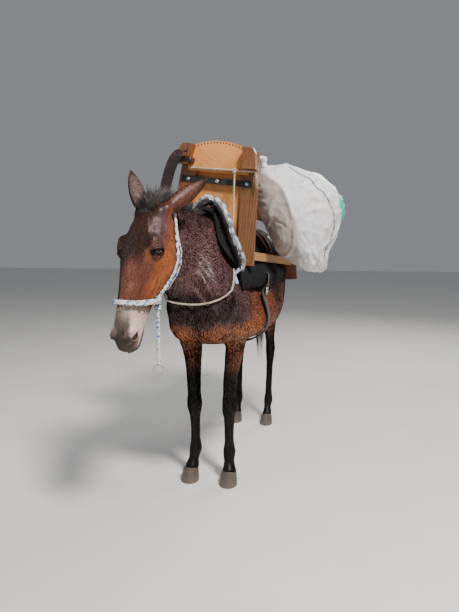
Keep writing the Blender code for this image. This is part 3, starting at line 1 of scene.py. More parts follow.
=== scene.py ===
# %% [markdown]
# # A pack mule, standing still and life-size
# The construction is already settled in a model of solids. This script loads that model as a fixed
# frame and makes the looks around it: the skin and coat, the halter, the pack saddle and its load.
# Everything is in metres, Z is up, the mule faces -Y and its left side is at +X.
# Each step first says what the real piece is, how it could be made, and why this way was chosen.

# %% Load the frame
import math

import bmesh
import bpy
import numpy as np
from mathutils import Matrix, Vector
from mathutils.bvhtree import BVHTree


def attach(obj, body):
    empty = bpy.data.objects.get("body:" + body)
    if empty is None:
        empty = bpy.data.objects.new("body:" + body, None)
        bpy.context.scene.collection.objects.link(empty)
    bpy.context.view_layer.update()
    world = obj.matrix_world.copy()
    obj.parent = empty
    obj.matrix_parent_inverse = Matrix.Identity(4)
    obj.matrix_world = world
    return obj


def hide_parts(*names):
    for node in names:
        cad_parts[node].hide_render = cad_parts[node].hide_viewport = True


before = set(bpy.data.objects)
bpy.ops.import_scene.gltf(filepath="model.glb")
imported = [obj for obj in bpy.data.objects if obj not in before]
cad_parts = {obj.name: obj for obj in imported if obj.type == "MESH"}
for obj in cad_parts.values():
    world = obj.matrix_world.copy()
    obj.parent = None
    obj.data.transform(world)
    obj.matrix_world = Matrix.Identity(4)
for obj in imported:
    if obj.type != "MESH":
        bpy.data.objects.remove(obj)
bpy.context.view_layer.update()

# %% [markdown]
# ## The camera
# The camera stands where a person of middle height stood, to the left front of the mule, and looks a little
# down. Its place, two angles and lens were fitted. The camera could track an empty, but plain angles keep
# the picture the same whatever is added to the scene.

# %% Camera
CAMERA_PLACE = Vector((0.6257, -2.8012, 1.27))
CAMERA_TURN = math.radians(14.67)
CAMERA_PITCH = math.radians(6.34)
CAMERA_LENS = 29.05
SENSOR_HEIGHT = 36.0

camera = bpy.data.objects.new("camera", bpy.data.cameras.new("camera"))
bpy.context.scene.collection.objects.link(camera)
camera.data.sensor_fit = "VERTICAL"
camera.data.sensor_height = SENSOR_HEIGHT
camera.data.sensor_width = SENSOR_HEIGHT
camera.data.lens = CAMERA_LENS
camera.data.clip_end = 60.0
camera.location = CAMERA_PLACE
sight = Vector((-math.sin(CAMERA_TURN) * math.cos(CAMERA_PITCH),
                math.cos(CAMERA_TURN) * math.cos(CAMERA_PITCH),
                -math.sin(CAMERA_PITCH)))
camera.rotation_mode = "QUATERNION"
camera.rotation_quaternion = sight.to_track_quat("-Z", "Y")
bpy.context.scene.camera = camera
print("camera looks along", [round(v, 3) for v in sight])

# %% [markdown]
# ## Finishes are built from nodes
# Every finish is procedural: noise, waves and ramps feed one Principled shader. A few short helpers
# make the nodes and join them, so that a finish reads like a recipe. Object coordinates are used
# throughout, because every piece keeps its place in its mesh and they are then metres on the mule.

# %% Helpers for finishes
def new_finish(name, colour=(0.5, 0.5, 0.5), roughness=0.5, metallic=0.0, **sockets):
    """A material with one Principled shader; sockets are its other plain values."""
    finish = bpy.data.materials.new(name)
    finish.use_nodes = True
    shader = finish.node_tree.nodes["Principled BSDF"]
    shader.inputs["Base Color"].default_value = (*colour, 1.0)
    shader.inputs["Roughness"].default_value = roughness
    shader.inputs["Metallic"].default_value = metallic
    for word, value in sockets.items():
        shader.inputs[word.replace("_", " ")].default_value = value
    return finish


def feed(finish, socket, value):
    """Gives a socket a plain value, or the output of another node."""
    if isinstance(value, bpy.types.NodeSocket):
        finish.node_tree.links.new(value, socket)
    elif isinstance(value, tuple) and len(value) == 3 and socket.type == "RGBA":
        socket.default_value = (*value, 1.0)
    else:
        socket.default_value = value


def add_node(finish, kind, settings=None, **inputs):
    made = finish.node_tree.nodes.new("ShaderNode" + kind)
    for word, value in (settings or {}).items():
        setattr(made, word, value)
    for word, value in inputs.items():
        feed(finish, made.inputs[word.replace("_", " ")], value)
    return made


def set_shader(finish, word, value):
    feed(finish, finish.node_tree.nodes["Principled BSDF"].inputs[word], value)


def places(finish, stretch=(1, 1, 1), turn=(0, 0, 0)):
    """Object coordinates, stretched and turned, for a pattern to read."""
    where = add_node(finish, "TexCoord").outputs["Object"]
    return add_node(finish, "Mapping", Vector=where, Scale=stretch, Rotation=turn).outputs["Vector"]


def noise(finish, scale, detail=3.0, roughness=0.55, stretch=(1, 1, 1), turn=(0, 0, 0), distortion=0.0):
    made = add_node(finish, "TexNoise", Vector=places(finish, stretch, turn), Scale=scale, Detail=detail,
                    Roughness=roughness, Distortion=distortion)
    return made.outputs["Fac"]


def bands(finish, direction, where, **settings):
    """Straight stripes across a direction, bent by noise."""
    kind = {"wave_type": "BANDS", "bands_direction": direction}
    return add_node(finish, "TexWave", kind, Vector=where, **settings).outputs["Fac"]


def ranged(finish, value, low, high, to_low=0.0, to_high=1.0):
    """A value's own range stretched to another one, and clamped."""
    made = add_node(finish, "MapRange", Value=value, From_Min=low, From_Max=high,
                    To_Min=to_low, To_Max=to_high)
    return made.outputs["Result"]


def sums(finish, operation, a, b=0.0):
    made = add_node(finish, "Math", {"operation": operation})
    feed(finish, made.inputs[0], a)
    feed(finish, made.inputs[1], b)
    return made.outputs["Value"]


def mixed(finish, share, a, b, blend="MIX"):
    made = add_node(finish, "Mix", {"data_type": "RGBA", "blend_type": blend, "clamp_result": True})
    feed(finish, made.inputs[0], share)
    feed(finish, made.inputs[6], a)
    feed(finish, made.inputs[7], b)
    return made.outputs[2]


def carried(finish, name="markings", output="Color"):
    """The colours or values that the mesh itself carries under a name."""
    return add_node(finish, "Attribute", {"attribute_name": name}).outputs[output]


def dusted(finish, pattern, low, high, most, colour, dust):
    """Gives the shader a colour with dust or wear where a pattern is strong, up to a share of most."""
    share = ranged(finish, pattern, low, high, 0.0, most)
    set_shader(finish, "Base Color", mixed(finish, share, colour, dust))


def bumped(finish, height, distance, strength=1.0):
    """Joins a bump to the shader; distance is the real height of the relief in metres."""
    made = add_node(finish, "Bump", Height=height, Distance=distance, Strength=strength)
    set_shader(finish, "Normal", made.outputs["Normal"])


# %% [markdown]
# ## Pieces
# A new piece is a mesh made in code, linked to the scene, given its finish, and tied to the frame: it rides
# on the one body, and it may stand for solids of the frame, which it hides.

# %% Helpers for pieces
def new_piece(name, points, faces, finish, slot=None, stands_for=(), smooth=True):
    mesh = bpy.data.meshes.new(name)
    mesh.from_pydata([tuple(p) for p in points], [], [tuple(f) for f in faces])
    mesh.update()
    return dressed(bpy.data.objects.new(name, mesh), finish, stands_for, smooth)


def dressed(obj, finish, stands_for=(), smooth=True):
    """Links a piece, gives it its finish, and ties it to the frame."""
    if obj.name not in bpy.context.scene.collection.objects:
        bpy.context.scene.collection.objects.link(obj)
    obj.data.materials.clear()
    obj.data.materials.append(finish)
    if smooth and obj.type == "MESH":
        obj.data.shade_smooth()
    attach(obj, "root")
    if stands_for:
        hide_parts(*stands_for)
    return obj


def refinish(names, finish):
    """A solid of the frame whose shape is right keeps it, and gets a better finish."""
    for name in names:
        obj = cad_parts[name]
        obj.data.materials.clear()
        obj.data.materials.append(finish)


def soften_edges(names, width, segments=2):
    """A fine bevel that catches the light along the edges of a solid of the frame."""
    for name in names:
        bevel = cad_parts[name].modifiers.new("edge", "BEVEL")
        bevel.width = width
        bevel.segments = segments
        bevel.limit_method = "ANGLE"
        bevel.harden_normals = True
        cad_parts[name].data.shade_smooth()


def joined_shapes(shapes):
    """Several (points, faces) shapes as one."""
    points, faces = [], []
    for some_points, some_faces in shapes:
        start = len(points)
        points += list(some_points)
        faces += [tuple(start + i for i in face) for face in some_faces]
    return points, faces


def loft(rings, closed_ends=True):
    """Faces between rings of the same number of points."""
    count = len(rings[0])
    points = [p for ring in rings for p in ring]
    faces = []
    for i in range(len(rings) - 1):
        for j in range(count):
            k = (j + 1) % count
            faces.append((i * count + j, i * count + k, (i + 1) * count + k, (i + 1) * count + j))
    if closed_ends:
        faces.append(tuple(range(count))[::-1])
        faces.append(tuple((len(rings) - 1) * count + j for j in range(count)))
    return points, faces


def curve_through(rows):
    """A smooth curve through rows of numbers, 24 steps from each row to the next."""
    rows = np.array(rows, float)
    padded = np.vstack([2 * rows[0] - rows[1], rows, 2 * rows[-1] - rows[-2]])
    found = []
    for i in range(len(rows) - 1):
        a, b, c, d = padded[i:i + 4]
        for t in np.linspace(0, 1, 24, endpoint=False):
            found.append(0.5 * (2 * b + (c - a) * t + (2 * a - 5 * b + 4 * c - d) * t**2
                                + (3 * b - a - 3 * c + d) * t**3))
    return np.array(found + [rows[-1]])


def smooth_line(route, count):
    """Places at even steps along a smooth curve through a route's points."""
    found = curve_through(route)
    steps = np.r_[0, np.cumsum(np.linalg.norm(np.diff(found, axis=0), axis=1))]
    wanted = np.linspace(0, steps[-1], count)
    return np.stack([np.interp(wanted, steps, found[:, i]) for i in range(3)], 1)


def frames_along(line, closed=False, first=None):
    """Two crosswise directions at each place of a line, carried along it without twisting."""
    line = np.array(line, float)
    if closed:
        along = np.roll(line, -1, 0) - np.roll(line, 1, 0)
    else:
        along = np.gradient(line, axis=0)
    along /= np.linalg.norm(along, axis=1)[:, None]
    side = np.cross(along[0], first if first is not None else (0.31, 0.27, 0.91))
    side /= np.linalg.norm(side)
    sides = []
    for way in along:
        side = side - way * side.dot(way)
        side = side / np.linalg.norm(side)
        sides.append(side)
    sides = np.array(sides)
    return along, sides, np.cross(along, sides)

# %% [markdown]
# ## Floor and light
# The model stands on a plain pale floor. A strong warm lamp stands high to its left and front, a wide
# weak cool one to its right, and one behind, like the lamps of a studio. A pale world fills the shadows.

# %% Floor, lights and world
def add_floor():
    finish = new_finish("pale_floor", (0.74, 0.73, 0.71), 0.85)
    grain = noise(finish, 2.5, 4.0)
    set_shader(finish, "Base Color", mixed(finish, grain, (0.7, 0.69, 0.67), (0.78, 0.77, 0.75)))
    mesh = bpy.data.meshes.new("floor")
    reach = 30.0
    mesh.from_pydata([(-reach, -reach, 0), (reach, -reach, 0), (reach, reach, 0), (-reach, reach, 0)], [],
                     [(0, 1, 2, 3)])
    floor = bpy.data.objects.new("floor", mesh)
    bpy.context.scene.collection.objects.link(floor)
    floor.data.materials.append(finish)


def add_light(name, place, aim, width, power, colour):
    """A round lamp at a place, turned to what it aims at; power is in watts."""
    lamp = bpy.data.lights.new(name, "AREA")
    lamp.shape = "DISK"
    lamp.size = width
    lamp.energy = power
    lamp.color = colour
    obj = bpy.data.objects.new(name, lamp)
    obj.location = place
    obj.rotation_mode = "QUATERNION"
    obj.rotation_quaternion = (Vector(aim) - Vector(place)).to_track_quat("-Z", "Y")
    bpy.context.scene.collection.objects.link(obj)


def add_lights():
    add_light("key", (2.4, -2.9, 5.2), (-0.1, -0.4, 1.2), 1.1, 540, (1.0, 0.965, 0.91))
    add_light("fill", (-4.2, -2.2, 2.6), (-0.1, 0.0, 1.0), 3.0, 42, (0.9, 0.95, 1.0))
    add_light("back", (1.6, 4.4, 4.2), (0.0, 0.2, 1.0), 2.4, 150, (1.0, 0.98, 0.95))
    world = bpy.data.worlds.new("studio")
    world.use_nodes = True
    world.node_tree.nodes["Background"].inputs["Color"].default_value = (0.8, 0.83, 0.87, 1)
    world.node_tree.nodes["Background"].inputs["Strength"].default_value = 0.3
    bpy.context.scene.world = world


add_floor()
add_lights()
# %% [markdown]
# ## Where things are on the mule
# Markings, wrinkles and hair all need places. The head has its own frame, as the solids have: x to
# the mule's left, s down the face from the poll to the lips, n out of the forehead. The same few
# sizes of the construction are repeated here, so that an eye lands exactly on its solid.

# %% The head's frame
ORIGIN_STEP = Vector((-0.12532, -0.15519, 0.0))
HEAD_PITCH = math.radians(69.5)
HEAD_TURN = math.radians(15)
POLL = Vector((-0.118, -0.702, 1.455)) + ORIGIN_STEP
head_spin = Matrix.Rotation(-HEAD_TURN, 3, "Z")
HEAD_AXES = Matrix((
    head_spin @ Vector((1, 0, 0)),
    head_spin @ Vector((0, -math.cos(HEAD_PITCH), -math.sin(HEAD_PITCH))),
    head_spin @ Vector((0, -math.sin(HEAD_PITCH), math.cos(HEAD_PITCH))),
)).transposed()
HEAD_MATRIX = np.array(HEAD_AXES)


def on_head(x, s, n):
    return POLL + HEAD_AXES @ Vector((x, s, n))


def on_head_side(place, side):
    """A place of the left side, 1, or its mirror on the right side, -1."""
    return on_head(side * place[0], place[1], place[2])


def on_body(x, y, z):
    return Vector((x, y, z)) + ORIGIN_STEP


def in_body(points):
    return points - np.array(ORIGIN_STEP)


def in_head(points):
    """Places in the head's frame, as rows of x, s, n."""
    return (np.asarray(points) - np.array(POLL)) @ HEAD_MATRIX


def soft(value, low, high):
    """0 below low, 1 above high, and a smooth rise between them."""
    t = np.clip((value - low) / (high - low), 0, 1)
    return t * t * (3 - 2 * t)


def blob(points, centre, radii, edge=0.35):
    """1 inside an ellipsoid, falling to 0 over the outer share of it that edge names."""
    far = np.linalg.norm((points - np.array(centre)) / np.array(radii), axis=1)
    return 1 - soft(far, 1 - edge, 1 + edge)


def line_distance(points, route):
    """How far each point is from a route of straight lines."""
    best = np.full(len(points), 1e9)
    route = np.array(route, float)
    for a, b in zip(route[:-1], route[1:]):
        way = b - a
        t = np.clip(((points - a) @ way) / (way @ way), 0, 1)
        best = np.minimum(best, np.linalg.norm(points - a - t[:, None] * way, axis=1))
    return best


print("poll at", [round(v, 3) for v in POLL])

# %% [markdown]
# ## The skin
# On the animal one skin runs from nose to hooves with no seam. The solids are many nodes with thin
# gaps, so they are gathered and remeshed with voxels, which closes the gaps. A single fine voxel size
# would need millions of faces, so the body is remeshed coarsely and the head finely. Both are cut by
# one plane across the neck and the two edges are bridged. Smoothing removes the flat facets of the
# solids, and then the skin is pulled in by the depth of the coat that will lie on it.

# %% Gathering the flesh
FLESH = ["torso", "neck", "head", "ear_left", "ear_right",
         "foreleg_left", "foreleg_right", "hindleg_left", "hindleg_right"]
BODY_VOXEL, BODY_ROUNDS = 0.0068, 16
HEAD_VOXEL, HEAD_ROUNDS = 0.0024, 34
SEAM_ROUNDS = 14
SEAM_POINT = np.array((-0.2215, -0.605, 1.34))
SEAM_NORMAL = np.array(head_spin @ Vector((0, -0.94, 0.34)))
SEAM_NORMAL /= np.linalg.norm(SEAM_NORMAL)
EYE_RADIUS = 0.022
EYE_PLACE = (0.0875, 0.19, -0.024)
EYE_LOOK = Vector((0.84, 0.12, 0.53)).normalized()
LID_DEPTH = 0.0028


def gathered(names, extra=()):
    """A mesh of several nodes and shapes, each a closed surface of its own."""
    points, faces = joined_shapes(
        [([tuple(v.co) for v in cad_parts[n].data.vertices],
          [tuple(p.vertices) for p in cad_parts[n].data.polygons]) for n in names] + list(extra))
    mesh = bpy.data.meshes.new("gathered")
    mesh.from_pydata(points, [], faces)
    obj = bpy.data.objects.new("gathered", mesh)
    bpy.context.scene.collection.objects.link(obj)
    return obj


def evaluated_mesh(obj):
    """The mesh of an object after its modifiers, and the object removed."""
    graph = bpy.context.evaluated_depsgraph_get()
    mesh = bpy.data.meshes.new_from_object(obj.evaluated_get(graph))
    old = obj.data
    bpy.data.objects.remove(obj)
    bpy.data.meshes.remove(old)
    return mesh


def remeshed(obj, voxel):
    change = obj.modifiers.new("voxels", "REMESH")
    change.mode = "VOXEL"
    change.voxel_size = voxel
    return evaluated_mesh(obj)


def points_of(mesh):
    found = np.empty(len(mesh.vertices) * 3)
    mesh.vertices.foreach_get("co", found)
    return found.reshape(-1, 3)


def normals_of(mesh):
    found = np.empty(len(mesh.vertices) * 3, np.float32)
    mesh.vertex_normals.foreach_get("vector", found)
    return found.reshape(-1, 3).astype(float)


def edges_of(mesh):
    found = np.empty(len(mesh.edges) * 2, np.int32)
    mesh.edges.foreach_get("vertices", found)
    return found.reshape(-1, 2)


def give_points(mesh, points):
    mesh.vertices.foreach_set("co", np.asarray(points, np.float32).ravel())
    mesh.update()


def drawn_together(points, edges, weight, strengths):
    """Moves each point toward the mean of its neighbours, once for each strength."""
    a, b = edges.T
    count = len(points)
    near = np.maximum(np.bincount(a, minlength=count) + np.bincount(b, minlength=count), 1)[:, None]
    for strength in strengths:
        total = np.stack([np.bincount(a, points[b, i], count) + np.bincount(b, points[a, i], count)
                          for i in range(3)], 1)
        points = points + (total / near - points) * weight * strength
    return points


def even_out(points, edges, rounds, weight=1.0):
    """Smooths in pairs of steps, one in and one out, so that the form keeps its size."""
    weight = np.broadcast_to(np.asarray(weight, float), (len(points),))[:, None]
    return drawn_together(points, edges, weight, [0.55, -0.56] * rounds)


def ellipsoid_shape(centre, radii, axes=None, around=24, rows=12):
    """A closed ball, stretched by its radii and turned by its axes."""
    axes = np.eye(3) if axes is None else np.array(axes)
    rings = []
    for i in range(1, rows):
        tilt = math.pi * i / rows
        ring = [(math.sin(tilt) * math.cos(2 * math.pi * k / around) * radii[0],
                 math.sin(tilt) * math.sin(2 * math.pi * k / around) * radii[1],
                 math.cos(tilt) * radii[2]) for k in range(around)]
        rings.append([Vector(centre) + Vector(axes @ np.array(p)) for p in ring])
    return loft(rings)


def head_plugs():
    """Balls that fill the sockets, nostrils and mouth of the head's solid, to be opened again finer."""
    shapes = []
    for side in (1, -1):
        shapes.append(ellipsoid_shape(on_head_side(EYE_PLACE, side), (EYE_RADIUS + LID_DEPTH,) * 3))
        turn = Matrix.Rotation(math.radians(32), 3, "X") @ Matrix.Rotation(math.radians(side * 38), 3, "Y")
        nostril = on_head(side * 0.051, 0.545, -0.039)
        shapes.append(ellipsoid_shape(nostril, (0.023, 0.023, 0.01), HEAD_AXES @ turn))
    shapes.append(ellipsoid_shape(on_head(0, 0.55, -0.0855), (0.052, 0.058, 0.0045), HEAD_AXES))
    return shapes


print("flesh nodes:", len(FLESH))

# %% [markdown]
# ## The ears
# A mule's ear is long, a cupped leaf of gristle with a thin rim. The solid's shell has few sides, and
# its facets would show, so the ear is lofted again from the same stations with more of them, each ring
# running up the outside of the cup and back down the inside. It is fused to the head by the voxels.

# %% The ear's shell
EAR_LENGTH = 0.25
EAR_SHELL = 0.0052
EAR_STATIONS = [
    (-0.1, 0.02, 0.02, 158), (0.0, 0.024, 0.024, 150), (0.12, 0.0305, 0.0275, 140),
    (0.3, 0.037, 0.0272, 120),
    (0.5, 0.036, 0.0232, 108), (0.7, 0.0282, 0.0174, 100), (0.86, 0.0175, 0.0106, 96),
    (0.95, 0.0085, 0.006, 94), (0.985, 0.0042, 0.004, 92),
]
EAR_LINE = {1: (0.38, 0.66, 0.545), -1: (-0.56, 0.36, 0.8)}
EAR_MOUTH = {1: (-0.62, 0.6, 0.0), -1: (-0.7, 0.45, -0.2)}
EAR_BASE = {1: (0.06, -0.002, -0.052), -1: (-0.058, -0.006, -0.045)}
EAR_RINGS = 46
EAR_ARC = 26


def smooth_table(rows, count):
    """A table of stations, read at even steps of its first column by a smooth curve."""
    found = curve_through(rows)
    wanted = np.linspace(found[0, 0], found[-1, 0], count)
    return np.stack([np.interp(wanted, found[:, 0], column) for column in found.T], 1)


def ear_axes(side):
    """Along the ear, across it, and out of its mouth."""
    along = head_spin @ Vector(EAR_LINE[side]).normalized()
    mouth = head_spin @ Vector(EAR_MOUTH[side])
    mouth = (mouth - along * mouth.dot(along)).normalized()
    return along, along.cross(mouth), mouth


def ear_shape(side):
    along, across, mouth = ear_axes(side)
    base = on_head(*EAR_BASE[side])
    rows = smooth_table(EAR_STATIONS, EAR_RINGS)
    rings = []
    for share, half, deep, cover in rows:
        centre = base + along * (share * EAR_LENGTH)
        shell = min(EAR_SHELL, half * 0.5)
        outer, inner = [], []
        for k in range(EAR_ARC):
            angle = math.radians(cover) * (2 * k / (EAR_ARC - 1) - 1)
            step = across * math.sin(angle) * half - mouth * math.cos(angle) * deep
            outer.append(centre + step)
            inner.append(centre + step * (1 - shell / half))
        rings.append(outer + inner[::-1])
    return loft(rings)


print("ear", EAR_LENGTH, "long, stations:", len(EAR_STATIONS))

# %% [markdown]
# ## Bridging head and body
# Both halves come from the same solids, so at the plane they agree to within a millimetre. The loops
# have different numbers of points, which the bridge operator joins with triangles, and a few rounds
# of smoothing in a band on either side blend the two densities.

# %% One skin from two halves
def cut_away(mesh, normal):
    """Keeps what lies on the plane's back, seen along the normal, and opens the mesh there."""
    shape = bmesh.new()
    shape.from_mesh(mesh)
    bmesh.ops.bisect_plane(shape, geom=shape.verts[:] + shape.edges[:] + shape.faces[:], dist=1e-6,
                           plane_co=SEAM_POINT, plane_no=normal, clear_outer=True)
    loose = [v for v in shape.verts if not v.link_faces]
    bmesh.ops.delete(shape, geom=loose, context="VERTS")
    shape.to_mesh(mesh)
    shape.free()


def body_half():
    names = [n for n in FLESH if not n.startswith("ear")]
    mesh = remeshed(gathered(names, head_plugs()), BODY_VOXEL)
    points, edges = points_of(mesh), edges_of(mesh)
    on_leg = 1 - soft(points[:, 2], 0.45, 0.85)
    give_points(mesh, even_out(points, edges, BODY_ROUNDS, 1.0 - 0.55 * on_leg))
    cut_away(mesh, SEAM_NORMAL)
    return mesh


# Round knobs of the solids that melt into the head: place, and how far the melting reaches
KNOBS = [((0.08, 0.15, 0.004), 0.042), ((0.06, 0.015, -0.045), 0.05)]
MELT_ROUNDS = 140


def melted(points, edges):
    """Plain smoothing round the brow and the ear's muscle, where the solids are balls."""
    local = in_head(points)
    weight = np.zeros(len(points))
    for (x, s, n), reach in KNOBS:
        for side in (1, -1):
            far = np.linalg.norm(local - np.array((side * x, s, n)), axis=1)
            weight = np.maximum(weight, 1 - soft(far, reach * 0.55, reach * 1.25))
    near = edges[(weight > 0)[edges].any(axis=1)]
    return drawn_together(points, near, (weight * 0.6)[:, None], [1.0] * MELT_ROUNDS)


def head_half():
    mesh = remeshed(gathered(["neck", "head"], head_plugs() + [ear_shape(1), ear_shape(-1)]), HEAD_VOXEL)
    points, edges = points_of(mesh), edges_of(mesh)
    x, s, n = in_head(points).T
    on_ear = np.maximum(soft(-s - 0.35 * np.maximum(n, 0), 0.02, 0.05), 0) * soft(np.abs(x), 0.02, 0.05)
    behind = soft(-(points - SEAM_POINT) @ SEAM_NORMAL, -0.16, -0.04)
    muzzle = soft(s, 0.47, 0.52)
    weight = 1.0 - 0.8 * on_ear * (1 - behind) - 0.35 * muzzle
    points = even_out(points, edges, HEAD_ROUNDS, np.clip(weight, 0.15, 1))
    give_points(mesh, melted(points, edges))
    cut_away(mesh, -SEAM_NORMAL)
    return mesh


def bridged(*meshes):
    shape = bmesh.new()
    for mesh in meshes:
        shape.from_mesh(mesh)
        bpy.data.meshes.remove(mesh)
    open_edges = [e for e in shape.edges if e.is_boundary]
    made = bmesh.ops.bridge_loops(shape, edges=open_edges)
    bmesh.ops.triangulate(shape, faces=made["faces"])
    bmesh.ops.recalc_face_normals(shape, faces=shape.faces[:])
    print("bridge:", len(open_edges), "edges,", len(made["faces"]), "faces; skin:", len(shape.faces))
    mesh = bpy.data.meshes.new("skin")
    shape.to_mesh(mesh)
    shape.free()
    return mesh


def blend_the_seam(mesh):
    points, edges = points_of(mesh), edges_of(mesh)
    far = np.abs((points - SEAM_POINT) @ SEAM_NORMAL)
    give_points(mesh, even_out(points, edges, SEAM_ROUNDS, 1 - soft(far, 0.012, 0.045)))


skin_mesh = bridged(body_half(), head_half())
blend_the_seam(skin_mesh)

# %% [markdown]
# ## Muscle, bone and folds
# Under a short coat the form is what the eye reads: the groove of the throat, the blade of the
# shoulder, the ridge of the cheek, tendons down the legs. They could be sculpted by hand. Here each is
# a soft stroke along a few points, raised or pressed along the skin's normals, so that every one can
# be named and moved. Then the skin is pulled in by the coat's depth, least on the face and the feet.

# %% Strokes on the skin
def on_both_sides(route, frame_of):
    """A route for the left side and its mirror for the right, in row coordinates."""
    return [[frame_of(x * side, *rest) for x, *rest in route] for side in (1, -1)]


# Each stroke: its route on the left side, half width, and height, both in metres
FACE_STROKES = {
    "cheek ridge": ([(0.088, 0.228, -0.05), (0.074, 0.275, -0.062), (0.062, 0.335, -0.068)], 0.0075,
                    0.0042),
    "under the ridge": ([(0.088, 0.245, -0.085), (0.07, 0.3, -0.09), (0.058, 0.36, -0.09)], 0.014, -0.0035),
    "side of the nose": ([(0.048, 0.3, 0.006), (0.038, 0.38, 0.0), (0.034, 0.46, -0.01)], 0.009, 0.0022),
    "nose hollow": ([(0.06, 0.32, -0.025), (0.052, 0.4, -0.035), (0.05, 0.46, -0.04)], 0.013, -0.004),
    "hollow over the eye": ([(0.066, 0.105, 0.002), (0.07, 0.12, 0.002)], 0.014, -0.0035),
    "brow": ([(0.08, 0.15, 0.0), (0.088, 0.168, -0.012)], 0.012, 0.002),
    "temple ridge": ([(0.03, 0.06, 0.01), (0.052, 0.11, 0.02), (0.072, 0.16, 0.02)], 0.008, 0.003),
    "rear of the jaw": ([(0.088, 0.075, -0.15), (0.092, 0.13, -0.205), (0.085, 0.195, -0.232)], 0.01,
                        0.0028),
    "cheek vein": ([(0.078, 0.262, -0.085), (0.07, 0.31, -0.105), (0.066, 0.35, -0.125)], 0.0028, 0.0018),
    "cheek muscle": ([(0.095, 0.17, -0.11), (0.094, 0.22, -0.15), (0.086, 0.24, -0.185)], 0.022, 0.0035),
    "corner of the lips": ([(0.05, 0.5, -0.088), (0.046, 0.52, -0.092)], 0.007, 0.0025),
    "lip wrinkle": ([(0.052, 0.478, -0.06), (0.051, 0.49, -0.085)], 0.0035, -0.0018),
    "lip wrinkle behind": ([(0.053, 0.462, -0.058), (0.051, 0.472, -0.088)], 0.0035, -0.0014),
    "over the nostril": ([(0.04, 0.5, -0.012), (0.05, 0.525, -0.012), (0.052, 0.55, -0.018)], 0.006,
                         0.0022),
}
FACE_MIDDLE_STROKES = {
    "forehead ridge": ([(0, 0.02, 0), (0, 0.09, 0.02)], 0.012, 0.003),
    "chin groove": ([(-0.02, 0.5, -0.125), (0.02, 0.5, -0.125)], 0.008, -0.003),
}
BODY_STROKES = {
    "throat groove": ([(0.005, -0.478, 1.165), (0.02, -0.452, 1.098), (0.075, -0.444, 1.033)], 0.019,
                      -0.009),
    "neck muscle": ([(0.02, -0.44, 1.19), (0.06, -0.44, 1.11), (0.095, -0.435, 1.045)], 0.022, 0.006),
    "second neck fold": ([(0.018, -0.401, 1.219), (0.073, -0.418, 1.144), (0.103, -0.42, 1.079)], 0.018,
                         -0.008),
    "edge of the shoulder": ([(0.152, -0.387, 1.039), (0.177, -0.328, 0.946), (0.152, -0.31, 0.853)], 0.014,
                             -0.006),
    "before the blade": ([(0.1, -0.2, 1.38), (0.12, -0.265, 1.24), (0.135, -0.32, 1.1)], 0.02, -0.0085),
    "blade ridge": ([(0.11, -0.05, 1.34), (0.14, -0.12, 1.2), (0.16, -0.23, 1.06)], 0.016, 0.0045),
    "behind the blade": ([(0.15, 0.06, 1.28), (0.175, 0.05, 1.12), (0.185, 0.02, 0.98)], 0.026, -0.006),
    "breast groove": ([(0.0, -0.452, 1.03), (0.0, -0.46, 0.94), (0.0, -0.42, 0.86)], 0.016, -0.011),
    "arm groove": ([(0.12, -0.36, 0.93), (0.135, -0.28, 0.87), (0.16, -0.2, 0.84)], 0.016, -0.0055),
    "forearm muscle": ([(0.15, -0.13, 0.84), (0.14, -0.12, 0.74), (0.128, -0.11, 0.64)], 0.02, 0.004),
    "forearm groove": ([(0.15, -0.075, 0.8), (0.143, -0.075, 0.7), (0.13, -0.08, 0.6)], 0.009, -0.0035),
    "fore tendon": ([(0.1, -0.055, 0.35), (0.1, -0.05, 0.26), (0.1, -0.045, 0.19)], 0.007, 0.003),
    "fore tendon groove": ([(0.122, -0.075, 0.34), (0.122, -0.07, 0.25), (0.122, -0.068, 0.19)], 0.006,
                           -0.0026),
    "knee": ([(0.1, -0.135, 0.425), (0.1, -0.135, 0.395)], 0.016, 0.003),
    "under the knee": ([(0.085, -0.13, 0.365), (0.115, -0.13, 0.365)], 0.01, -0.0026),
    "flank hollow": ([(0.235, 0.62, 1.22), (0.225, 0.6, 1.12)], 0.045, -0.009),
    "point of hip": ([(0.215, 0.66, 1.325), (0.222, 0.68, 1.315)], 0.028, 0.0085),
    "thigh groove": ([(0.215, 0.92, 1.16), (0.205, 0.96, 1.02), (0.18, 0.95, 0.88)], 0.017, -0.005),
    "stifle": ([(0.19, 0.66, 0.92), (0.18, 0.655, 0.87)], 0.024, 0.005),
    "gaskin groove": ([(0.17, 0.86, 0.8), (0.155, 0.92, 0.7), (0.145, 0.97, 0.62)], 0.011, -0.0035),
    "hind tendon": ([(0.118, 1.015, 0.46), (0.116, 1.0, 0.33), (0.116, 0.985, 0.2)], 0.007, 0.0028),
    "hind tendon groove": ([(0.138, 0.99, 0.45), (0.135, 0.975, 0.33), (0.134, 0.965, 0.2)], 0.006,
                           -0.0026),
    "hock bone": ([(0.15, 0.985, 0.545), (0.147, 0.97, 0.5)], 0.015, 0.0028),
}
RIB_COUNT, RIB_START, RIB_STEP = 7, 0.22, 0.055
BODY_COAT, LEG_COAT_LESS, FACE_COAT = 0.004, 0.0018, 0.001


def stroked(points, normals, route, half_width, height):
    """Moves the points near a route along their normals."""
    low = np.min(route, 0) - 3 * half_width
    high = np.max(route, 0) + 3 * half_width
    near = np.all((points > low) & (points < high), axis=1)
    far = line_distance(points[near], route)
    points[near] += normals[near] * (height * np.exp(-(far / half_width)**2))[:, None]


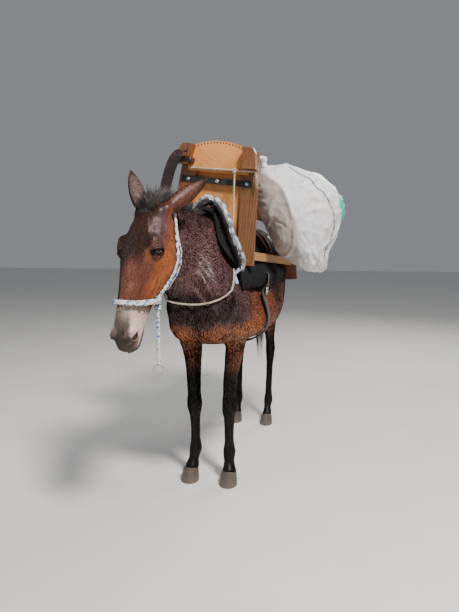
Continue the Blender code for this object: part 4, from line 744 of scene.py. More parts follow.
def add_strokes(mesh):
    points, normals = points_of(mesh), normals_of(mesh)
    count = 0
    for table, frame_of in ((FACE_STROKES, on_head), (BODY_STROKES, on_body)):
        for route, half_width, height in table.values():
            for side_route in on_both_sides(route, frame_of):
                share = 0.5 if abs(route[0][0]) < 1e-6 else 1.0
                stroked(points, normals, side_route, half_width, height * share)
                count += 1
    for route, half_width, height in FACE_MIDDLE_STROKES.values():
        stroked(points, normals, [on_head(*p) for p in route], half_width, height)
        count += 1
    for k in range(RIB_COUNT):
        y = RIB_START + RIB_STEP * k
        route = [(0.245, y, 1.2), (0.262, y + 0.035, 1.05), (0.235, y + 0.055, 0.9)]
        for side_route in on_both_sides(route, on_body):
            stroked(points, normals, side_route, 0.013, 0.0016)
            count += 1
    give_points(mesh, points)
    print("strokes:", count)


def coat_depth(points):
    """How deep the coat is: 4 mm on the body, less down the legs, 1 mm on the face and ears."""
    face = soft((points - SEAM_POINT) @ SEAM_NORMAL, 0.02, 0.14)
    depth = BODY_COAT - LEG_COAT_LESS * (1 - soft(points[:, 2], 0.15, 0.75))
    return depth * (1 - face) + FACE_COAT * face


def pull_in(mesh):
    points, normals = points_of(mesh), normals_of(mesh)
    give_points(mesh, points - normals * coat_depth(points)[:, None])


add_strokes(skin_mesh)
pull_in(skin_mesh)
print("skin reaches", points_of(skin_mesh).min(0).round(3), points_of(skin_mesh).max(0).round(3))

# %% [markdown]
# ## Lids, nostrils and the line of the mouth
# Voxels can't make a crisp lid. So the skin round each eye is cut out and a patch of rings is sewn in:
# the outer ring lies on the skin, the rings between carry the folds, and the inner ones roll over the
# margin of the lid and tuck in behind the ball. The nostrils are sewn in the same way, with rings that
# go deep. The mouth is only a groove between two lips, pressed in after the faces there are made finer.

# %% Sewing a patch of rings into the skin
PATCH_COUNT = 72
PATCH_REACH = 0.06


def patch_frame(side, place, look, along, up_hint):
    """The centre and the three directions of a patch: along it, up it, and out of it."""
    look = Vector((side * look[0], look[1], look[2])).normalized()
    along = Vector((side * along[0], along[1], along[2]))
    along = (along - look * along.dot(look)).normalized()
    up = look.cross(along)
    if up.dot(Vector((side * up_hint[0], up_hint[1], up_hint[2]))) < 0:
        up = -up
    axes = HEAD_AXES @ Matrix((along, up, look)).transposed()
    return np.array(on_head_side(place, side)), np.array(axes)


def eye_patch(side):
    return patch_frame(side, EYE_PLACE, EYE_LOOK, EYE_ALONG, (0, -0.8, 0.5))


def height_over(tree, centre, axes, a, b):
    """How far the skin stands out along the patch's own outward direction, at (a, b)."""
    start = centre + axes @ np.array((a, b, PATCH_REACH))
    hit = tree.ray_cast(Vector(start), -Vector(axes[:, 2]), 2 * PATCH_REACH)[0]
    return 0.0 if hit is None else float((np.array(hit) - centre) @ axes[:, 2])


def sew_patch(shape, centre, axes, reach, rings):
    """Cuts an ellipse out of the skin and fills it with rings of (a, b, c) places and a last cap."""
    local = {v: (np.array(v.co) - centre) @ axes for v in shape.verts
             if all(abs(v.co[i] - centre[i]) < PATCH_REACH for i in range(3))}
    inside = {v for v, (a, b, c) in local.items()
              if (a / reach[0])**2 + (b / reach[1])**2 < 1 and c > -0.022}
    faces = [f for f in shape.faces if all(v in inside for v in f.verts)]
    bmesh.ops.delete(shape, geom=faces, context="FACES")
    bmesh.ops.delete(shape, geom=[v for v in inside if v.is_valid and not v.link_faces], context="VERTS")
    loops = [[shape.verts.new(centre + axes @ np.array(p)) for p in ring] for ring in rings]
    count = len(rings[0])
    for outer, inner in zip(loops[:-1], loops[1:]):
        for k in range(count):
            m = (k + 1) % count
            shape.faces.new((outer[k], outer[m], inner[m], inner[k]))
    shape.faces.new(loops[-1])
    open_edges = [e for e in shape.edges if e.is_boundary]
    made = bmesh.ops.bridge_loops(shape, edges=open_edges)
    bmesh.ops.triangulate(shape, faces=made["faces"])
    return len(faces)


# %% The lids
LID = 0.003
SLIT_HALF_LENGTH = 0.0218
SLIT_UP, SLIT_DOWN = 0.0116, 0.0088
EYE_REACH = (0.036, 0.032)
EYE_ALONG = (0.0, 0.42, 0.9)
# Folds of the lids: height, how far they lie from the margin, and half width
UPPER_FOLDS = [(-0.0022, 0.006, 0.0013), (0.0012, 0.0085, 0.0018), (-0.0016, 0.0115, 0.0013),
               (0.001, 0.014, 0.0018), (-0.001, 0.0168, 0.0014)]
LOWER_FOLDS = [(-0.0012, 0.0058, 0.0013), (0.0008, 0.0085, 0.002), (-0.0007, 0.012, 0.0016)]
TUCKS = [(0.985, LID * 0.93), (0.955, LID * 0.62), (0.935, LID * 0.25), (0.95, -0.0012), (1.0, -0.006)]


def slit_point(turn):
    """The outline of the opening: two arcs, the upper one fullest toward the nose."""
    a, b = math.cos(turn), math.sin(turn)
    lift = SLIT_UP * (1 + 0.18 * a) if b > 0 else SLIT_DOWN * (1 - 0.1 * a)
    return a * SLIT_HALF_LENGTH, math.copysign(abs(b) ** 1.15, b) * lift


def lid_rings(tree, centre, axes):
    """Rings from the skin round the eye to the margin of the lids, and behind the ball."""
    ball = EYE_RADIUS + LID
    steps = 20
    rings = []
    for i in range(steps + 1):
        share = i / steps
        ring = []
        for k in range(PATCH_COUNT):
            turn = 2 * math.pi * k / PATCH_COUNT
            a0, b0 = 0.95 * EYE_REACH[0] * math.cos(turn), 0.95 * EYE_REACH[1] * math.sin(turn)
            a1, b1 = slit_point(turn)
            ease = 1 - (1 - share) ** 1.5
            a, b = a0 + (a1 - a0) * ease, b0 + (b1 - b0) * ease
            skin = height_over(tree, centre, axes, a, b)
            flat = min(0.999, (a * a + b * b) / ball**2)
            over = ball * math.sqrt(1 - flat)
            blend = 0.003 + 0.0035 * float(soft(np.array(math.sin(turn)), -0.2, 0.6))
            gap = (over - skin) / blend
            c = skin + blend * math.log1p(math.exp(min(20, gap)))
            gone = math.hypot(a - a1, b - b1)
            upper = soft(np.array(math.sin(turn)), -0.05, 0.45)
            lower = soft(np.array(-math.sin(turn)), 0.05, 0.5)
            for on, folds in ((upper, UPPER_FOLDS), (lower, LOWER_FOLDS)):
                for height, off, wide in folds:
                    c += on * height * math.exp(-((gone - off) / wide)**2)
            fade = 1 - soft(np.array(1 - share), 0.8, 1.0)
            c = skin + (c - skin) * float(fade)
            ring.append((a, b, c))
        rings.append(ring)
    for scale, out in TUCKS:
        ring = []
        for k in range(PATCH_COUNT):
            a, b = slit_point(2 * math.pi * k / PATCH_COUNT)
            a, b = a * scale, b * scale
            radius = EYE_RADIUS + out
            ring.append((a, b, math.sqrt(max(1e-6, radius**2 - a * a - b * b))))
        rings.append(ring)
    return rings


# %% The nostrils
NOSTRIL_PLACE = (0.054, 0.541, -0.04)
NOSTRIL_LOOK = (0.86, 0.26, 0.44)
NOSTRIL_ALONG = (0.1, 0.82, 0.5)
NOSTRIL_REACH = (0.034, 0.0225)
NOSTRIL_HALF_LENGTH, NOSTRIL_HALF_WIDTH = 0.022, 0.0086
NOSTRIL_TUCKS = [(0.95, 0.001), (0.88, 0.0045), (0.84, 0.01), (0.78, 0.016), (0.6, 0.023), (0.3, 0.027)]


def nostril_point(turn):
    """A comma: wide and round at its lower front end, narrow at its upper rear end."""
    a, b = math.cos(turn), math.sin(turn)
    wide = NOSTRIL_HALF_WIDTH * (0.62 + 0.48 * (a + 1) / 2)
    hook = 0.004 * ((1 - a) / 2)**2
    return a * NOSTRIL_HALF_LENGTH, b * wide + hook


def nostril_rings(tree, centre, axes):
    steps = 14
    rings = []
    for i in range(steps + 1):
        share = i / steps
        ring = []
        for k in range(PATCH_COUNT):
            turn = 2 * math.pi * k / PATCH_COUNT
            a0, b0 = 0.95 * NOSTRIL_REACH[0] * math.cos(turn), 0.95 * NOSTRIL_REACH[1] * math.sin(turn)
            a1, b1 = nostril_point(turn)
            a, b = a0 + (a1 - a0) * share, b0 + (b1 - b0) * share
            skin = height_over(tree, centre, axes, a, b)
            gone = math.hypot(a - a1, b - b1)
            rim = 0.0032 * (1.0 + 0.35 * math.sin(turn))
            lift = rim * math.exp(-((gone - 0.0022) / 0.004)**2)
            lift -= 0.001 * math.exp(-((gone - 0.0105) / 0.0026)**2)
            ring.append((a, b, skin + lift * float(soft(np.array(share), 0.0, 0.25))))
        rings.append(ring)
    middle = height_over(tree, centre, axes, 0, 0)
    for scale, deep in NOSTRIL_TUCKS:
        ring = []
        for k in range(PATCH_COUNT):
            a, b = nostril_point(2 * math.pi * k / PATCH_COUNT)
            skin = height_over(tree, centre, axes, a, b) if deep < 0.005 else middle
            ring.append((a * scale, b * scale - 0.25 * deep, skin - deep))
        rings.append(ring)
    return rings


# %% The mouth
MOUTH_CORNER_S = 0.492
MOUTH_LINE_N = -0.0855


def mouth_line(s):
    """The height of the line between the lips: it drops a little toward its corners."""
    return MOUTH_LINE_N - 0.012 * soft(0.545 - s, 0.0, 0.06)


def press_mouth(shape):
    for width in (0.0075, 0.005):
        wanted = []
        for e in shape.edges:
            middle = (e.verts[0].co + e.verts[1].co) / 2
            if abs(middle.x - POLL.x) > 0.3 or middle.z > 1.1 or middle.y > -0.8:
                continue
            _, s, n = in_head([middle])[0]
            if s > MOUTH_CORNER_S - 0.008 and abs(n - mouth_line(s)) < width:
                wanted.append(e)
        bmesh.ops.subdivide_edges(shape, edges=wanted, cuts=1, use_grid_fill=True)
    shape.normal_update()
    near = [v for v in shape.verts if v.co.z < 1.1 and v.co.y < -0.8]
    local = in_head([v.co for v in near])
    inside = soft(local[:, 1], MOUTH_CORNER_S - 0.004, MOUTH_CORNER_S + 0.006)
    off = local[:, 2] - mouth_line(local[:, 1])
    groove = -0.005 * np.exp(-(off / 0.0017)**2)
    lips = 0.0016 * np.exp(-((off - 0.0065) / 0.0042)**2) + 0.0013 * np.exp(-((off + 0.006) / 0.0036)**2)
    for v, step in zip(near, (groove + lips) * inside):
        v.co += v.normal * step


def open_the_face(mesh):
    shape = bmesh.new()
    shape.from_mesh(mesh)
    press_mouth(shape)
    tree = BVHTree.FromBMesh(shape)
    for side in (1, -1):
        centre, axes = eye_patch(side)
        cut = sew_patch(shape, centre, axes, EYE_REACH, lid_rings(tree, centre, axes))
        centre, axes = patch_frame(side, NOSTRIL_PLACE, NOSTRIL_LOOK, NOSTRIL_ALONG, (-0.5, 0, 0.8))
        cut += sew_patch(shape, centre, axes, NOSTRIL_REACH, nostril_rings(tree, centre, axes))
        print("patches on side", side, "took the place of", cut, "faces")
    bmesh.ops.triangulate(shape, faces=[f for f in shape.faces if len(f.verts) > 4])
    bmesh.ops.recalc_face_normals(shape, faces=shape.faces[:])
    shape.to_mesh(mesh)
    shape.free()


open_the_face(skin_mesh)
print("skin:", len(skin_mesh.polygons), "faces")

# %% [markdown]
# ## The markings of a bay
# A bay has a brown body, black legs and a dark mane and tail. This one is dark over the neck and
# forehead, orange on the cheeks and low on the breast, and pale round the muzzle. The colours could be
# painted or looked up in masks of nodes. Here a function gives the colour of any place on the hide,
# so that the skin and every tuft of the coat that grows there read the same markings.

# %% Colours of the hide
# Partly painted reflection: the neck's dark brown is tinted purple for the sky's sheen on the coat
NECK_BROWN_SKY_TINT = (0.104, 0.054, 0.058)
BODY_BROWN = (0.115, 0.045, 0.026)
DARK_BROWN = (0.02, 0.011, 0.01)
BLACK = (0.004, 0.0032, 0.0034)
BAY = (0.24, 0.07, 0.024)
CHESTNUT = (0.215, 0.062, 0.022)
ORANGE = (0.4, 0.118, 0.034)
TAN = (0.3, 0.115, 0.038)
MEALY = (0.64, 0.5, 0.42)
# Painted highlight colour, for the brow and the bridge of the nose
PAINTED_ROSE_HIGHLIGHT = (0.23, 0.085, 0.062)
NOSE_BROWN = (0.085, 0.03, 0.021)
GREY_BROWN = (0.15, 0.094, 0.085)
LIP_GREY = (0.022, 0.014, 0.012)
EAR_RUST = (0.12, 0.048, 0.032)


def ripple(points, size, seed):
    """An uneven value from -1 to 1 that changes over about this size, the same each run."""
    draw = np.random.default_rng(seed)
    total = np.zeros(len(points))
    for k in range(7):
        way = draw.normal(size=3)
        way *= draw.uniform(0.7, 1.5) / np.linalg.norm(way)
        total += np.sin(points @ way * (2 * math.pi / size) + draw.uniform(0, 6.28))
    return total / 3.5


def painted(colours, colour, share):
    return colours + (np.array(colour) - colours) * np.clip(share, 0, 1)[:, None]


def body_colours(points):
    x, y, z = in_body(points).T
    wave = ripple(points, 0.11, 1) * 0.5 + ripple(points, 0.045, 2) * 0.3
    colours = np.tile(np.array(BODY_BROWN), (len(points), 1))
    front = 1 - soft(y, -0.25, 0.25)
    # Partly painted reflection: the neck and the front of the body take the sky-tinted brown
    colours = painted(colours, NECK_BROWN_SKY_TINT, front * 0.9)
    colours = painted(colours, DARK_BROWN, soft(z + 0.02 * wave, 1.33, 1.46) * 0.65)
    colours = painted(colours, BAY, (1 - soft(z + 0.05 * wave, 0.86, 1.12)) * soft(y, -0.2, 0.1) * 0.75)
    belly = (1 - soft(z + 0.015 * wave, 0.75, 0.84)) * soft(y, -0.25, 0.0) * (1 - soft(y, 0.62, 0.72))
    colours = painted(colours, MEALY, belly * 0.45)
    groin = blob(points, on_body(0.0, 0.72, 0.86), (0.12, 0.14, 0.16), 0.5)
    colours = painted(colours, TAN, groin * 0.7)
    flank = blob(np.abs(in_body(points)), (0.22, 0.62, 0.92), (0.09, 0.13, 0.15), 0.6)
    colours = painted(colours, TAN, flank * 0.45)
    # The breast is orange below, with a band of painted shade above it, and the forearms are brown
    low_front = (1 - soft(z + 0.02 * wave, 0.865, 0.945)) * (1 - soft(y, -0.05, 0.12))
    colours = painted(colours, ORANGE, low_front * 0.72)
    colours = painted(colours, TAN, low_front * soft(0.875 - z, 0.0, 0.1) * 0.5)
    # Painted shade: a dark band across the front of the breast, where it lies in shade
    shade = (1 - soft(np.abs(z - 0.99 + 0.02 * wave), 0.04, 0.12)) * (1 - soft(y, -0.36, -0.16))
    colours = painted(colours, DARK_BROWN, shade * 0.92)
    # Painted shade: darker down the groove in the middle of the breast
    middle = (1 - soft(np.abs(x), 0.012, 0.045)) * (1 - soft(y, -0.33, -0.28)) * (1 - soft(z, 0.95, 1.05))
    colours = painted(colours, DARK_BROWN, middle * 0.45)
    forearm = (1 - soft(z + 0.02 * wave, 0.74, 0.86)) * (1 - soft(y, -0.02, 0.12))
    colours = painted(colours, (0.15, 0.052, 0.018), forearm * 0.8)
    # The legs go black from above the knee and from the hock down
    fore = (1 - soft(y, 0.15, 0.4))
    hock = 0.66 * (1 - fore) + 0.625 * fore
    rear_edge = 0.05 * fore * soft(y + 0.09, 0.0, 0.05)
    legs = 1 - soft(z + 0.022 * wave - rear_edge, hock - 0.045, hock + 0.055)
    colours = painted(colours, DARK_BROWN, (1 - soft(z + 0.03 * wave, hock, hock + 0.14)) * 0.55)
    colours = painted(colours, BLACK, legs * 0.99)
    # Crest and the line down the back
    crest = 1 - soft(np.abs(x), 0.01, 0.03)
    colours = painted(colours, BLACK, crest * soft(z, 1.36, 1.4) * soft(y, 0.0, 0.2) * 0.6)
    return colours


def head_colours(points, colours):
    local = in_head(points)
    x, s, n = local.T
    wave = ripple(points, 0.05, 3) * 0.6 + ripple(points, 0.018, 4) * 0.35
    wide = np.abs(x)
    on = soft((points - SEAM_POINT) @ SEAM_NORMAL, 0.07, 0.15)
    base = np.tile(np.array(CHESTNUT), (len(points), 1)) * (1 + 0.1 * wave)[:, None]
    cheek = blob(local, (0, 0.2, -0.12), (0.2, 0.16, 0.1), 0.6)
    base = painted(base, ORANGE, cheek * (0.45 + 0.2 * wave))
    # Dark forehead, from the poll to below the eyes, with a point down the nose
    streak = ripple(local * (2.6, 0.45, 2.6), 0.05, 6)
    bridge = soft(s, 0.19, 0.25) * (1 - soft(s, 0.37, 0.43)) * soft(n + 0.004 * wave, -0.06, -0.01)
    base = painted(base, NOSE_BROWN, bridge * (0.8 + 0.15 * streak))
    reach = 0.275 - 0.085 * soft(wide, 0.03, 0.08) + 0.02 * streak
    forehead = (1 - soft(s, reach - 0.035, reach + 0.045)) * soft(n + 0.01 * streak, -0.064, -0.022)
    base = painted(base, DARK_BROWN, forehead * 0.93)
    inside = np.stack([wide, s, n], 1)
    # Partly painted reflection: the temple takes the neck's sky-tinted brown for the sheen on it
    temple = blob(inside, (0.08, 0.085, -0.03), (0.035, 0.085, 0.045), 0.6)
    base = painted(base, NECK_BROWN_SKY_TINT, temple * 0.7)
    # Painted highlight: a rose patch on the ridge of the brow
    brow = blob(inside, (0.092, 0.16, 0.0), (0.022, 0.022, 0.02), 0.6)
    base = painted(base, PAINTED_ROSE_HIGHLIGHT, brow * 0.35)
    # A painted rose highlight down the bridge of the nose, and painted shade on the face's right side
    shine = blob(local, (0.016, 0.315, 0.03), (0.03, 0.075, 0.05), 0.7)
    base = painted(base, PAINTED_ROSE_HIGHLIGHT, shine * (0.65 + 0.4 * streak))
    # Painted shade: the right side of the face is darker
    right = soft(-x, 0.025, 0.06) * soft(n, -0.08, -0.02)
    base = painted(base, DARK_BROWN, right * 0.55)
    # Painted shade: the underside of the jaw is darker
    under_jaw_painted_shade = (1 - soft(n + 0.01 * wave, -0.225, -0.17)) * (1 - soft(s, 0.3, 0.4))
    base = painted(base, DARK_BROWN, under_jaw_painted_shade * 0.5)
    nose = soft(s + 0.012 * wave, 0.37, 0.43)
    base = painted(base, DARK_BROWN, nose * soft(n, -0.05, -0.01) * (1 - soft(s, 0.4, 0.45)) * 0.4)
    mealy = soft(s + 0.016 * wave, 0.395, 0.45)
    base = painted(base, MEALY, mealy * 0.95)
    tip = soft(s + 0.45 * n + 0.012 * streak, 0.508, 0.56)
    top = soft(s + 0.01 * wave, 0.43, 0.5) * soft(n + 0.01 * wave, -0.045, -0.005)
    top *= 1 - soft(wide, 0.034, 0.052)
    base = painted(base, DARK_BROWN, top * 0.82)
    base = painted(base, LIP_GREY, tip * 0.93)
    chin = soft(s, 0.5, 0.53) * (1 - soft(n, -0.118, -0.104))
    base = painted(base, GREY_BROWN, chin * 0.55)
    lips = soft(s, MOUTH_CORNER_S - 0.01, MOUTH_CORNER_S + 0.01)
    lips *= 1 - soft(np.abs(n - mouth_line(s)), 0.006, 0.016)
    base = painted(base, LIP_GREY, lips * 0.85)
    nostril = blob(inside, NOSTRIL_PLACE, (0.016, 0.02, 0.015), 0.5)
    base = painted(base, BLACK, nostril * 0.85)
    ball = np.linalg.norm(inside - np.array(EYE_PLACE), axis=1)
    for side in (1, -1):
        centre, axes = eye_patch(side)
        a, b, c = ((points - centre) @ axes).T
        oval = np.sqrt((a / (SLIT_HALF_LENGTH + 0.014))**2 + (b / (SLIT_UP + 0.008))**2)
        base = painted(base, BLACK, (1 - soft(oval, 0.8, 1.1)) * soft(c, -0.015, -0.005) * 0.96)
        # Painted highlight: paler over the folds of the upper lid
        folds = (1 - soft(oval, 1.1, 1.9)) * soft(b, 0.006, 0.014) * soft(c, 0.0, 0.008)
        base = painted(base, GREY_BROWN, folds * 0.5)
    base = painted(base, BLACK, (1 - soft(ball, EYE_RADIUS + 0.0005, EYE_RADIUS + 0.002)) * 0.98)
    return colours + (base - colours) * on[:, None]


def ear_colours(points, colours):
    """Rust on the left ear and grey on the right, both with a black rim and a dark tip."""
    for side in (1, -1):
        along, across, mouth = (np.array(v) for v in ear_axes(side))
        from_base = points - np.array(on_head(*EAR_BASE[side]))
        share = from_base @ along / EAR_LENGTH
        off = np.linalg.norm(from_base - (from_base @ along)[:, None] * along, axis=1)
        on = soft(share, 0.05, 0.16) * (1 - soft(off, 0.075, 0.085))
        out = from_base @ mouth
        side_way = np.abs(from_base @ across)
        half = np.interp(share, [r[0] for r in EAR_STATIONS], [r[1] for r in EAR_STATIONS])
        coat = EAR_RUST if side > 0 else GREY_BROWN
        made = np.tile(np.array(coat), (len(points), 1)) * (1 + 0.15 * ripple(points, 0.03, 5))[:, None]
        rim = soft(side_way / np.maximum(half, 1e-3), 0.8, 0.97) * soft(out, -0.012, 0.004)
        tip = soft(share, 0.7, 0.93)
        made = painted(made, BLACK, np.maximum(rim * 0.9, tip * (0.9 if side > 0 else 0.55)))
        inner = soft(out, -0.012, 0.0) * (1 - rim)
        made = painted(made, GREY_BROWN if side > 0 else DARK_BROWN, inner * 0.35)
        colours = colours + (made - colours) * on[:, None]
    return colours


def markings(points):
    """The colour of the hide at each place, as linear red, green and blue."""
    points = np.asarray(points, float)
    found = ear_colours(points, head_colours(points, body_colours(points)))
    return np.clip(found, 0.002, 1)


def give_markings(mesh, colours):
    made = mesh.color_attributes.new("markings", "FLOAT_COLOR", "POINT")
    rows = np.ones((len(mesh.vertices), 4), np.float32)
    rows[:, :3] = colours
    made.data.foreach_set("color", rows.ravel())


# %% [markdown]
# ## The finish of the hide
# Short hair gives a soft gloss. The shader reads the markings and breaks them up with noise at the size
# of a hand and of a finger, and with fine streaks. On the skin a slight bump stands for hairs too short
# to model. The tufts of the coat take the same finish without the bump.

# %% Hide and coat
def hide_finish(name, fine, roughness, bump=0.55):
    finish = new_finish(name, roughness=roughness, Specular_IOR_Level=0.26)
    marks = carried(finish)
    broad = noise(finish, 9.0, 4.0, 0.6)
    small = noise(finish, 55.0, 3.0, 0.6)
    grain = noise(finish, 40.0, 4.0, 0.7, stretch=(14, 3, 9), turn=(0.3, 0, 0))
    value = sums(finish, "ADD", ranged(finish, broad, 0.3, 0.7, 0.82, 1.18),
                 ranged(finish, small, 0.3, 0.7, -0.6 * fine, 0.6 * fine))
    value = sums(finish, "ADD", value, ranged(finish, grain, 0.3, 0.7, -fine, fine))
    tone = add_node(finish, "HueSaturation", Color=marks, Value=value).outputs["Color"]
    set_shader(finish, "Base Color", tone)
    set_shader(finish, "Roughness", ranged(finish, broad, 0.3, 0.7, roughness - 0.06, roughness + 0.08))
    relief = sums(finish, "ADD", sums(finish, "MULTIPLY", grain, 0.7), sums(finish, "MULTIPLY", small, 0.5))
    if bump > 0:
        bumped(finish, relief, 0.0012, bump)
    return finish


skin_finish = hide_finish("bay_hide_skin", 0.06, 0.44, bump=0.12)
skin = bpy.data.objects.new("skin", skin_mesh)
hide_colours = markings(points_of(skin_mesh))
give_markings(skin_mesh, hide_colours)
dressed(skin, skin_finish, FLESH)
print("skin colours from", hide_colours.min(0).round(3), "up")

# %% [markdown]
# ## Ropes have strands
# A smooth tube reads as a hose, so every rope is built from its strands. A plait carries three strands
# from side to side in a figure of eight, and a laid rope winds them round its middle. Both follow a
# centre line: for the ropes that lie on the head and body the line is read from the frame's own tubes,
# by averaging their points at even steps of an angle or a length.

# %% Centre lines and strands
def node_points(name):
    return points_of(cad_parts[name].data)


def centre_line(name, key, count, spread, closed=False, trim=0.0):
    """The middle of a tube of the frame at even steps of key, a value that grows along it."""
    points = node_points(name)
    values = key(points)
    if closed:
        wanted = np.linspace(-math.pi, math.pi, count, endpoint=False)
        gap = (values[None, :] - wanted[:, None] + math.pi) % (2 * math.pi) - math.pi
    else:
        wanted = np.linspace(values.min() + trim, values.max() - trim, count)
        gap = values[None, :] - wanted[:, None]
    weight = np.exp(-(gap / spread)**2)
    return weight @ points / weight.sum(1)[:, None]


def strand_tube(line, radius, sides=7, closed=False, first=None):
    """A round tube on a line, closed on itself or with flat ends."""
    line = np.array(line, float)
    _, side, up = frames_along(line, closed, first)
    radius = np.broadcast_to(np.asarray(radius, float), (len(line),))
    rings = []
    for here, a, b, size in zip(line, side, up, radius):
        rings.append([here + size * (a * math.cos(t) + b * math.sin(t))
                      for t in np.linspace(0, 2 * math.pi, sides, endpoint=False)])
    if closed:
        points, faces = loft(rings + [rings[0]], closed_ends=False)
        last = len(rings) * sides
        points = points[:last]
        faces = [tuple(i - last if i >= last else i for i in face) for face in faces]
        return points, faces
    return loft(rings)


def even_steps(line, step, closed=False):
    """The line again, with points a step apart."""
    line = np.array(line, float)
    if closed:
        line = np.vstack([line, line[:1]])
    lengths = np.r_[0, np.cumsum(np.linalg.norm(np.diff(line, axis=0), axis=1))]
    count = max(8, int(round(lengths[-1] / step)))
    wanted = np.linspace(0, lengths[-1], count + (0 if closed else 1), endpoint=not closed)
    return np.stack([np.interp(wanted, lengths, line[:, i]) for i in range(3)], 1), lengths[-1]


def rope_shapes(line, width, height, pitch, strands=3, plaited=True, thickness=None, closed=False,
                out=None):
    """The strands of a rope round its line; out is the way that its flat side faces, one for each point."""
    line, length = even_steps(line, pitch / 14, closed)
    along, side, up = frames_along(line, closed)
    if out is not None:
        wanted = np.array([out(p) for p in line])
        up = wanted - along * np.sum(wanted * along, axis=1)[:, None]
        up /= np.linalg.norm(up, axis=1)[:, None]
        side = np.cross(up, along)
    turns = max(1, round(length / pitch))
    phase = np.linspace(0, 2 * math.pi * turns, len(line), endpoint=not closed)
    thick = thickness or width / 3.4
    shapes = []
    for k in range(strands):
        turn = phase + 2 * math.pi * k / strands
        sway, bob = (np.sin(turn), np.sin(2 * turn)) if plaited else (np.cos(turn), np.sin(turn))
        across, over = (width / 2 - thick) * sway, (height / 2 - thick) * bob
        strand = line + side * across[:, None] + up * over[:, None]
        shapes.append(strand_tube(strand, thick, 7, closed))
    return shapes


# %% [markdown]
# ## Rope finishes
# The halter is of white cord with blue flecks woven in, the cheek cord on the right is green, and the
# pack ropes are tan. One recipe makes all three: fine diagonal fibres as bump, dirt in broad patches,
# and flecks read from a value that the strand's mesh carries.

# %% Rope finishes
def rope_finish(name, colour, dirt, fleck=None):
    finish = new_finish(name, roughness=0.82, Sheen_Weight=0.15)
    fibres = noise(finish, 900.0, 2.0, stretch=(1, 1, 0.45))
    patches = noise(finish, 28.0, 4.0, 0.65)
    tone = mixed(finish, ranged(finish, patches, 0.42, 0.72, 0.0, 0.85), colour, dirt)
    tone = mixed(finish, ranged(finish, fibres, 0.3, 0.7, 0.0, 0.35), tone, dirt)
    if fleck:
        marks = carried(finish, "flecks", "Fac")
        tone = mixed(finish, ranged(finish, marks, 0.35, 0.65), tone, fleck)
    set_shader(finish, "Base Color", tone)
    bumped(finish, fibres, 0.0006, 0.8)
    return finish


WHITE_CORD, CORD_DIRT, CORD_BLUE = (0.74, 0.73, 0.7), (0.42, 0.38, 0.33), (0.03, 0.15, 0.52)
white_rope = rope_finish("white_rope_laid", WHITE_CORD, CORD_DIRT, CORD_BLUE)
green_rope = rope_finish("green_cord_laid", (0.055, 0.2, 0.165), (0.03, 0.09, 0.08))
tan_rope = rope_finish("tan_rope_laid", (0.5, 0.43, 0.34), (0.26, 0.19, 0.13))


def give_flecks(obj, share_at, seed, patch=0.016):
    """Blue patches along the strands: more of them where share_at says so."""
    points = points_of(obj.data)
    value = 0.5 + 0.5 * ripple(points, patch, seed)
    value = soft(value, 0.78 - share_at(points), 0.92 - share_at(points))
    made = obj.data.attributes.new("flecks", "FLOAT", "POINT")
    made.data.foreach_set("value", value.astype(np.float32))


# %% [markdown]
# ## The halter
# A rope halter: a thick plaited noseband, a cheek rope up each side, a thin cord behind the jowl, and the
# chin rope that ends in a steel ring. The chin rope is a free cord, built with its real length along the
# same straight drop as in the construction.

# %% Halter
NOSEBAND_MIDDLE_N = -0.06


def noseband_angle(points):
    x, _, n = in_head(points).T
    return np.arctan2(n - NOSEBAND_MIDDLE_N, x)


def from_head_middle(p):
    x, _, n = in_head([p])[0]
    return np.array(HEAD_AXES @ Vector((x, 0, n - NOSEBAND_MIDDLE_N)))


def down_the_face(points):
    return in_head(points)[:, 1]


def laid_rope(name, line, width, pitch, thickness, finish, slot, stands_for):
    """A piece of three strands wound round a line."""
    shapes = rope_shapes(line, width, width, pitch, plaited=False, thickness=thickness)
    return new_piece(name, *joined_shapes(shapes), finish, slot, stands_for)


def add_halter():
    line = centre_line("halter_noseband", noseband_angle, 88, 0.11, closed=True)
    shapes = rope_shapes(line, 0.0225, 0.015, 0.046, closed=True, thickness=0.0052, out=from_head_middle)
    band = new_piece("halter_noseband_plait", *joined_shapes(shapes), white_rope, "white_rope",
                     ["halter_noseband"])
    give_flecks(band, lambda p: 0.12 + 0.55 * soft(-in_head(p)[:, 0], 0.0, 0.05), 21)
    for word, side, finish, slot in (("left", 1, white_rope, "white_rope"),
                                     ("right", -1, green_rope, "green_cord")):
        name = f"halter_cheek_{word}"
        line = centre_line(name, down_the_face, 60, 0.008)
        out = np.array(HEAD_AXES @ Vector((side, 0, 0)))
        shapes = rope_shapes(line, 0.0158, 0.0092, 0.034, thickness=0.0034, out=lambda p: out)
        rope = new_piece(f"{name}_plait", *joined_shapes(shapes), finish, slot, [name])
        if side > 0:
            give_flecks(rope, lambda p: np.full(len(p), 0.1), 22)
    middle = node_points("halter_throat_cord").mean(0)
    axis = np.array(HEAD_AXES @ Vector((1, 0, 0)))

    def round_throat(points):
        away = points - middle
        return -((np.arctan2(away[:, 2], away @ axis) + math.radians(300)) % (2 * math.pi))

    line = centre_line("halter_throat_cord", round_throat, 90, 0.07, trim=0.02)
    thin = laid_rope("halter_throat_laid", line, 0.0066, 0.016, 0.0019, white_rope, "white_rope",
                     ["halter_throat_cord"])
    give_flecks(thin, lambda p: np.full(len(p), 0.08), 23)
    print("noseband", len(band.data.polygons), "faces, throat cord", len(thin.data.polygons))


CHIN_ROPE_TOP = (-0.19283, -0.87166, 1.02402)
CHIN_ROPE_LENGTH = 0.235
CHIN_ROPE_RADIUS = 0.0085
chin_route = [(*CHIN_ROPE_TOP[:2], CHIN_ROPE_TOP[2] - CHIN_ROPE_LENGTH * k / 15) for k in range(16)]


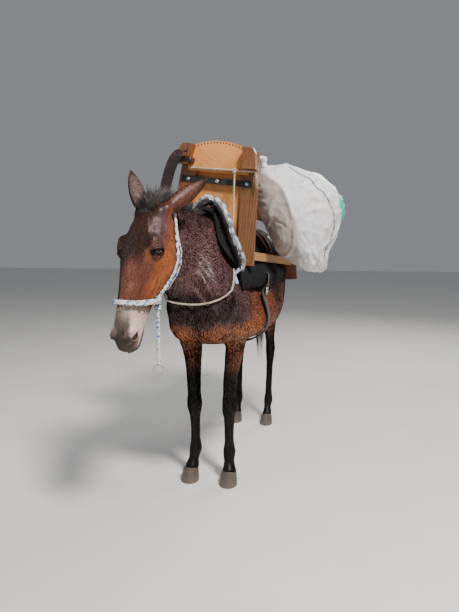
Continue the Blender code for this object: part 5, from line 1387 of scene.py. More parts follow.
def add_chin_rope():
    rope = laid_rope("halter_chin_laid", chin_route, 2 * CHIN_ROPE_RADIUS, 0.03, 0.0046, white_rope,
                     "white_rope", ["halter_chin_rope"])
    give_flecks(rope, lambda p: np.full(len(p), 0.12), 24)


add_halter()
add_chin_rope()

# %% [markdown]
# ## Metal
# The ring and the bolts are steel with a dull grain and a little rust, the cap on the hanging rope is
# brass, and the strap over the front of the saddle is painted iron whose paint has worn at its edges.

# %% Metal finishes
def metal_finish(name, colour, worn, roughness, metallic, wear=0.5):
    finish = new_finish(name, colour, roughness, metallic)
    spots = noise(finish, 70.0, 6.0, 0.7)
    scratches = noise(finish, 30.0, 5.0, 0.7, stretch=(1, 6, 9))
    share = ranged(finish, spots, 0.62 - 0.12 * wear, 0.72)
    set_shader(finish, "Base Color", mixed(finish, share, colour, worn))
    set_shader(finish, "Roughness", ranged(finish, scratches, 0.3, 0.7, roughness - 0.08, roughness + 0.16))
    bumped(finish, scratches, 0.0003, 0.5)
    return finish


steel = metal_finish("steel_dull", (0.6, 0.58, 0.54), (0.22, 0.13, 0.08), 0.34, 1.0)
brass = metal_finish("brass_worn", (0.62, 0.42, 0.17), (0.2, 0.12, 0.05), 0.32, 1.0)
iron = metal_finish("iron_painted", (0.022, 0.026, 0.025), (0.13, 0.11, 0.09), 0.42, 0.35, 0.2)
refinish(["halter_ring", "front_bolt_1", "front_bolt_2", "front_bolt_3"], steel)
refinish(["rope_end_cap"], brass)
refinish(["front_iron_strap"], iron)
soften_edges(["front_iron_strap"], 0.0012)
for name in ("halter_ring", "rope_end_cap"):
    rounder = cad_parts[name].modifiers.new("round", "SUBSURF")
    rounder.levels = rounder.render_levels = 2 if name == "halter_ring" else 1
    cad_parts[name].data.shade_smooth()

# %% [markdown]
# ## The saddle's frame and its wood
# The saddle leans with the mule's back, so places on it have their own frame: a to its left, deep to
# its rear, b up, measured from the middle of the iron strap. The boards are varnished softwood. Their
# grain is bands of growth rings, drawn out along each board and bent by noise, with fine dark pores.
# The boards' shapes are right in the frame: they only get this finish and a fine bevel.

# %% Saddle frame and wood
STRAP_CENTRE = Vector((-0.004, -0.02, 1.645)) + ORIGIN_STEP
SADDLE_ROLL, SADDLE_TURN = math.radians(7.5), math.radians(4.5)
SADDLE_AXES = Matrix.Rotation(-SADDLE_TURN, 3, "Z") @ Matrix.Rotation(SADDLE_ROLL, 3, "Y")


def on_saddle(a, deep, b):
    return STRAP_CENTRE + SADDLE_AXES @ Vector((a, deep, b))


def wood_finish(name, light, dark, grain_turn=0.0, across="x", shine=0.42):
    """Grain that runs up the saddle, or turned by an angle in its front plane, or along the mule."""
    finish = new_finish(name, light, shine, Coat_Weight=0.1, Coat_Roughness=0.25)
    where = add_node(finish, "TexCoord").outputs["Object"]
    straight = add_node(finish, "Mapping", Vector=where,
                        Rotation=(0, -SADDLE_ROLL + grain_turn, SADDLE_TURN)).outputs["Vector"]
    stretch = {"x": (1.0, 1.0, 0.06), "y": (1.0, 0.06, 1.0)}[across]
    rings = add_node(finish, "Mapping", Vector=straight, Scale=stretch).outputs["Vector"]
    bend = add_node(finish, "TexNoise", Vector=rings, Scale=5.0, Detail=3.0, Distortion=0.3).outputs["Fac"]
    years = bands(finish, "X" if across == "x" else "Z", rings, Scale=26.0, Distortion=9.0, Detail=3.0,
                  Detail_Scale=1.2)
    pores = add_node(finish, "TexNoise", Vector=rings, Scale=420.0, Detail=2.0,
                     Roughness=0.6).outputs["Fac"]
    broad = add_node(finish, "TexNoise", Vector=straight, Scale=4.0, Detail=3.0).outputs["Fac"]
    share = sums(finish, "ADD", sums(finish, "MULTIPLY", years, 0.55), sums(finish, "MULTIPLY", bend, 0.5))
    tone = mixed(finish, ranged(finish, share, 0.25, 0.95), light, dark)
    tone = mixed(finish, ranged(finish, pores, 0.52, 0.75, 0.0, 0.55), tone, tuple(0.45 * v for v in dark))
    worn = tuple(min(1.0, 1.35 * v + 0.03) for v in light)
    tone = mixed(finish, ranged(finish, broad, 0.5, 0.72, 0.0, 0.45), tone, worn)
    set_shader(finish, "Base Color", tone)
    set_shader(finish, "Roughness", ranged(finish, pores, 0.3, 0.7, shine - 0.06, shine + 0.14))
    relief = sums(finish, "ADD", sums(finish, "MULTIPLY", pores, 0.6), sums(finish, "MULTIPLY", years, 0.4))
    bumped(finish, relief, 0.0007, 0.55)
    return finish


panel_wood = wood_finish("honey_panel", (0.66, 0.27, 0.075), (0.44, 0.165, 0.046),
                         grain_turn=math.radians(58))
# Painted shade: the planks' honey wood is painted much darker, as if in shade
plank_wood_painted_shade = wood_finish("honey_plank_painted_shade", (0.215, 0.092, 0.036), (0.095, 0.036, 0.014))
horn_wood = wood_finish("honey_horn", (0.2, 0.072, 0.022), (0.09, 0.03, 0.011))
rail_wood = wood_finish("honey_rail", (0.4, 0.2, 0.085), (0.22, 0.098, 0.04), across="y")
rear_wood = wood_finish("red_brown_board", (0.15, 0.042, 0.022), (0.062, 0.018, 0.011))
refinish(["front_top_panel", "front_back_board"], panel_wood)
refinish(["front_plank_left", "front_plank_right"], plank_wood_painted_shade)
refinish(["front_horn_left", "front_horn_right"], horn_wood)
rails = [f"rail_{level}_{side}" for level in ("lower", "upper") for side in ("left", "right")]
refinish(rails, rail_wood)
refinish(["rear_plank_left", "rear_plank_right", "rear_panel"], rear_wood)
boards = ["front_top_panel", "front_back_board", "front_plank_left", "front_plank_right",
          "rear_plank_left", "rear_plank_right", "rear_panel"]
soften_edges(boards + rails, 0.0025)
soften_edges(["front_horn_left", "front_horn_right"], 0.0045, 3)
print("boards:", len(boards + rails) + 2)

# %% [markdown]
# ## The ropes of the pack
# A thin rope crosses the breast, and another is lashed across the saddle's front and ends in a frayed
# tassel. From its middle hangs a short rope with a brass cap: that one is a free cord, built straight along
# its length. It could be simulated, but a rope this short and weighted hangs straight.

# %% Pack ropes
BREAST_MIDDLE = np.array((-0.01, -0.13, 0)) + np.array(ORIGIN_STEP)
HANG_TOP, HANG_END = (-0.021252, -0.225323, 1.688799), (-0.027252, -0.237323, 1.378798)
HANG_RADIUS = 0.0048
lash_route = [on_saddle(-0.155 + 0.37 * k / 6, -0.0286, 0.058 + 0.006 * k / 6) for k in range(7)]


def frayed(top, count, length, spread, seed):
    """Loose yarns that fall from a rope's end, each a thin bent tube."""
    draw = np.random.default_rng(seed)
    shapes = []
    for _ in range(count):
        away = draw.normal(size=3) * spread
        fall = length * draw.uniform(0.55, 1.0)
        route = [np.array(top), top + away * 0.7 + (0.004, -0.002, -0.2 * fall),
                 top + away * 1.3 + (0.007, -0.002, -0.6 * fall), top + away * 1.2 + (0.005, 0.0, -fall)]
        shapes.append(strand_tube(smooth_line(route, 14), np.linspace(0.0014, 0.0006, 14), 5))
    return shapes


def ring_round(centre, axis, radius, wire, turns=1.0, rise=0.0, count=40):
    """A turn of rope round something, as a ring or a short coil."""
    axis = np.array(axis) / np.linalg.norm(axis)
    side = np.cross(axis, (0.2, 0.9, 0.4))
    side /= np.linalg.norm(side)
    up = np.cross(axis, side)
    line = [centre + radius * (side * math.cos(t) + up * math.sin(t)) + axis * rise * t / (2 * math.pi)
            for t in np.linspace(0, 2 * math.pi * turns, count)]
    return strand_tube(line, wire, 8)


def round_breast(points):
    return np.arctan2(points[:, 1] - BREAST_MIDDLE[1], points[:, 0] - BREAST_MIDDLE[0])


def add_pack_ropes():
    line = centre_line("breast_rope", round_breast, 90, 0.05, trim=0.02)
    laid_rope("breast_rope_laid", line, 0.0098, 0.022, 0.0028, tan_rope, "tan_rope", ["breast_rope"])
    end = np.array(lash_route[-1])
    shapes = rope_shapes(lash_route, 0.0112, 0.0112, 0.026, plaited=False, thickness=0.0032)
    shapes += [ring_round(end + (-0.004, 0, 0), (1, 0, 0), 0.0052, 0.0026, 2.0, 0.005)]
    shapes += frayed(end + (0.002, -0.002, -0.004), 16, 0.085, 0.0055, 31)
    new_piece("lash_rope_laid", *joined_shapes(shapes), tan_rope, "tan_rope", ["lash_rope_front"])
    route = [np.array(HANG_TOP) + (np.array(HANG_END) - HANG_TOP) * k / 15 for k in range(16)]
    rope = laid_rope("hanging_rope_laid", route, 2 * HANG_RADIUS, 0.021, 0.0027, tan_rope, "tan_rope",
                     ["hanging_rope"])
    along = np.array(lash_route[-1] - lash_route[0])
    hitch = [ring_round(np.array(HANG_TOP) + step, along, 0.0092, 0.003, 1.0)
             for step in ((-0.005, 0.0, 0.004), (0.004, 0.0, 0.004))]
    hitch.append(ring_round(np.array(HANG_TOP) - (0, 0.004, 0.01), (0, 0, 1), 0.006, 0.0032, 1.6, 0.006))
    knot = new_piece("hanging_rope_hitch", *joined_shapes(hitch), tan_rope, "tan_rope")


def add_halter_knots():
    """The thick knot where the cheek rope meets the noseband, and the one under the chin."""
    shapes = []
    low = centre_line("halter_cheek_left", down_the_face, 60, 0.008)[-1]
    x, s, n = in_head([low])[0]
    for turn in range(3):
        centre = on_head(x + 0.003, s + 0.002 + 0.008 * turn, n + 0.004)
        across = HEAD_AXES @ Vector((0.1, 1, 0.25))
        shapes.append(ring_round(np.array(centre), across, 0.0098, 0.0048, 1.05, 0.004))
    top = np.array(CHIN_ROPE_TOP)
    for turn in range(2):
        centre = top + (0, 0, 0.003 + 0.009 * turn)
        shapes.append(ring_round(centre, (0.1, 0.05, 1), 0.0098, 0.005, 1.05, 0.004))
    knots = new_piece("halter_knots", *joined_shapes(shapes), white_rope, "white_rope")
    give_flecks(knots, lambda p: np.full(len(p), 0.2), 25)


add_pack_ropes()
add_halter_knots()

# %% [markdown]
# ## Tacks along the panel
# The rounded panel at the saddle's top is nailed to its backing by a row of small square tacks. Each
# is a low pyramid, set a few millimetres inside the curved edge.

# %% Tacks
PANEL_HALF, PANEL_SHOULDER, PANEL_APEX = 0.172, 0.17, 0.208
TACK_CORNERS = [(-0.0033, -0.0033), (0.0033, -0.0033), (0.0033, 0.0033), (-0.0033, 0.0033)]
tack_finish = metal_finish("tack_iron", (0.05, 0.042, 0.036), (0.16, 0.08, 0.04), 0.5, 0.8)


def add_tacks(count=19):
    shapes = []
    for k in range(count):
        a = (PANEL_HALF - 0.012) * (2 * k / (count - 1) - 1)
        b = PANEL_SHOULDER + (PANEL_APEX - PANEL_SHOULDER) * (1 - (a / PANEL_HALF)**2) - 0.009
        shapes.append(loft([[on_saddle(a + size * i, deep, b + size * j) for i, j in TACK_CORNERS]
                            for size, deep in ((1, -0.0221), (0.6, -0.0246))]))
    new_piece("panel_tacks", *joined_shapes(shapes), tack_finish, "black_iron", smooth=False)


add_tacks()

# %% [markdown]
# ## Cloth with air in it
# The sack, the roll and the pad are soft. A smooth solid looks like plastic, so each is remeshed from
# its solid and gets creases. The sack and the roll then go through a short cloth simulation with a
# little air pressure, gravity off, which finds folds that no one would draw. Each point may only move a
# few millimetres, so the form stays the size it was built.

# %% Soft pieces
def soft_piece(node, name, voxel, rounds, finish):
    mesh = remeshed(gathered([node]), voxel)
    give_points(mesh, even_out(points_of(mesh), edges_of(mesh), rounds))
    mesh.name = name
    obj = bpy.data.objects.new(name, mesh)
    return dressed(obj, finish, [node])


def settled(obj, pressure, shrink, cap, moments=14, bending=0.35):
    """Lets cloth with air inside find its folds, and keeps each point within cap of where it began."""
    before = points_of(obj.data)
    cloth = obj.modifiers.new("cloth", "CLOTH")
    rules = cloth.settings
    rules.quality = 4
    rules.mass = 0.15
    rules.tension_stiffness = rules.compression_stiffness = 14
    rules.shear_stiffness = 6
    rules.bending_stiffness = bending
    rules.use_pressure = True
    rules.uniform_pressure_force = pressure
    rules.shrink_min = shrink
    rules.effector_weights.gravity = 0
    cloth.collision_settings.use_collision = False
    for moment in range(1, moments + 1):
        bpy.context.scene.frame_set(moment)
    graph = bpy.context.evaluated_depsgraph_get()
    after = points_of(obj.evaluated_get(graph).data)
    obj.modifiers.remove(cloth)
    bpy.context.scene.frame_set(1)
    move = after - before
    far = np.linalg.norm(move, axis=1)[:, None]
    give_points(obj.data, before + move * np.minimum(1, cap / np.maximum(far, 1e-9)))
    print(obj.name, "moved by up to", round(float(min(far.max(), cap)) * 1000, 1), "mm")


def raised(mesh, lift_at):
    """Raises each point along its normal by what a function of the points says."""
    points, normals = points_of(mesh), normals_of(mesh)
    give_points(mesh, points + normals * lift_at(points)[:, None])


def creases(points, size, seed):
    """Sharp crests like those of crumpled sheet, from 0 to 1, about size apart."""
    return np.maximum(0, 1 - 3.2 * np.abs(ripple(points, size, seed)))


def crease_line(mesh, route, half_width, height):
    """Raises or presses a sharp line along a route on a mesh."""
    raised(mesh, lambda points: height * np.exp(-line_distance(points, route) / half_width))


# %% [markdown]
# ## The sack
# The load is a woven plastic sack, white, full, tied at the top and sewn shut along its mouth. Woven
# plastic is stiff: it makes sharp creases with flat fields between them. The big crease and the folds
# at the lower corner are laid where they lie on the real one, small crumples come from noise, and the
# simulation tightens them. The weave is bump, two sets of fine bands across each other.

# %% Sack finish
def woven_finish(name, roughness=0.46):
    finish = new_finish(name, (0.8, 0.8, 0.8), roughness, Subsurface_Weight=0.0, Sheen_Weight=0.1)
    tint = carried(finish)
    tapes = []
    for turn in ((0, 0, 0), (0, math.pi / 2, 0)):
        where = places(finish, turn=turn)
        tapes.append(bands(finish, "Z", where, Scale=130.0, Distortion=0.25, Detail=1.0))
    weave = sums(finish, "MULTIPLY", tapes[0], tapes[1])
    dust = noise(finish, 9.0, 5.0, 0.7)
    tone = mixed(finish, ranged(finish, dust, 0.5, 0.75, 0.0, 0.3), tint, (0.48, 0.42, 0.36))
    tone = mixed(finish, ranged(finish, weave, 0.0, 0.8, 0.16, 0.0), tone, (0.35, 0.34, 0.36))
    set_shader(finish, "Base Color", tone)
    crumple = noise(finish, 55.0, 3.0, 0.6)
    bumped(finish, sums(finish, "ADD", sums(finish, "MULTIPLY", weave, 0.35), crumple), 0.0011, 0.7)
    return finish


sack_finish = woven_finish("woven_plastic_white")
SACK_MIDDLE = np.array((0.3, 0.1, 1.47))
SACK_CREASE = [(0.118, -0.06, 1.7), (0.149, -0.075, 1.659), (0.194, -0.095, 1.633), (0.223, -0.103, 1.592),
               (0.246, -0.11, 1.543), (0.263, -0.11, 1.495), (0.272, -0.11, 1.455)]
SACK_FOLDS = [
    ([(0.148, -0.075, 1.435), (0.18, -0.095, 1.428), (0.208, -0.103, 1.417), (0.225, -0.105, 1.4)], 0.006,
     -0.009),
    ([(0.329, -0.107, 1.356), (0.361, -0.094, 1.303), (0.376, -0.075, 1.249), (0.396, -0.05, 1.211),
      (0.413, 0.021, 1.164)], 0.01, -0.014),
    ([(0.431, -0.052, 1.352), (0.411, -0.055, 1.314), (0.42, -0.017, 1.265), (0.424, 0.013, 1.21)], 0.009,
     0.011),
    ([(0.3, -0.1, 1.29), (0.336, -0.06, 1.225), (0.381, 0.012, 1.17)], 0.01, 0.01),
    ([(0.4, -0.064, 1.607), (0.36, -0.09, 1.56), (0.33, -0.105, 1.5)], 0.012, -0.008),
    ([(0.34, -0.06, 1.68), (0.3, -0.09, 1.64), (0.262, -0.1, 1.6)], 0.01, -0.007),
    ([(0.15, -0.04, 1.5), (0.17, -0.075, 1.38), (0.23, -0.085, 1.29)], 0.016, 0.006),
    ([(0.48, 0.3, 1.56), (0.46, 0.31, 1.42), (0.42, 0.3, 1.3)], 0.014, -0.012),
    ([(0.3, 0.33, 1.62), (0.34, 0.34, 1.5), (0.4, 0.32, 1.38)], 0.014, 0.01),
    ([(0.25, 0.12, 1.74), (0.33, 0.18, 1.715), (0.42, 0.24, 1.64)], 0.014, -0.01),
]
SEAM_ROUTE = [(0.24, -0.035, 1.742), (0.3, -0.05, 1.7), (0.36, -0.062, 1.655), (0.4, -0.064, 1.607),
              (0.427, -0.061, 1.585), (0.454, -0.054, 1.548), (0.47, -0.037, 1.507), (0.48, -0.015, 1.46),
              (0.485, 0.015, 1.419), (0.479, 0.032, 1.381), (0.464, 0.033, 1.343), (0.445, 0.045, 1.29),
              (0.43, 0.055, 1.23), (0.418, 0.06, 1.17)]


def sack_lift(points):
    """The crumples of the sack: broad ones, finer ones toward its edges, and small ones all over."""
    far = np.linalg.norm((points - SACK_MIDDLE) / (0.2, 0.23, 0.3), axis=1)
    share = soft(far, 0.72, 1.15)
    lift = 0.0095 * creases(points, 0.3, 41) + 0.0036 * creases(points, 0.15, 42) * (0.3 + share)
    return lift + (0.001 * creases(points, 0.07, 43) + 0.004 * ripple(points, 0.22, 44) - 0.004)


def add_sack():
    sack = soft_piece("sack", "sack_woven", 0.0068, 22, sack_finish)
    mesh = sack.data
    points = points_of(mesh)
    x, y, z = points.T
    points[:, 0] -= 0.045 * (soft(z, 1.38, 1.5) * (1 - soft(x, 0.1, 0.27)) * (1 - soft(y, 0.02, 0.2)))
    give_points(mesh, points)
    raised(mesh, sack_lift)
    crease_line(mesh, SACK_CREASE, 0.013, 0.016)
    for route, half_width, height in SACK_FOLDS:
        crease_line(mesh, route, half_width, height)
    crease_line(mesh, SEAM_ROUTE, 0.006, -0.005)
    settled(sack, 3.0, -0.012, 0.006)
    points = points_of(mesh)
    give_points(mesh, even_out(points, edges_of(mesh), 1))
    colours = np.tile((0.72, 0.72, 0.75), (len(points), 1))
    x, y, z = points.T
    # Painted shade: the field left of the big crease, toward the front, is painted a darker beige
    beside = x - np.interp(z, [1.4, 1.455, 1.495, 1.543, 1.592, 1.633, 1.659, 1.7],
                           [0.3, 0.272, 0.263, 0.246, 0.223, 0.194, 0.149, 0.1])
    shaded = (1 - soft(beside, -0.012, 0.008)) * (1 - soft(y, 0.02, 0.2))
    colours = painted(colours, (0.36, 0.29, 0.265), 0.9 * shaded)
    stains = 0.55 * soft(ripple(points, 0.11, 46), 0.3, 0.9) * (1 - soft(z, 1.22, 1.36))
    colours = painted(colours, (0.42, 0.33, 0.28), stains)
    colours = painted(colours, (0.1, 0.09, 0.1), 0.6 * np.exp(-line_distance(points, SEAM_ROUTE) / 0.004))
    give_markings(sack.data, colours)
    return sack


def on_surface(tree, route, off):
    """A route laid on a surface, a little off it."""
    laid = []
    for spot in route:
        near, normal, _, _ = tree.find_nearest(Vector(spot))
        laid.append(np.array(near + normal * off))
    return laid


def tree_of(*objects):
    points, faces = joined_shapes([([tuple(v.co) for v in o.data.vertices],
                                    [tuple(p.vertices) for p in o.data.polygons]) for o in objects])
    return BVHTree.FromPolygons(points, faces)


seam_finish = rope_finish("seam_cord_dark", (0.085, 0.07, 0.066), (0.035, 0.028, 0.026))
green_finish = new_finish("green_plastic_sheet", (0.045, 0.42, 0.3), 0.38, Coat_Weight=0.3)
bumped(green_finish, noise(green_finish, 60.0, 4.0), 0.0015, 0.9)


def add_sack_trims(sack):
    tree = tree_of(sack)
    line = np.array(on_surface(tree, smooth_line(SEAM_ROUTE, 120), 0.0012))
    line[:, 0] += 0.0016 * np.sin(np.arange(120) * 0.9)
    shapes = rope_shapes(line, 0.0044, 0.0044, 0.009, strands=2, plaited=False, thickness=0.0014)
    draw = np.random.default_rng(47)
    for k in range(4, 116, 2):
        yarn = [line[k], line[k] + draw.normal(size=3) * 0.004 + (0.002, -0.003, -0.002),
                line[k] + draw.normal(size=3) * 0.006 + (0.002, -0.004, -0.008)]
        shapes.append(strand_tube(smooth_line(yarn, 6), 0.0004, 4))
    thread = [(0.326, -0.04, 1.208), (0.327, -0.045, 1.196), (0.325, -0.046, 1.18), (0.327, -0.046, 1.165)]
    shapes.append(strand_tube(smooth_line(thread, 10), 0.0006, 5))
    new_piece("sack_seam_cord", *joined_shapes(shapes), seam_finish, "white_rope")
    patch = soft_piece("sack_patch", "sack_patch_sheet", 0.0032, 10, green_finish)
    raised(patch.data, lambda p: 0.004 * creases(p, 0.07, 48) + 0.002 * creases(p, 0.03, 49) - 0.003)
    neck = soft_piece("sack_neck", "sack_neck_gathered", 0.0024, 6, sack_finish)
    points = points_of(neck.data)
    middle = points.mean(0)
    turn = np.arctan2(points[:, 1] - middle[1], points[:, 0] - middle[0])
    wave = 1 + 0.1 * np.sin(turn * 9 + 14 * points[:, 2]) + 0.05 * np.sin(turn * 17)
    points[:, :2] = middle[:2] + (points[:, :2] - middle[:2]) * wave[:, None]
    give_points(neck.data, points)
    give_markings(neck.data, np.tile((0.74, 0.75, 0.78), (len(points), 1)))
    tie = ring_round(middle + (0, 0, -0.006), (0.1, 0.1, 1), 0.0165, 0.0022, 2.2, 0.006, 70)
    new_piece("sack_tie", *tie, tan_rope, "tan_rope")


sack = add_sack()
add_sack_trims(sack)
print("sack faces:", len(sack.data.polygons))

# %% [markdown]
# ## Pad and roll
# Under the frame lies a thick black felt pad. Its front edge is sewn round a quilted roll: shiny dark grey
# sheet on the outside, with a pale band of painted sky reflection along its top, black inside, and a row of
# pale stitches where they meet. The roll's surface is placed by two numbers at each point, how far along
# the roll it lies and how far round, and both the colours and the seam's groove are functions of those two.

# %% Pad and roll
PAD_MIDDLE = np.array((0, 0, 1.06)) + np.array(ORIGIN_STEP)
SEAM_TURN = math.radians(42)
# A stitch: how far along the seam, and how high over the sheet
STITCH = [(-0.0036, -0.001), (-0.0018, 0.0012), (0.0018, 0.0012), (0.0036, -0.001)]
sheet_finish = new_finish("quilted_sheet", (0.5, 0.5, 0.5), 0.3, Coat_Weight=0.35, Coat_Roughness=0.25)
set_shader(sheet_finish, "Base Color", carried(sheet_finish))
set_shader(sheet_finish, "Roughness", ranged(sheet_finish, noise(sheet_finish, 40.0, 4.0), 0.35, 0.7, 0.2,
                                             0.46))
bumped(sheet_finish, noise(sheet_finish, 85.0, 4.0, 0.6), 0.0016, 0.8)
felt_finish = new_finish("black_felt_pad", (0.008, 0.008, 0.009), 0.93, Specular_IOR_Level=0.2)
felt_dust = noise(felt_finish, 14.0, 6.0, 0.72)
dusted(felt_finish, felt_dust, 0.56, 0.85, 0.45, (0.008, 0.008, 0.009), (0.05, 0.042, 0.038))
bumped(felt_finish, noise(felt_finish, 420.0, 3.0, 0.7), 0.0012, 0.9)
stitch_finish = new_finish("pale_stitches", (0.46, 0.36, 0.27), 0.8)


def roll_places(points, line):
    """How far along the roll each point lies, from 0 to 1, and how far round from the front."""
    gap = ((points[:, None, :] - line[None, :, :])**2).sum(2)
    nearest = gap.argmin(1)
    along, _, _ = frames_along(line)
    out = line - PAD_MIDDLE
    out[:, 1] = 0
    out -= along * np.sum(out * along, axis=1)[:, None]
    out /= np.linalg.norm(out, axis=1)[:, None]
    front = np.cross(along, out)
    front *= np.where(front[:, 1:2] > 0, -1, 1)
    away = points - line[nearest]
    turn = np.arctan2(np.sum(away * out[nearest], axis=1), np.sum(away * front[nearest], axis=1))
    return nearest / (len(line) - 1), turn, out, front


def over_back(points):
    return np.arctan2(points[:, 2] - PAD_MIDDLE[2], points[:, 0] - PAD_MIDDLE[0])


def add_roll():
    line = centre_line("pad_roll", over_back, 80, 0.1)
    line = smooth_line(line[::4], 160)
    roll = soft_piece("pad_roll", "pad_roll_quilted", 0.0042, 14, sheet_finish)
    mesh = roll.data
    points, normals = points_of(mesh), normals_of(mesh)
    _, turn, _, _ = roll_places(points, line)
    lift = 0.0022 * creases(points, 0.09, 51) + 0.0016 * ripple(points, 0.05, 52) - 0.0012
    lift -= 0.0045 * np.exp(-((turn - SEAM_TURN) / 0.16)**2)
    lift -= 0.0025 * np.exp(-((turn - math.radians(165)) / 0.14)**2)
    give_points(mesh, points + normals * lift[:, None])
    settled(roll, 3.0, -0.03, 0.003)
    points = points_of(mesh)
    share, turn, out, front = roll_places(points, line)
    colours = np.tile((0.016, 0.015, 0.018), (len(points), 1))
    wrap = soft(turn, SEAM_TURN - 0.05, SEAM_TURN + 0.1) * (1 - soft(turn, 2.55, 2.75))
    colours = painted(colours, (0.05, 0.054, 0.068), wrap)
    # Painted reflection: a pale blue-grey band along the top of the roll's outer sheet
    band = np.exp(-((turn - 1.25) / 0.55)**2) * (0.62 + 0.5 * ripple(points, 0.05, 53))
    colours = painted(colours, (0.56, 0.57, 0.63), wrap * np.clip(band, 0, 1))
    colours = painted(colours, (0.2, 0.155, 0.125), 0.9 * wrap * (1 - soft(share, 0.0, 0.1)))
    edge = np.exp(-((turn - 2.62) / 0.07)**2)
    colours = painted(colours, (0.42, 0.33, 0.26), 0.8 * edge)
    smudge = soft(ripple(points, 0.022, 54), 0.35, 0.75) * np.exp(-((turn - SEAM_TURN - 0.35) / 0.35)**2)
    colours = painted(colours, (0.03, 0.027, 0.03), 0.8 * smudge)
    give_markings(roll.data, colours)
    tree = tree_of(roll)
    stitches = []
    for k in np.linspace(6, 152, 62):
        i = int(round(k))
        spot = line[i] + 0.05 * (front[i] * math.cos(SEAM_TURN) + out[i] * math.sin(SEAM_TURN))
        near, normal, _, _ = tree.find_nearest(Vector(spot))
        run = Vector(line[min(i + 1, 159)] - line[i - 1]).normalized()
        lean = (run + 0.5 * run.cross(normal)).normalized()
        yarn = [np.array(near + normal * h + lean * t) for t, h in STITCH]
        stitches.append(strand_tube(smooth_line(yarn, 7), 0.0009, 6))
    new_piece("pad_roll_stitches", *joined_shapes(stitches), stitch_finish, "quilted_cloth")
    return roll


def pad_lift(points):
    lift = 0.003 * ripple(points, 0.16, 55) + 0.0022 * creases(points, 0.2, 56)
    return lift + 0.0008 * ripple(points, 0.03, 57) - 0.001


def add_pad():
    pad = soft_piece("saddle_pad", "saddle_pad_felt", 0.0078, 10, felt_finish)
    raised(pad.data, pad_lift)
    return pad


roll = add_roll()
pad = add_pad()
print("roll faces:", len(roll.data.polygons), "pad faces:", len(pad.data.polygons))

# %% [markdown]
# ## Straps and leather
# A strap is a flat section swept along a route, with its edges a little rounded and turned up. The dark
# leather sling loops from under the right horn, where it is wrapped round the wood. Its surface is
# wrinkled across its length, where the leather bends. The girth is black webbing with woven ribs.

# %% Straps
def strap_shape(route, width, thickness, outs, count=60, curl=0.0, waves=0.0, seed=60):
    """A flat strap along a route; outs are the ways that its face looks, from one end to the other."""
    line = smooth_line(route, count)
    along = np.gradient(line, axis=0)
    along /= np.linalg.norm(along, axis=1)[:, None]
    outs = np.array([np.array(o, float) for o in outs])
    steps = np.linspace(0, len(outs) - 1, count)
    face = np.stack([np.interp(steps, range(len(outs)), outs[:, i]) for i in range(3)], 1)
    face -= along * np.sum(face * along, axis=1)[:, None]
    face /= np.linalg.norm(face, axis=1)[:, None]
    side = np.cross(along, face)
    draw = np.random.default_rng(seed)
    phase = draw.uniform(0, 6.28, 4)
    rings = []
    across = np.linspace(-1, 1, 15)
    for k in range(count):
        top, low = [], []
        for u in across:
            round_off = math.sqrt(max(0.0, 1 - abs(u)**6))
            wave = waves * (math.sin(k * 0.9 + 2 * u + phase[0]) + 0.6
                            * math.sin(k * 1.7 - 3 * u + phase[1]))
            middle = line[k] + side[k] * (u * width / 2) + face[k] * (curl * u * u + wave)
            half = thickness / 2 * (0.35 + 0.65 * round_off)
            top.append(middle + face[k] * half)
            low.append(middle - face[k] * half)
        rings.append(top + low[::-1])
    return loft(rings)


leather_finish = new_finish("maroon_leather", (0.03, 0.01, 0.01), 0.45, Coat_Weight=0.1,
                            Coat_Roughness=0.35)
leather_grain = noise(leather_finish, 130.0, 5.0, 0.65)
leather_wear = noise(leather_finish, 22.0, 5.0, 0.7)
dusted(leather_finish, leather_wear, 0.5, 0.8, 0.7, (0.022, 0.008, 0.009), (0.13, 0.034, 0.03))
set_shader(leather_finish, "Roughness", ranged(leather_finish, leather_grain, 0.3, 0.7, 0.3, 0.6))
bumped(leather_finish, leather_grain, 0.0012, 0.9)

SLING_PLACES = [(-0.15, -0.104, 0.135), (-0.185, -0.122, 0.118), (-0.225, -0.112, 0.06),
                (-0.262, -0.08, -0.03), (-0.285, -0.055, -0.13), (-0.29, -0.045, -0.215)]
WRAP_LOW, WRAP_HIGH = 0.082, 0.106
LASHING_ROUTES = [
    [(0.06, 0.14, 1.46), (0.07, 0.142, 1.4), (0.085, 0.146, 1.34), (0.1, 0.15, 1.29), (0.115, 0.15, 1.24)],
    [(0.05, 0.3, 1.44), (0.062, 0.29, 1.38), (0.08, 0.26, 1.33), (0.1, 0.23, 1.29), (0.118, 0.21, 1.25)],
]


def add_sling():
    route = [on_saddle(*p) for p in SLING_PLACES]
    wide = np.array(SADDLE_AXES @ Vector((0.8, 0, 0.6)))
    line = smooth_line(route, 6)
    along = np.gradient(line, axis=0)
    outs = [np.cross(wide, way) for way in along]
    shape = strap_shape(route, 0.058, 0.0042, outs, 110, curl=0.0015, waves=0.0012, seed=61)
    new_piece("sling_leather", *shape, leather_finish, "maroon_leather", ["leather_sling"])
    rings = []
    for b in np.linspace(WRAP_LOW, WRAP_HIGH, 7):
        bulge = 0.0022 + 0.002 * math.sin((b - WRAP_LOW) / (WRAP_HIGH - WRAP_LOW) * math.pi)
        bulge += 0.0007 * math.sin(b * 900)
        ring = []
        for t in np.linspace(0, 2 * math.pi, 48, endpoint=False):
            c, s = math.cos(t), math.sin(t)
            a = -0.174 + (0.036 + bulge) * math.copysign(abs(c)**0.28, c)
            deep = -0.0462 + (0.0262 + bulge) * math.copysign(abs(s)**0.28, s)
            ring.append(on_saddle(a, deep, b + 0.002 * math.sin(3 * t)))
        rings.append(ring)
    new_piece("horn_wrap", *loft(rings), leather_finish, "maroon_leather")


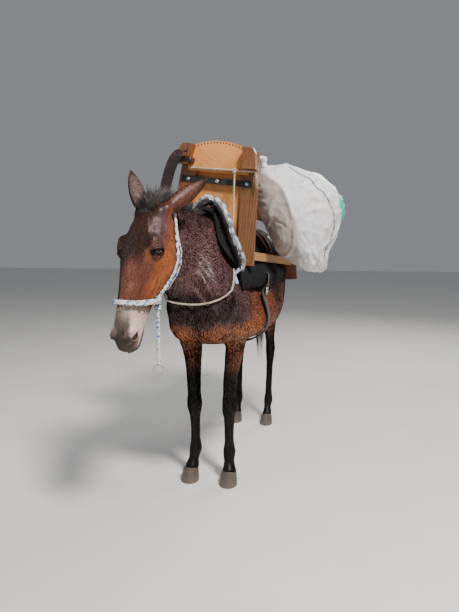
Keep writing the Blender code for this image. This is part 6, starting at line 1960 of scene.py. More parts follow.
webbing_finish = new_finish("black_webbing_woven", (0.018, 0.017, 0.018), 0.62, Sheen_Weight=0.1)
ribs = bands(webbing_finish, "Y", places(webbing_finish), Scale=110.0, Distortion=0.4)
worn_webbing = noise(webbing_finish, 18.0, 5.0, 0.7)
dusted(webbing_finish, worn_webbing, 0.5, 0.8, 0.6, (0.017, 0.016, 0.017), (0.1, 0.085, 0.072))
bumped(webbing_finish, ribs, 0.0007, 0.8)
orange_webbing = new_finish("orange_webbing", (0.5, 0.135, 0.02), 0.6)
bumped(orange_webbing, noise(orange_webbing, 260.0, 2.0), 0.0006, 0.7)
blue_strip = new_finish("pale_blue_strip", (0.36, 0.43, 0.6), 0.5)
bumped(blue_strip, noise(blue_strip, 200.0, 2.0), 0.0005, 0.7)


def below(points):
    return -((over_back(points) - math.pi / 2) % (2 * math.pi))


def add_straps(pad):
    line = centre_line("girth", below, 70, 0.05, trim=0.01)
    outs = (line - PAD_MIDDLE) * (1, 0, 1)
    shapes = [strap_shape(line[::3], 0.064, 0.0058, outs[::7], 150)]
    for edge in (-0.022, 0.022):
        rib = [p + (0, edge, 0) + 0.003 * o / np.linalg.norm(o) for p, o in zip(line[::3], outs[::3])]
        shapes.append(strand_tube(smooth_line(rib, 140), 0.0016, 6))
    new_piece("girth_webbing", *joined_shapes(shapes), webbing_finish, "black_webbing", ["girth"])
    tree = tree_of(pad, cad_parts["torso"])
    high = on_surface(tree, [(0.14, -0.03, z) for z in (1.165, 1.14, 1.115, 1.09, 1.06, 1.02)], 0.0095)
    side_outs = [(1, 0, 0.35), (1, 0, 0), (1, 0, -0.1)]
    new_piece("girth_strap_left", *strap_shape(high, 0.034, 0.0044, side_outs, 40), webbing_finish,
              "black_webbing")
    middle = high[-2] + (high[-1] - high[-2]) * 0.4 + np.array((0.005, 0, 0))
    along = high[-1] - high[-2]
    along /= np.linalg.norm(along)
    wide = np.array((0, 1, 0))
    bar = [middle + along * i + wide * j for i, j in
           ((-0.019, -0.023), (-0.019, 0.023), (0.019, 0.023), (0.019, -0.023))]
    shapes = [strand_tube([a, b], 0.003, 8) for a, b in zip(bar, bar[1:] + bar[:1])]
    shapes.append(strand_tube([middle - wide * 0.023, middle + wide * 0.023], 0.0026, 8))
    shapes.append(strand_tube([middle + (0.003, 0, 0), middle + along * 0.019 + (0.004, 0, 0)], 0.002, 8))
    new_piece("girth_buckle", *joined_shapes(shapes), steel, "pale_steel")
    shapes = [strap_shape(on_surface(tree, route, 0.0045), 0.026, 0.003, [(1, 0, 0.6), (1, 0, 0.5)], 40)
              for route in LASHING_ROUTES]
    new_piece("lashing_straps", *joined_shapes(shapes), orange_webbing, "black_webbing")
    hang = [(0.05, -0.344, 1.19), (0.046, -0.349, 1.165), (0.036, -0.352, 1.135), (0.03, -0.35, 1.105)]
    tree = tree_of(pad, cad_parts["torso"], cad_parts["neck"])
    laid = [np.array(hang[0])] + on_surface(tree, hang[1:], 0.006)
    strip = strap_shape(laid, 0.017, 0.0026, [(0.4, -1, 0.2), (0.5, -1, 0.1)], 30)
    new_piece("breast_strip", *strip, blue_strip, "tan_rope")


add_sling()
add_straps(pad)

# %% [markdown]
# ## Eyes
# A mule's eye is large and dark: a brown iris round a long level pupil, behind a wet clear surface. The
# ball is one smooth ellipsoid set behind the lids. Its zones are colours that the mesh carries, worked
# out from the angle to the way the eye looks. The wet look is a clear coat with hardly any roughness.

# %% Eyes
EYE_BULGE = 1.05
eye_finish = new_finish("wet_dark_eye", (0.03, 0.02, 0.02), 0.06, Coat_Weight=1.0, Coat_Roughness=0.02,
                        Specular_IOR_Level=0.7)
set_shader(eye_finish, "Base Color", carried(eye_finish))


def add_eyes():
    for word, side in (("left", 1), ("right", -1)):
        centre = np.array(on_head_side(EYE_PLACE, side))
        look = np.array(HEAD_AXES @ Vector((side * EYE_LOOK.x, EYE_LOOK.y, EYE_LOOK.z)))
        look /= np.linalg.norm(look)
        level = np.array(HEAD_AXES @ Vector((0.0, 0.93, 0.36)))
        level -= look * level.dot(look)
        level /= np.linalg.norm(level)
        up = np.cross(look, level)
        axes = Matrix(np.stack([level, up, look], 1).tolist())
        points, faces = ellipsoid_shape(centre, (EYE_RADIUS, EYE_RADIUS, EYE_RADIUS), axes, 96, 64)
        points = np.array(points)
        away = (points - centre) / EYE_RADIUS
        a, b, c = away @ level, away @ up, away @ look
        off = np.arccos(np.clip(c, -1, 1))
        points += look * (EYE_RADIUS * (EYE_BULGE - 1) * soft(-off, -0.75, -0.2))[:, None]
        colours = np.tile((0.055, 0.034, 0.028), (len(points), 1))
        spin = np.arctan2(b, a)
        streak = 0.5 + 0.3 * np.sin(spin * 31 + 4 * off) + 0.2 * np.sin(spin * 53)
        iris = 1 - soft(off, 0.74, 0.8)
        colours = painted(colours, (0.062, 0.028, 0.014), iris)
        colours = painted(colours, (0.12, 0.056, 0.026), iris * streak * soft(off, 0.3, 0.62))
        colours = painted(colours, (0.01, 0.007, 0.006), np.exp(-((off - 0.77) / 0.05)**2))
        pupil = np.sqrt((a / 0.46)**2 + (b / 0.2)**2)
        colours = painted(colours, (0.003, 0.003, 0.004), 1 - soft(pupil, 0.92, 1.08))
        eye = new_piece(f"eye_{word}_ball", points, faces, eye_finish, "dark_eye", [f"eye_{word}"])
        give_markings(eye.data, colours)


add_eyes()

# %% [markdown]
# ## Hooves
# A hoof is a wall of horn that grows down from the hair line, so it carries rings, one for each season,
# and fine upright fibres. It is lofted in many rings so that the growth lines are real relief. Use has
# chipped the wall at its foot, and it is pale with dust.

# %% Hooves
CORONET = {"fore": (0.11, -0.02, -0.128, 0.049, 0.057), "hind": (0.115, 0.0, 0.876, 0.044, 0.054)}
CORONET_HEIGHT, CORONET_SLOPE = 0.062, math.tan(math.radians(20))
HOOF_ROWS = np.array([(0.0, 1.0, -0.02), (0.08, 1.015, -0.02), (0.6, 0.93, -0.01), (1.0, 0.86, -0.003)])
horn_finish = new_finish("hoof_horn_dusty", (0.05, 0.04, 0.035), 0.55, Coat_Weight=0.05)
horn_fibres = noise(horn_finish, 500.0, 3.0, 0.6, stretch=(1, 1, 0.06))
horn_dust = noise(horn_finish, 30.0, 5.0, 0.7)
horn_height = add_node(horn_finish, "SeparateXYZ", Vector=places(horn_finish)).outputs["Z"]
horn_tone = mixed(horn_finish, horn_fibres, (0.05, 0.04, 0.036), (0.095, 0.078, 0.066))
horn_tone = mixed(horn_finish, ranged(horn_finish, horn_height, 0.0, 0.05, 0.5, 0.0), horn_tone,
                  (0.16, 0.13, 0.105))
horn_tone = mixed(horn_finish, ranged(horn_finish, horn_dust, 0.45, 0.7, 0.0, 0.45), horn_tone,
                  (0.12, 0.098, 0.08))
set_shader(horn_finish, "Base Color", horn_tone)
bumped(horn_finish, horn_fibres, 0.0007, 0.8)


def hoof_rings(which, side, around=72, rows=34):
    x, x_step, y, half_width, half_length = CORONET[which]
    middle = (side * x + x_step + ORIGIN_STEP.x, y + ORIGIN_STEP.y)
    draw = np.random.default_rng(70 + int(side) + (3 if which == "hind" else 0))
    phase = draw.uniform(0, 6.28, 6)
    rings = []
    for share in np.linspace(0, 1, rows):
        grow, ahead = (np.interp(share, HOOF_ROWS[:, 0], HOOF_ROWS[:, i]) for i in (1, 2))
        grow *= 0.992 + 0.006 * math.sin(share * 34 + phase[0]) + 0.004 * math.sin(share * 57 + phase[1])
        if share > 0.93:
            grow *= 1.012
        ring = []
        for t in np.linspace(0, 2 * math.pi, around, endpoint=False):
            c, s = math.cos(t), math.sin(t)
            heel = 1 - 0.16 * float(soft(s, 0.35, 0.75))
            broken = max(0.0, math.sin(5 * t + phase[2]) + math.sin(11 * t + phase[3]) - 0.9)
            chip = 1 - 0.02 * broken * max(0.0, 1 - share * 7)
            local_x = half_width * grow * c * chip
            local_y = ahead + half_length * grow * s * heel * chip
            top = CORONET_HEIGHT - CORONET_SLOPE * local_y
            ring.append((middle[0] + local_x, middle[1] + local_y, max(0.0, top * share)))
        rings.append(ring)
    return rings


def add_hooves():
    for which in ("fore", "hind"):
        for word, side in (("left", 1), ("right", -1)):
            new_piece(f"hoof_{which}_{word}_horn", *loft(hoof_rings(which, side)), horn_finish, "hoof_horn",
                      [f"hoof_{which}_{word}"])


add_hooves()

# %% [markdown]
# ## Long hair
# Mane, forelock and tail are coarse hair in locks. Particle hair looks fine in a render but an exported
# mesh loses it, so each hair here is a thin three-sided tube that ends in a point. Arrays hold all the
# paths of a piece at once: a lock is one path, and its hairs are copies that start spread and draw
# together toward the tip. The map OFBake gives each hair a small patch at its root's place on an unwrap
# of the skin, so that its colour can be baked with its neighbours'.

# %% Hairs as one mesh
def unit(vectors):
    return vectors / np.maximum(np.linalg.norm(vectors, axis=-1, keepdims=True), 1e-12)


def mesh_from_arrays(name, points, faces):
    """A mesh from arrays; faces is a list of arrays of the same width each."""
    mesh = bpy.data.meshes.new(name)
    widths = np.concatenate([np.full(len(f), f.shape[1]) for f in faces])
    corners_at = np.concatenate([f.ravel() for f in faces]).astype(np.int32)
    mesh.vertices.add(len(points))
    mesh.vertices.foreach_set("co", points.astype(np.float32).ravel())
    mesh.loops.add(len(corners_at))
    mesh.loops.foreach_set("vertex_index", corners_at)
    mesh.polygons.add(len(widths))
    mesh.polygons.foreach_set("loop_start", np.r_[0, np.cumsum(widths)[:-1]].astype(np.int32))
    mesh.update(calc_edges=True)
    mesh.polygons.foreach_set("use_smooth", np.ones(len(widths), bool))
    return mesh


def give_patches(mesh, places_at):
    """The map OFBake: where each point of the mesh lies on the unwrap."""
    layer = mesh.uv_layers.new(name="OFBake")
    index = np.empty(len(mesh.loops), np.int32)
    mesh.loops.foreach_get("vertex_index", index)
    layer.uv.foreach_set("vector", places_at[index].astype(np.float32).ravel())


def skin_unwrap():
    """A coarse copy of the skin, unwrapped: a tree of its triangles, their corners and their map."""
    thin = bpy.data.objects.new("unwrap", skin_mesh.copy())
    bpy.context.scene.collection.objects.link(thin)
    fewer = thin.modifiers.new("fewer", "DECIMATE")
    fewer.ratio = 0.035
    mesh = evaluated_mesh(thin)
    flat = bpy.data.objects.new("unwrap", mesh)
    bpy.context.scene.collection.objects.link(flat)
    bpy.context.view_layer.objects.active = flat
    flat.select_set(True)
    bpy.ops.object.mode_set(mode="EDIT")
    bpy.ops.mesh.select_all(action="SELECT")
    bpy.ops.uv.smart_project(angle_limit=math.radians(75), island_margin=0.004)
    bpy.ops.object.mode_set(mode="OBJECT")
    mesh.calc_loop_triangles()
    count = len(mesh.loop_triangles)
    loops, corners_of = np.empty(count * 3, np.int32), np.empty(count * 3, np.int32)
    mesh.loop_triangles.foreach_get("loops", loops)
    mesh.loop_triangles.foreach_get("vertices", corners_of)
    uv = np.empty(len(mesh.loops) * 2, np.float32)
    mesh.uv_layers.active.uv.foreach_get("vector", uv)
    points = points_of(mesh)
    triangles = corners_of.reshape(-1, 3)
    tree = BVHTree.FromPolygons(points.tolist(), triangles.tolist())
    maps = uv.reshape(-1, 2)[loops.reshape(-1, 3)]
    found = (tree, points[triangles], maps)
    bpy.data.objects.remove(flat)
    return found


UNWRAP = skin_unwrap()
PATCH_SIZE = 0.003


def map_places(roots):
    """Where roots lie on the skin's unwrap."""
    tree, triangles, maps = UNWRAP
    index = np.array([tree.find_nearest(p)[2] for p in roots.tolist()])
    a, b, c = triangles[index].transpose(1, 0, 2)
    ab, ac, ap = b - a, c - a, roots - a
    d00, d01, d11 = (ab * ab).sum(1), (ab * ac).sum(1), (ac * ac).sum(1)
    d20, d21 = (ap * ab).sum(1), (ap * ac).sum(1)
    under = np.maximum(d00 * d11 - d01 * d01, 1e-14)
    v = np.clip((d11 * d20 - d01 * d21) / under, 0, 1)
    w = np.clip((d00 * d21 - d01 * d20) / under, 0, 1)
    total = np.maximum(1.0, v + w)
    v, w = v / total, w / total
    m = maps[index]
    return m[:, 0] * (1 - v - w)[:, None] + m[:, 1] * v[:, None] + m[:, 2] * w[:, None]


def hairs_mesh(name, paths, radii, colours, sides=3):
    """Many tapered hairs: paths is hairs by steps by 3, and the last step is the point of the tip."""
    count, steps, _ = paths.shape
    along = unit(np.gradient(paths, axis=1))
    around = unit(np.cross(along, np.array((0.35, 0.21, 0.91))))
    up = np.cross(along, around)
    turns = np.linspace(0, 2 * math.pi, sides, endpoint=False)
    ring = (around[:, :-1, None, :] * np.cos(turns)[None, None, :, None]
            + up[:, :-1, None, :] * np.sin(turns)[None, None, :, None])
    rings = paths[:, :-1, None, :] + ring * radii[:, :-1, None, None]
    block = (steps - 1) * sides + 1
    points = np.concatenate([rings.reshape(count, -1, 3), paths[:, -1:, :]], axis=1).reshape(-1, 3)
    start = (np.arange(count) * block)[:, None, None]
    i, j = np.meshgrid(np.arange(steps - 2), np.arange(sides), indexing="ij")
    k = (j + 1) % sides
    quads = np.stack([i * sides + j, i * sides + k, (i + 1) * sides + k, (i + 1) * sides + j],
                     -1).reshape(1, -1, 4)
    quads = (start + quads).reshape(-1, 4)
    last = (steps - 2) * sides
    tips = np.array([[last + a, last + (a + 1) % sides, block - 1] for a in range(sides)])[None]
    tips = (start + tips).reshape(-1, 3)
    ends = (start[:, :, 0] + np.arange(sides)[::-1][None]).reshape(-1, sides)
    mesh = mesh_from_arrays(name, points, [quads, tips, ends])
    shade = np.repeat(colours[:, None, :], block, 1)
    # Painted shade and highlight: each hair is darker at its root and lighter toward its tip
    depth = np.r_[np.repeat(np.linspace(0.75, 1.15, steps - 1), sides), 1.2]
    give_markings(mesh, np.clip(shade * depth[None, :, None], 0.002, 1).reshape(-1, 3))
    spots = map_places(paths[:, 0])
    offsets = np.zeros((block, 2))
    share = np.r_[np.repeat(np.linspace(0, 1, steps - 1), sides), 1.0]
    offsets[:, 1] = (share - 0.5) * PATCH_SIZE
    offsets[:-1, 0] = np.tile(np.linspace(-0.5, 0.5, sides), steps - 1) * PATCH_SIZE
    give_patches(mesh, (spots[:, None, :] + offsets[None]).reshape(-1, 2))
    return mesh


def hair_finish(name, roughness=0.42):
    finish = new_finish(name, roughness=roughness, Specular_IOR_Level=0.55, Sheen_Weight=0.05)
    marks = carried(finish)
    value = ranged(finish, noise(finish, 160.0, 2.0), 0.3, 0.7, 0.75, 1.3)
    tone = add_node(finish, "HueSaturation", Color=marks, Value=value).outputs["Color"]
    set_shader(finish, "Base Color", tone)
    return finish


def spread_locks(locks, hairs, spread, draw, length_range=(0.75, 1.05), tip_share=0.25, radius=0.00035,
                 wave=0.0):
    """Hairs round each lock's path: paths of hairs, and their radii."""
    count, steps, _ = locks.shape
    share = np.linspace(0, 1, steps)
    paths = np.repeat(locks[:, None], hairs, 1)
    length = draw.uniform(*length_range, (count, hairs, 1, 1))
    paths = paths[:, :, :1] + (paths - paths[:, :, :1]) * length
    off = draw.normal(size=(count, hairs, 1, 3)) * spread
    open_out = (1 - (1 - tip_share) * share)[None, None, :, None]
    paths = paths + off * open_out
    curl = draw.normal(size=(count, hairs, 1, 3)) * wave
    paths = paths + curl * np.sin(share * math.pi * 2.1)[None, None, :, None]
    paths = paths.reshape(-1, steps, 3)
    radii = radius * (1 - 0.6 * share)[None] * draw.uniform(0.8, 1.2, (len(paths), 1))
    return paths, radii


black_hair_finish = hair_finish("black_long_hair")
HAIR_BLACK, HAIR_GREY = np.array((0.012, 0.01, 0.01)), np.array((0.11, 0.098, 0.092))
skin_tree = BVHTree.FromObject(skin, bpy.context.evaluated_depsgraph_get())


def hair_colours(count, draw, grey=0.25):
    share = (draw.uniform(0, 1, (count, 1)) < grey) * draw.uniform(0.3, 1.0, (count, 1))
    return HAIR_BLACK * draw.uniform(0.7, 1.5, (count, 1)) + (HAIR_GREY - HAIR_BLACK) * share


def hair_piece(name, paths, radii, colours, stands_for=()):
    mesh = hairs_mesh(name, paths, radii, colours)
    dressed(bpy.data.objects.new(name, mesh), black_hair_finish, stands_for)
    return len(mesh.polygons)


def nearest_on_skin(spot):
    return np.array(skin_tree.find_nearest(Vector(spot))[0])


def on_skin(spot, way, far=0.4):
    """Where a line from spot meets the skin, and its normal there."""
    found, normal, _, _ = skin_tree.ray_cast(Vector(spot), Vector(way).normalized(), far)
    if found is None:
        found, normal, _, _ = skin_tree.find_nearest(Vector(spot))
    return np.array(found), np.array(normal)


# %% [markdown]
# ## Mane and forelock
# This mane has been clipped and has grown out: short hair that stands up and leans back, longer near
# the poll. The forelock is a woolly tuft between the ears: some locks rise and fall over the forehead,
# and others stay up.

# %% Mane and forelock
MANE_START, MANE_REACH = 0.1, 0.53
CREST = np.array([(-0.69, 1.458), (-0.57, 1.485), (-0.41, 1.49), (-0.24, 1.472), (-0.08, 1.448),
                  (0.08, 1.41)])


def crest_place(share):
    """A place on the neck's crest, on the skin, from the poll, 0, to the withers, 1."""
    steps = np.linspace(0, 1, len(CREST))
    y, z = np.interp(share, steps, CREST[:, 0]), np.interp(share, steps, CREST[:, 1])
    x = -0.118 * math.sin(math.pi / 2 * min(1.0, max(0.0, (0.02 - y) / 0.722)))**1.15
    place = Vector((x, y, z)) + ORIGIN_STEP
    return on_skin(place + Vector((0, 0, 0.25)), (0, 0, -1))[0]


def add_mane(clumps=250, hairs=8, steps=6):
    draw = np.random.default_rng(81)
    locks = []
    for k in range(clumps):
        share = ((k + draw.uniform(0, 1)) / clumps)**1.4
        here = crest_place(MANE_START + MANE_REACH * share)
        ahead = crest_place(MANE_START + MANE_REACH * min(1.0, share + 0.03))
        along = unit(ahead - here + 1e-9)
        side = unit(np.cross(along, (0, 0, 1)))
        row = draw.uniform(-1, 1)
        aside = row * 0.42 + draw.uniform(-0.1, 0.1)
        up = unit(np.array((0, 0, 1)) + side * aside + along * draw.uniform(0.2, 0.6))
        at_ends = min(1.0, 0.55 + 4 * (1 - share), 0.6 + 6 * share)
        length = (0.108 - 0.068 * share) * draw.uniform(0.75, 1.1) * at_ends
        start = here + side * row * 0.014 - np.array((0, 0, 0.006 + 0.004 * abs(row)))
        t = np.linspace(0, 1, steps)[:, None]
        locks.append(start + up * length * t + along * 0.024 * t**2 + side * 0.012 * row * t**2)
    paths, radii = spread_locks(np.array(locks), hairs, 0.0034, draw, tip_share=0.55, radius=0.00062,
                                wave=0.0014)
    return hair_piece("mane_hair", paths, radii, hair_colours(len(paths), draw, 0.3), ["mane"])


def over_forehead(x, s, lift):
    spot, normal = on_skin(on_head(x, s, 0.25), HEAD_AXES @ Vector((0, 0, -1)))
    return spot + normal * lift


def add_forelock(falling=190, standing=90, hairs=8, steps=8):
    """Locks that rise from the poll and fall over the forehead, and others that stay up."""
    draw = np.random.default_rng(82)
    up, wide, down_face = np.array((0, 0, 1)), HEAD_MATRIX[:, 0], HEAD_MATRIX[:, 1]
    locks, greys = [], []
    for k in range(falling):
        across, tier = draw.uniform(-1, 1), draw.uniform(0, 1)
        length = (0.18 - 0.06 * abs(across)) * (1 - 0.45 * tier) * draw.uniform(0.7, 1.08)
        peak = (0.016 + 0.034 * tier) * draw.uniform(0.7, 1.2)
        phase, wobble = draw.uniform(0, 6.28), draw.uniform(0.002, 0.008)
        path = []
        for t in np.linspace(0, 1, steps):
            x = 0.03 * across + 0.03 * across * t**1.2 + wobble * math.sin(phase + 5 * t) * t
            s = -0.022 + 0.05 * (1 - tier) + length * t**1.35 - 0.016 * math.sin(math.pi * t)
            lift = -0.003 if t == 0 else 0.003 + peak * math.sin(math.pi * min(1, 0.06 + 0.9 * t))**0.7
            path.append(over_forehead(x, s, lift))
        locks.append(path)
        greys.append(0.1 + 0.55 * (across > 0.25) + 0.1 * (across > 0.6))
    t = np.linspace(0, 1, steps)[:, None]
    for k in range(standing):
        across, row = draw.uniform(-1, 1), draw.uniform(0, 1)
        root = over_forehead(0.034 * across, -0.034 + 0.05 * row, -0.004)
        aside = 0.35 * across + draw.uniform(-0.2, 0.2)
        way = unit(up + wide * aside + down_face * draw.uniform(-0.05, 0.45))
        length = (0.104 - 0.04 * across**2) * draw.uniform(0.55, 1.0)
        curl = down_face * draw.uniform(0.0, 0.05) + wide * draw.uniform(-0.02, 0.02)
        locks.append(root + way * length * t + curl * t**2.2)
        greys.append(0.3 + 0.35 * (across > 0.1))
    paths, radii = spread_locks(np.array(locks), hairs, 0.0052, draw, tip_share=0.6, radius=0.00056,
                                wave=0.003)
    colours = hair_colours(len(paths), draw, np.repeat(greys, hairs)[:, None])
    return hair_piece("forelock_hair", paths, radii, colours, ["forelock"])


print("mane and forelock faces:", add_mane(), add_forelock())

# %% [markdown]
# ## Tail
# A mule's tail has a fleshy dock with short hair and long coarse hair that hangs past the hocks. The
# dock is one tapered tube; locks leave it on all sides, fall, and close again toward their tips.

# %% Tail
TAIL_ROOT = np.array((0, 1.045, 1.245)) + np.array(ORIGIN_STEP)
DOCK = np.array([(0, -0.03, 0.01), (0, 0.03, 0.0), (0, 0.075, -0.04), (0, 0.095, -0.11), (0, 0.1, -0.19),
                 (0, 0.098, -0.28)])
DOCK_SIZES = [0.036, 0.036, 0.032, 0.027, 0.021, 0.012]


def add_tail(clumps=120, hairs=9, steps=10):
    draw = np.random.default_rng(83)
    line = smooth_line(TAIL_ROOT + DOCK, 40)
    sizes = np.interp(np.linspace(0, 5, 40), range(6), DOCK_SIZES)
    points, faces = strand_tube(line, sizes * 0.96, 28)
    dock = new_piece("tail_dock", points, faces, skin_finish, "bay_hide")
    give_markings(dock.data, markings(np.array(points)) * 0.55)
    locks = []
    for k in range(clumps):
        share = 0.14 + 0.84 * k / (clumps - 1)
        i = int(share * 39)
        root = line[i]
        angle = (k * 2.4) % (2 * math.pi)
        out = np.array((math.cos(angle), 0.75 * math.sin(angle) + 0.25, 0))
        length = (0.3 + 0.34 * share) * draw.uniform(0.86, 1.03)
        thick = sizes[i] * 0.8
        path = []
        for t in np.linspace(0, 1, steps):
            close = math.sin(math.pi * min(1, 0.25 + t * 0.8))**0.8
            away = thick + (0.04 - thick) * soft(t, 0.0, 0.3) * close
            away *= 1 if t > 0 else 0.8
            path.append(root + out * away + np.array((0, 0.016 * t, -length * t)))
        path = np.array(path)
        path[:, 0] += draw.uniform(-0.01, 0.01) * np.sin(np.linspace(0, 3, steps))
        locks.append(path)
    paths, radii = spread_locks(np.array(locks), hairs, 0.0042, draw, (0.7, 1.0), 0.45, 0.00075, 0.0024)
    return hair_piece("tail_hair", paths, radii, hair_colours(len(paths), draw, 0.06), ["tail"])


print("tail faces:", add_tail())

# %% [markdown]
# ## Lashes, whiskers and the hair in the ears
# These thin hairs are what makes a head look alive. Lashes leave the margin of the upper lid and droop,
# whiskers stand on the chin, lips and nose, and a pale fringe lines the mouth of each ear.

# %% Fine hairs of the head
DARK_WHISKER, PALE_WHISKER = (0.05, 0.042, 0.04), (0.35, 0.31, 0.28)


def add_fine_hairs():
    draw = np.random.default_rng(84)
    paths, radii, colours = [], [], []
    steps = 6
    t = np.linspace(0, 1, steps)[:, None]

    def grow(root, way, bend, length, radius, colour):
        way, bend = unit(np.array(way)), np.array(bend)
        paths.append(root - way * 0.001 + way * length * t + bend * length * t**2)
        radii.append(radius * (1 - 0.7 * t[:, 0]))
        colours.append(np.array(colour) * draw.uniform(0.7, 1.3))

    for side in (1, -1):
        centre, axes = eye_patch(side)
        along, up, look = axes.T
        for k in range(46):
            turn = math.radians(20 + 140 * (k + draw.uniform(0, 1)) / 46)
            a, b = slit_point(turn)
            root = nearest_on_skin(centre + along * a + up * b + look * 0.012)
            grow(root, look + up * 0.35 + along * 0.5 * math.cos(turn), look * 0.1 - up * 0.55,
                 0.017 * draw.uniform(0.7, 1.1), 0.0002, HAIR_BLACK)
        for k in range(16):
            turn = -math.radians(25 + 130 * (k + draw.uniform(0, 1)) / 16)
            a, b = slit_point(turn)
            root = nearest_on_skin(centre + along * a + up * b + look * 0.012)
            grow(root, look - up * 0.5 + along * 0.4 * math.cos(turn), -up * 0.2,
                 0.008 * draw.uniform(0.7, 1.1), 0.00015, HAIR_BLACK)
        along, across, mouth = (np.array(v) for v in ear_axes(side))
        base = np.array(on_head(*EAR_BASE[side]))
        rows = smooth_table(EAR_STATIONS, 60)
        for k in range(620):
            share, half, deep, cover = rows[draw.integers(9, 54)]
            angle = math.radians(cover) * draw.choice((-1, 1)) * draw.uniform(0.72, 0.99)
            spot = (base + along * (share * EAR_LENGTH)
                    + (across * math.sin(angle) * half - mouth * math.cos(angle) * deep) * 0.84)
            root = nearest_on_skin(spot)
            inward = -unit(across * math.sin(angle))
            grow(root, mouth * 0.8 + along * 0.9 + inward * draw.uniform(0.0, 0.8), along * 0.3,
                 0.02 * draw.uniform(0.5, 1.1) * (1 - 0.4 * share), 0.00028, (0.26, 0.215, 0.185))
    for k in range(110):
        x = draw.uniform(-0.036, 0.036)
        s, low = draw.uniform(0.5, 0.585), draw.uniform(0, 1) < 0.7
        spot = on_head(x, s, -0.16 if low else -0.075)
        way = HEAD_AXES @ Vector((0, 0, 1)) if low else HEAD_AXES @ Vector((math.copysign(1, -x), 0, 0))
        start = Vector(spot) if low else Vector(on_head(math.copysign(0.12, x), s, -0.085))
        found, normal, _, _ = skin_tree.ray_cast(start, way, 0.3)
        if found is None:
            continue
        way = np.array(normal) + draw.normal(size=3) * 0.35 + (0, 0, -0.2)
        length = draw.uniform(0.012, 0.038)
        colour = DARK_WHISKER if draw.uniform() < 0.6 else PALE_WHISKER
        grow(np.array(found), way, (0, 0, -0.25), length, 0.00017, colour)
    hair_piece("fine_head_hairs", np.array(paths), np.array(radii), np.array(colours))
    return len(paths)


print("fine hairs:", add_fine_hairs())

# %% [markdown]
# ## The coat
# In a short summer coat the hairs lie flat, and what the eye sees is their gloss, their direction and a
# broken edge along the form. The coat is made of small tufts, each a closed blade of four triangles
# that starts in the skin and points along the lie of the hair. They are shortest on the face and feet.
# Each tuft takes the colour of the hide at its root, with painted shade at its base and a painted highlight
# at its tip, and leans its normals toward the skin's, so that the light runs over the coat in soft streaks
# and not over single blades. It grows under the pad too.

# %% The lie of the hair
def skin_samples(count, weigh, seed):
    """Roots spread over the skin by area and a weight: places and normals."""
    skin_mesh.calc_loop_triangles()
    total = len(skin_mesh.loop_triangles)
    corners_of = np.empty(total * 3, np.int32)
    skin_mesh.loop_triangles.foreach_get("vertices", corners_of)
    corners_of = corners_of.reshape(-1, 3)
    points, normals = points_of(skin_mesh), normals_of(skin_mesh)
    a, b, c = points[corners_of].transpose(1, 0, 2)
    area = np.linalg.norm(np.cross(b - a, c - a), axis=1) / 2
    weight = area * weigh((a + b + c) / 3)
    draw = np.random.default_rng(seed)
    picked = draw.choice(total, count, p=weight / weight.sum())
    u, v = draw.uniform(0, 1, (2, count, 1))
    over = (u + v) > 1
    u, v = np.where(over, 1 - u, u), np.where(over, 1 - v, v)
    roots = a[picked] + (b - a)[picked] * u + (c - a)[picked] * v
    na, nb, nc = normals[corners_of[picked]].transpose(1, 0, 2)
    return roots, unit(na * (1 - u - v) + nb * u + nc * v), draw


def head_share(points):
    return soft((points - SEAM_POINT) @ SEAM_NORMAL, -0.02, 0.13)


def ear_share(points):
    """How much each point belongs to an ear, and the way along that ear."""
    share, way = np.zeros(len(points)), np.zeros((len(points), 3))
    for side in (1, -1):
        along = np.array(ear_axes(side)[0])
        from_base = points - np.array(on_head(*EAR_BASE[side]))
        up = from_base @ along
        off = np.linalg.norm(from_base - up[:, None] * along, axis=1)
        on = soft(up, 0.005, 0.045) * (1 - soft(off, 0.07, 0.08))
        share = np.maximum(share, on)
        way += along * on[:, None]
    return share, way


def lie_of_hair(points, normals):
    """The way that the hair points at each place, along the skin."""
    x, y, z = in_body(points).T
    way = np.tile((0.0, 0.92, -0.4), (len(points), 1))
    breast = (1 - soft(y, -0.4, -0.15)) * (1 - soft(z, 1.02, 1.25))
    way += (np.array((0, 0.15, -1.0)) - way) * breast[:, None]
    legs = 1 - soft(z, 0.62, 0.86)
    way += (np.array((0, 0.12, -1.0)) - way) * legs[:, None]
    flank = blob(np.stack([np.abs(x), y, z], 1), (0.24, 0.6, 0.98), (0.2, 0.16, 0.2), 0.7)
    way += np.array((0, -0.5, 0.5)) * flank[:, None]
    wide = in_head(points)[:, 0]
    face = np.tile((0.0, 0.93, -0.12), (len(points), 1))
    face[:, 0] = np.sign(wide) * 0.25 * soft(np.abs(wide), 0.0, 0.03)
    face = face @ HEAD_MATRIX.T
    way += (face - way) * head_share(points)[:, None]
    ears, ear_way = ear_share(points)
    way += (ear_way - way) * ears[:, None]
    for side in (1, -1):
        eye = np.array(on_head_side(EYE_PLACE, side))
        near = 1 - soft(np.linalg.norm(points - eye, axis=1), 0.03, 0.06)
        away = unit(points - eye) * 0.8 + face * 0.5
        way += (away - way) * near[:, None]
    way -= normals * np.sum(way * normals, axis=1)[:, None]
    return unit(way)


def bare_places(points):
    """Where no hair grows: the balls of the eyes, inside the nostrils, and between the lips."""
    wide, s, n = in_head(points).T
    inside = np.stack([np.abs(wide), s, n], 1)
    bare = np.linalg.norm(inside - np.array(EYE_PLACE), axis=1) < EYE_RADIUS + LID_DEPTH
    bare |= np.linalg.norm((inside - np.array(NOSTRIL_PLACE)) / (0.016, 0.02, 0.015), axis=1) < 0.95
    bare |= (s > MOUTH_CORNER_S) & (np.abs(n - mouth_line(s)) < 0.0035)
    bare |= points[:, 2] < 0.012
    return bare


# %% Tufts
coat_finish = hide_finish("bay_coat_tufts", 0.07, 0.4, bump=0)
COAT_PIECE = 45000
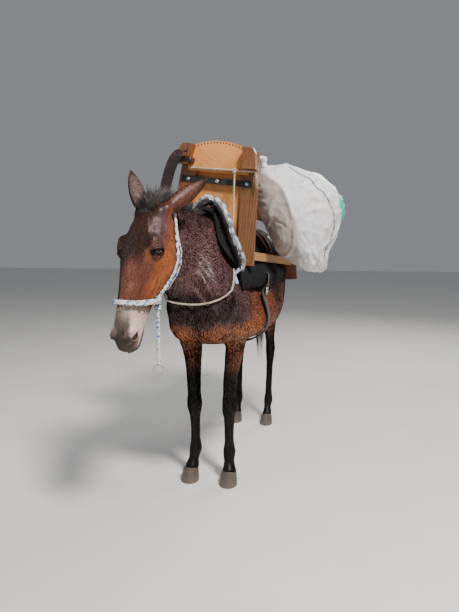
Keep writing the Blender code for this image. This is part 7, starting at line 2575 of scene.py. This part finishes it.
# A tuft: its left and right corner, the one under it, and its tip, on the map and as four triangles
BLADE_CORNERS = np.array([(-0.5, -0.5), (0.5, -0.5), (0.0, -0.3), (0.0, 0.5)])
BLADE_FACES = np.array([(0, 1, 3), (1, 2, 3), (2, 0, 3), (0, 2, 1)])


def add_tufts(name, count, weigh, length_at, width_at, seed, lift=0.1, soften=0.14, swirl=0.05):
    """Sows a region with tufts, in pieces of fewer than 200,000 triangles."""
    roots, normals, draw = skin_samples(count, weigh, seed)
    keep = ~bare_places(roots)
    roots, normals = roots[keep], normals[keep]
    count = len(roots)
    way = lie_of_hair(roots, normals)
    side = np.cross(normals, way)
    turn = (ripple(roots, 0.05, seed + 1) * swirl + draw.normal(0, 0.08, count))[:, None]
    way, side = way * np.cos(turn) + side * np.sin(turn), side * np.cos(turn) - way * np.sin(turn)
    length = (length_at(roots) * draw.uniform(0.65, 1.2, count))[:, None]
    width = (width_at(roots) * draw.uniform(0.7, 1.25, count))[:, None]
    rise = np.abs(draw.normal(lift, 0.05, count))[:, None]
    under = roots - normals * (width * 0.9) + way * length * 0.1
    left, right = roots + side * width / 2 + normals * 0.0001, roots - side * width / 2 + normals * 0.0001
    tip = roots + way * length + normals * rise * length
    points = np.stack([left, right, under, tip], 1)
    colour = markings(roots) * (1 + draw.normal(0, 0.06, count))[:, None]
    # Painted shade and highlight: each tuft is darker at its side corners, darkest at the one under it, and
    # lighter at its tip
    tuft_painted_shading = np.stack([colour * 0.9, colour * 0.9, colour * 0.78, colour * 1.1], 1)
    stray = draw.normal(0, 0.055, (count, 1, 3))
    facing = unit(np.stack([normals + side * soften * 0.6, normals - side * soften * 0.6,
                            -normals * 0.2 + way * -0.4, normals + way * 0.14], 1) + stray)
    spots = map_places(roots)[:, None, :] + (BLADE_CORNERS * PATCH_SIZE)[None]
    made = 0
    pieces = math.ceil(count / COAT_PIECE)
    order = np.argsort(roots[:, 1], kind="stable")
    for piece, chosen in enumerate(np.array_split(order, pieces)):
        faces = (np.arange(len(chosen)) * 4)[:, None, None] + BLADE_FACES[None]
        mesh = mesh_from_arrays(f"{name}_{piece + 1}", points[chosen].reshape(-1, 3),
                                [faces.reshape(-1, 3)])
        give_markings(mesh, np.clip(tuft_painted_shading[chosen], 0.003, 1).reshape(-1, 3))
        give_patches(mesh, spots[chosen].reshape(-1, 2))
        mesh.normals_split_custom_set_from_vertices(facing[chosen].reshape(-1, 3).astype(np.float32))
        dressed(bpy.data.objects.new(mesh.name, mesh), coat_finish, smooth=False)
        made += len(mesh.polygons)
    print(name, "tufts:", count, "triangles:", made, "in", pieces, "pieces")


def face_weight(points):
    on = head_share(points) * (1 - ear_share(points)[0]) > 0.5
    return on * (0.75 + 0.6 * soft(in_head(points)[:, 1], 0.35, 0.5))


def face_length(points):
    _, s, n = in_head(points).T
    fine = soft(s, 0.4, 0.52)
    jaw = (1 - soft(n, -0.21, -0.15)) * (1 - soft(s, 0.26, 0.36))
    return 0.0062 * (1 - fine) + 0.0034 * fine + 0.0035 * jaw


def body_length(points):
    z = points[:, 2]
    low = 1 - soft(z, 0.1, 0.7)
    belly = (1 - soft(z, 0.74, 0.84)) * soft(z, 0.66, 0.7)
    return 0.0135 * (1 - low) + 0.007 * low + 0.004 * belly


def body_weight(points):
    legs = 1 - soft(points[:, 2], 0.45, 0.8)
    front = 1 - soft(points[:, 1], -0.3, 0.3)
    neck = 1 - head_share(points)
    return neck * (0.75 + 1.5 * legs + 0.55 * front) * (neck > 0.05)


add_tufts("coat_face", 56000, face_weight, face_length, lambda p: 0.16 * face_length(p), 91, lift=0.07)
add_tufts("coat_ears", 16000, lambda p: ear_share(p)[0] > 0.5, lambda p: np.full(len(p), 0.0068),
          lambda p: np.full(len(p), 0.001), 92, lift=0.12)
add_tufts("coat_body", 126000, body_weight, body_length, lambda p: 0.185 * body_length(p), 93, lift=0.06)
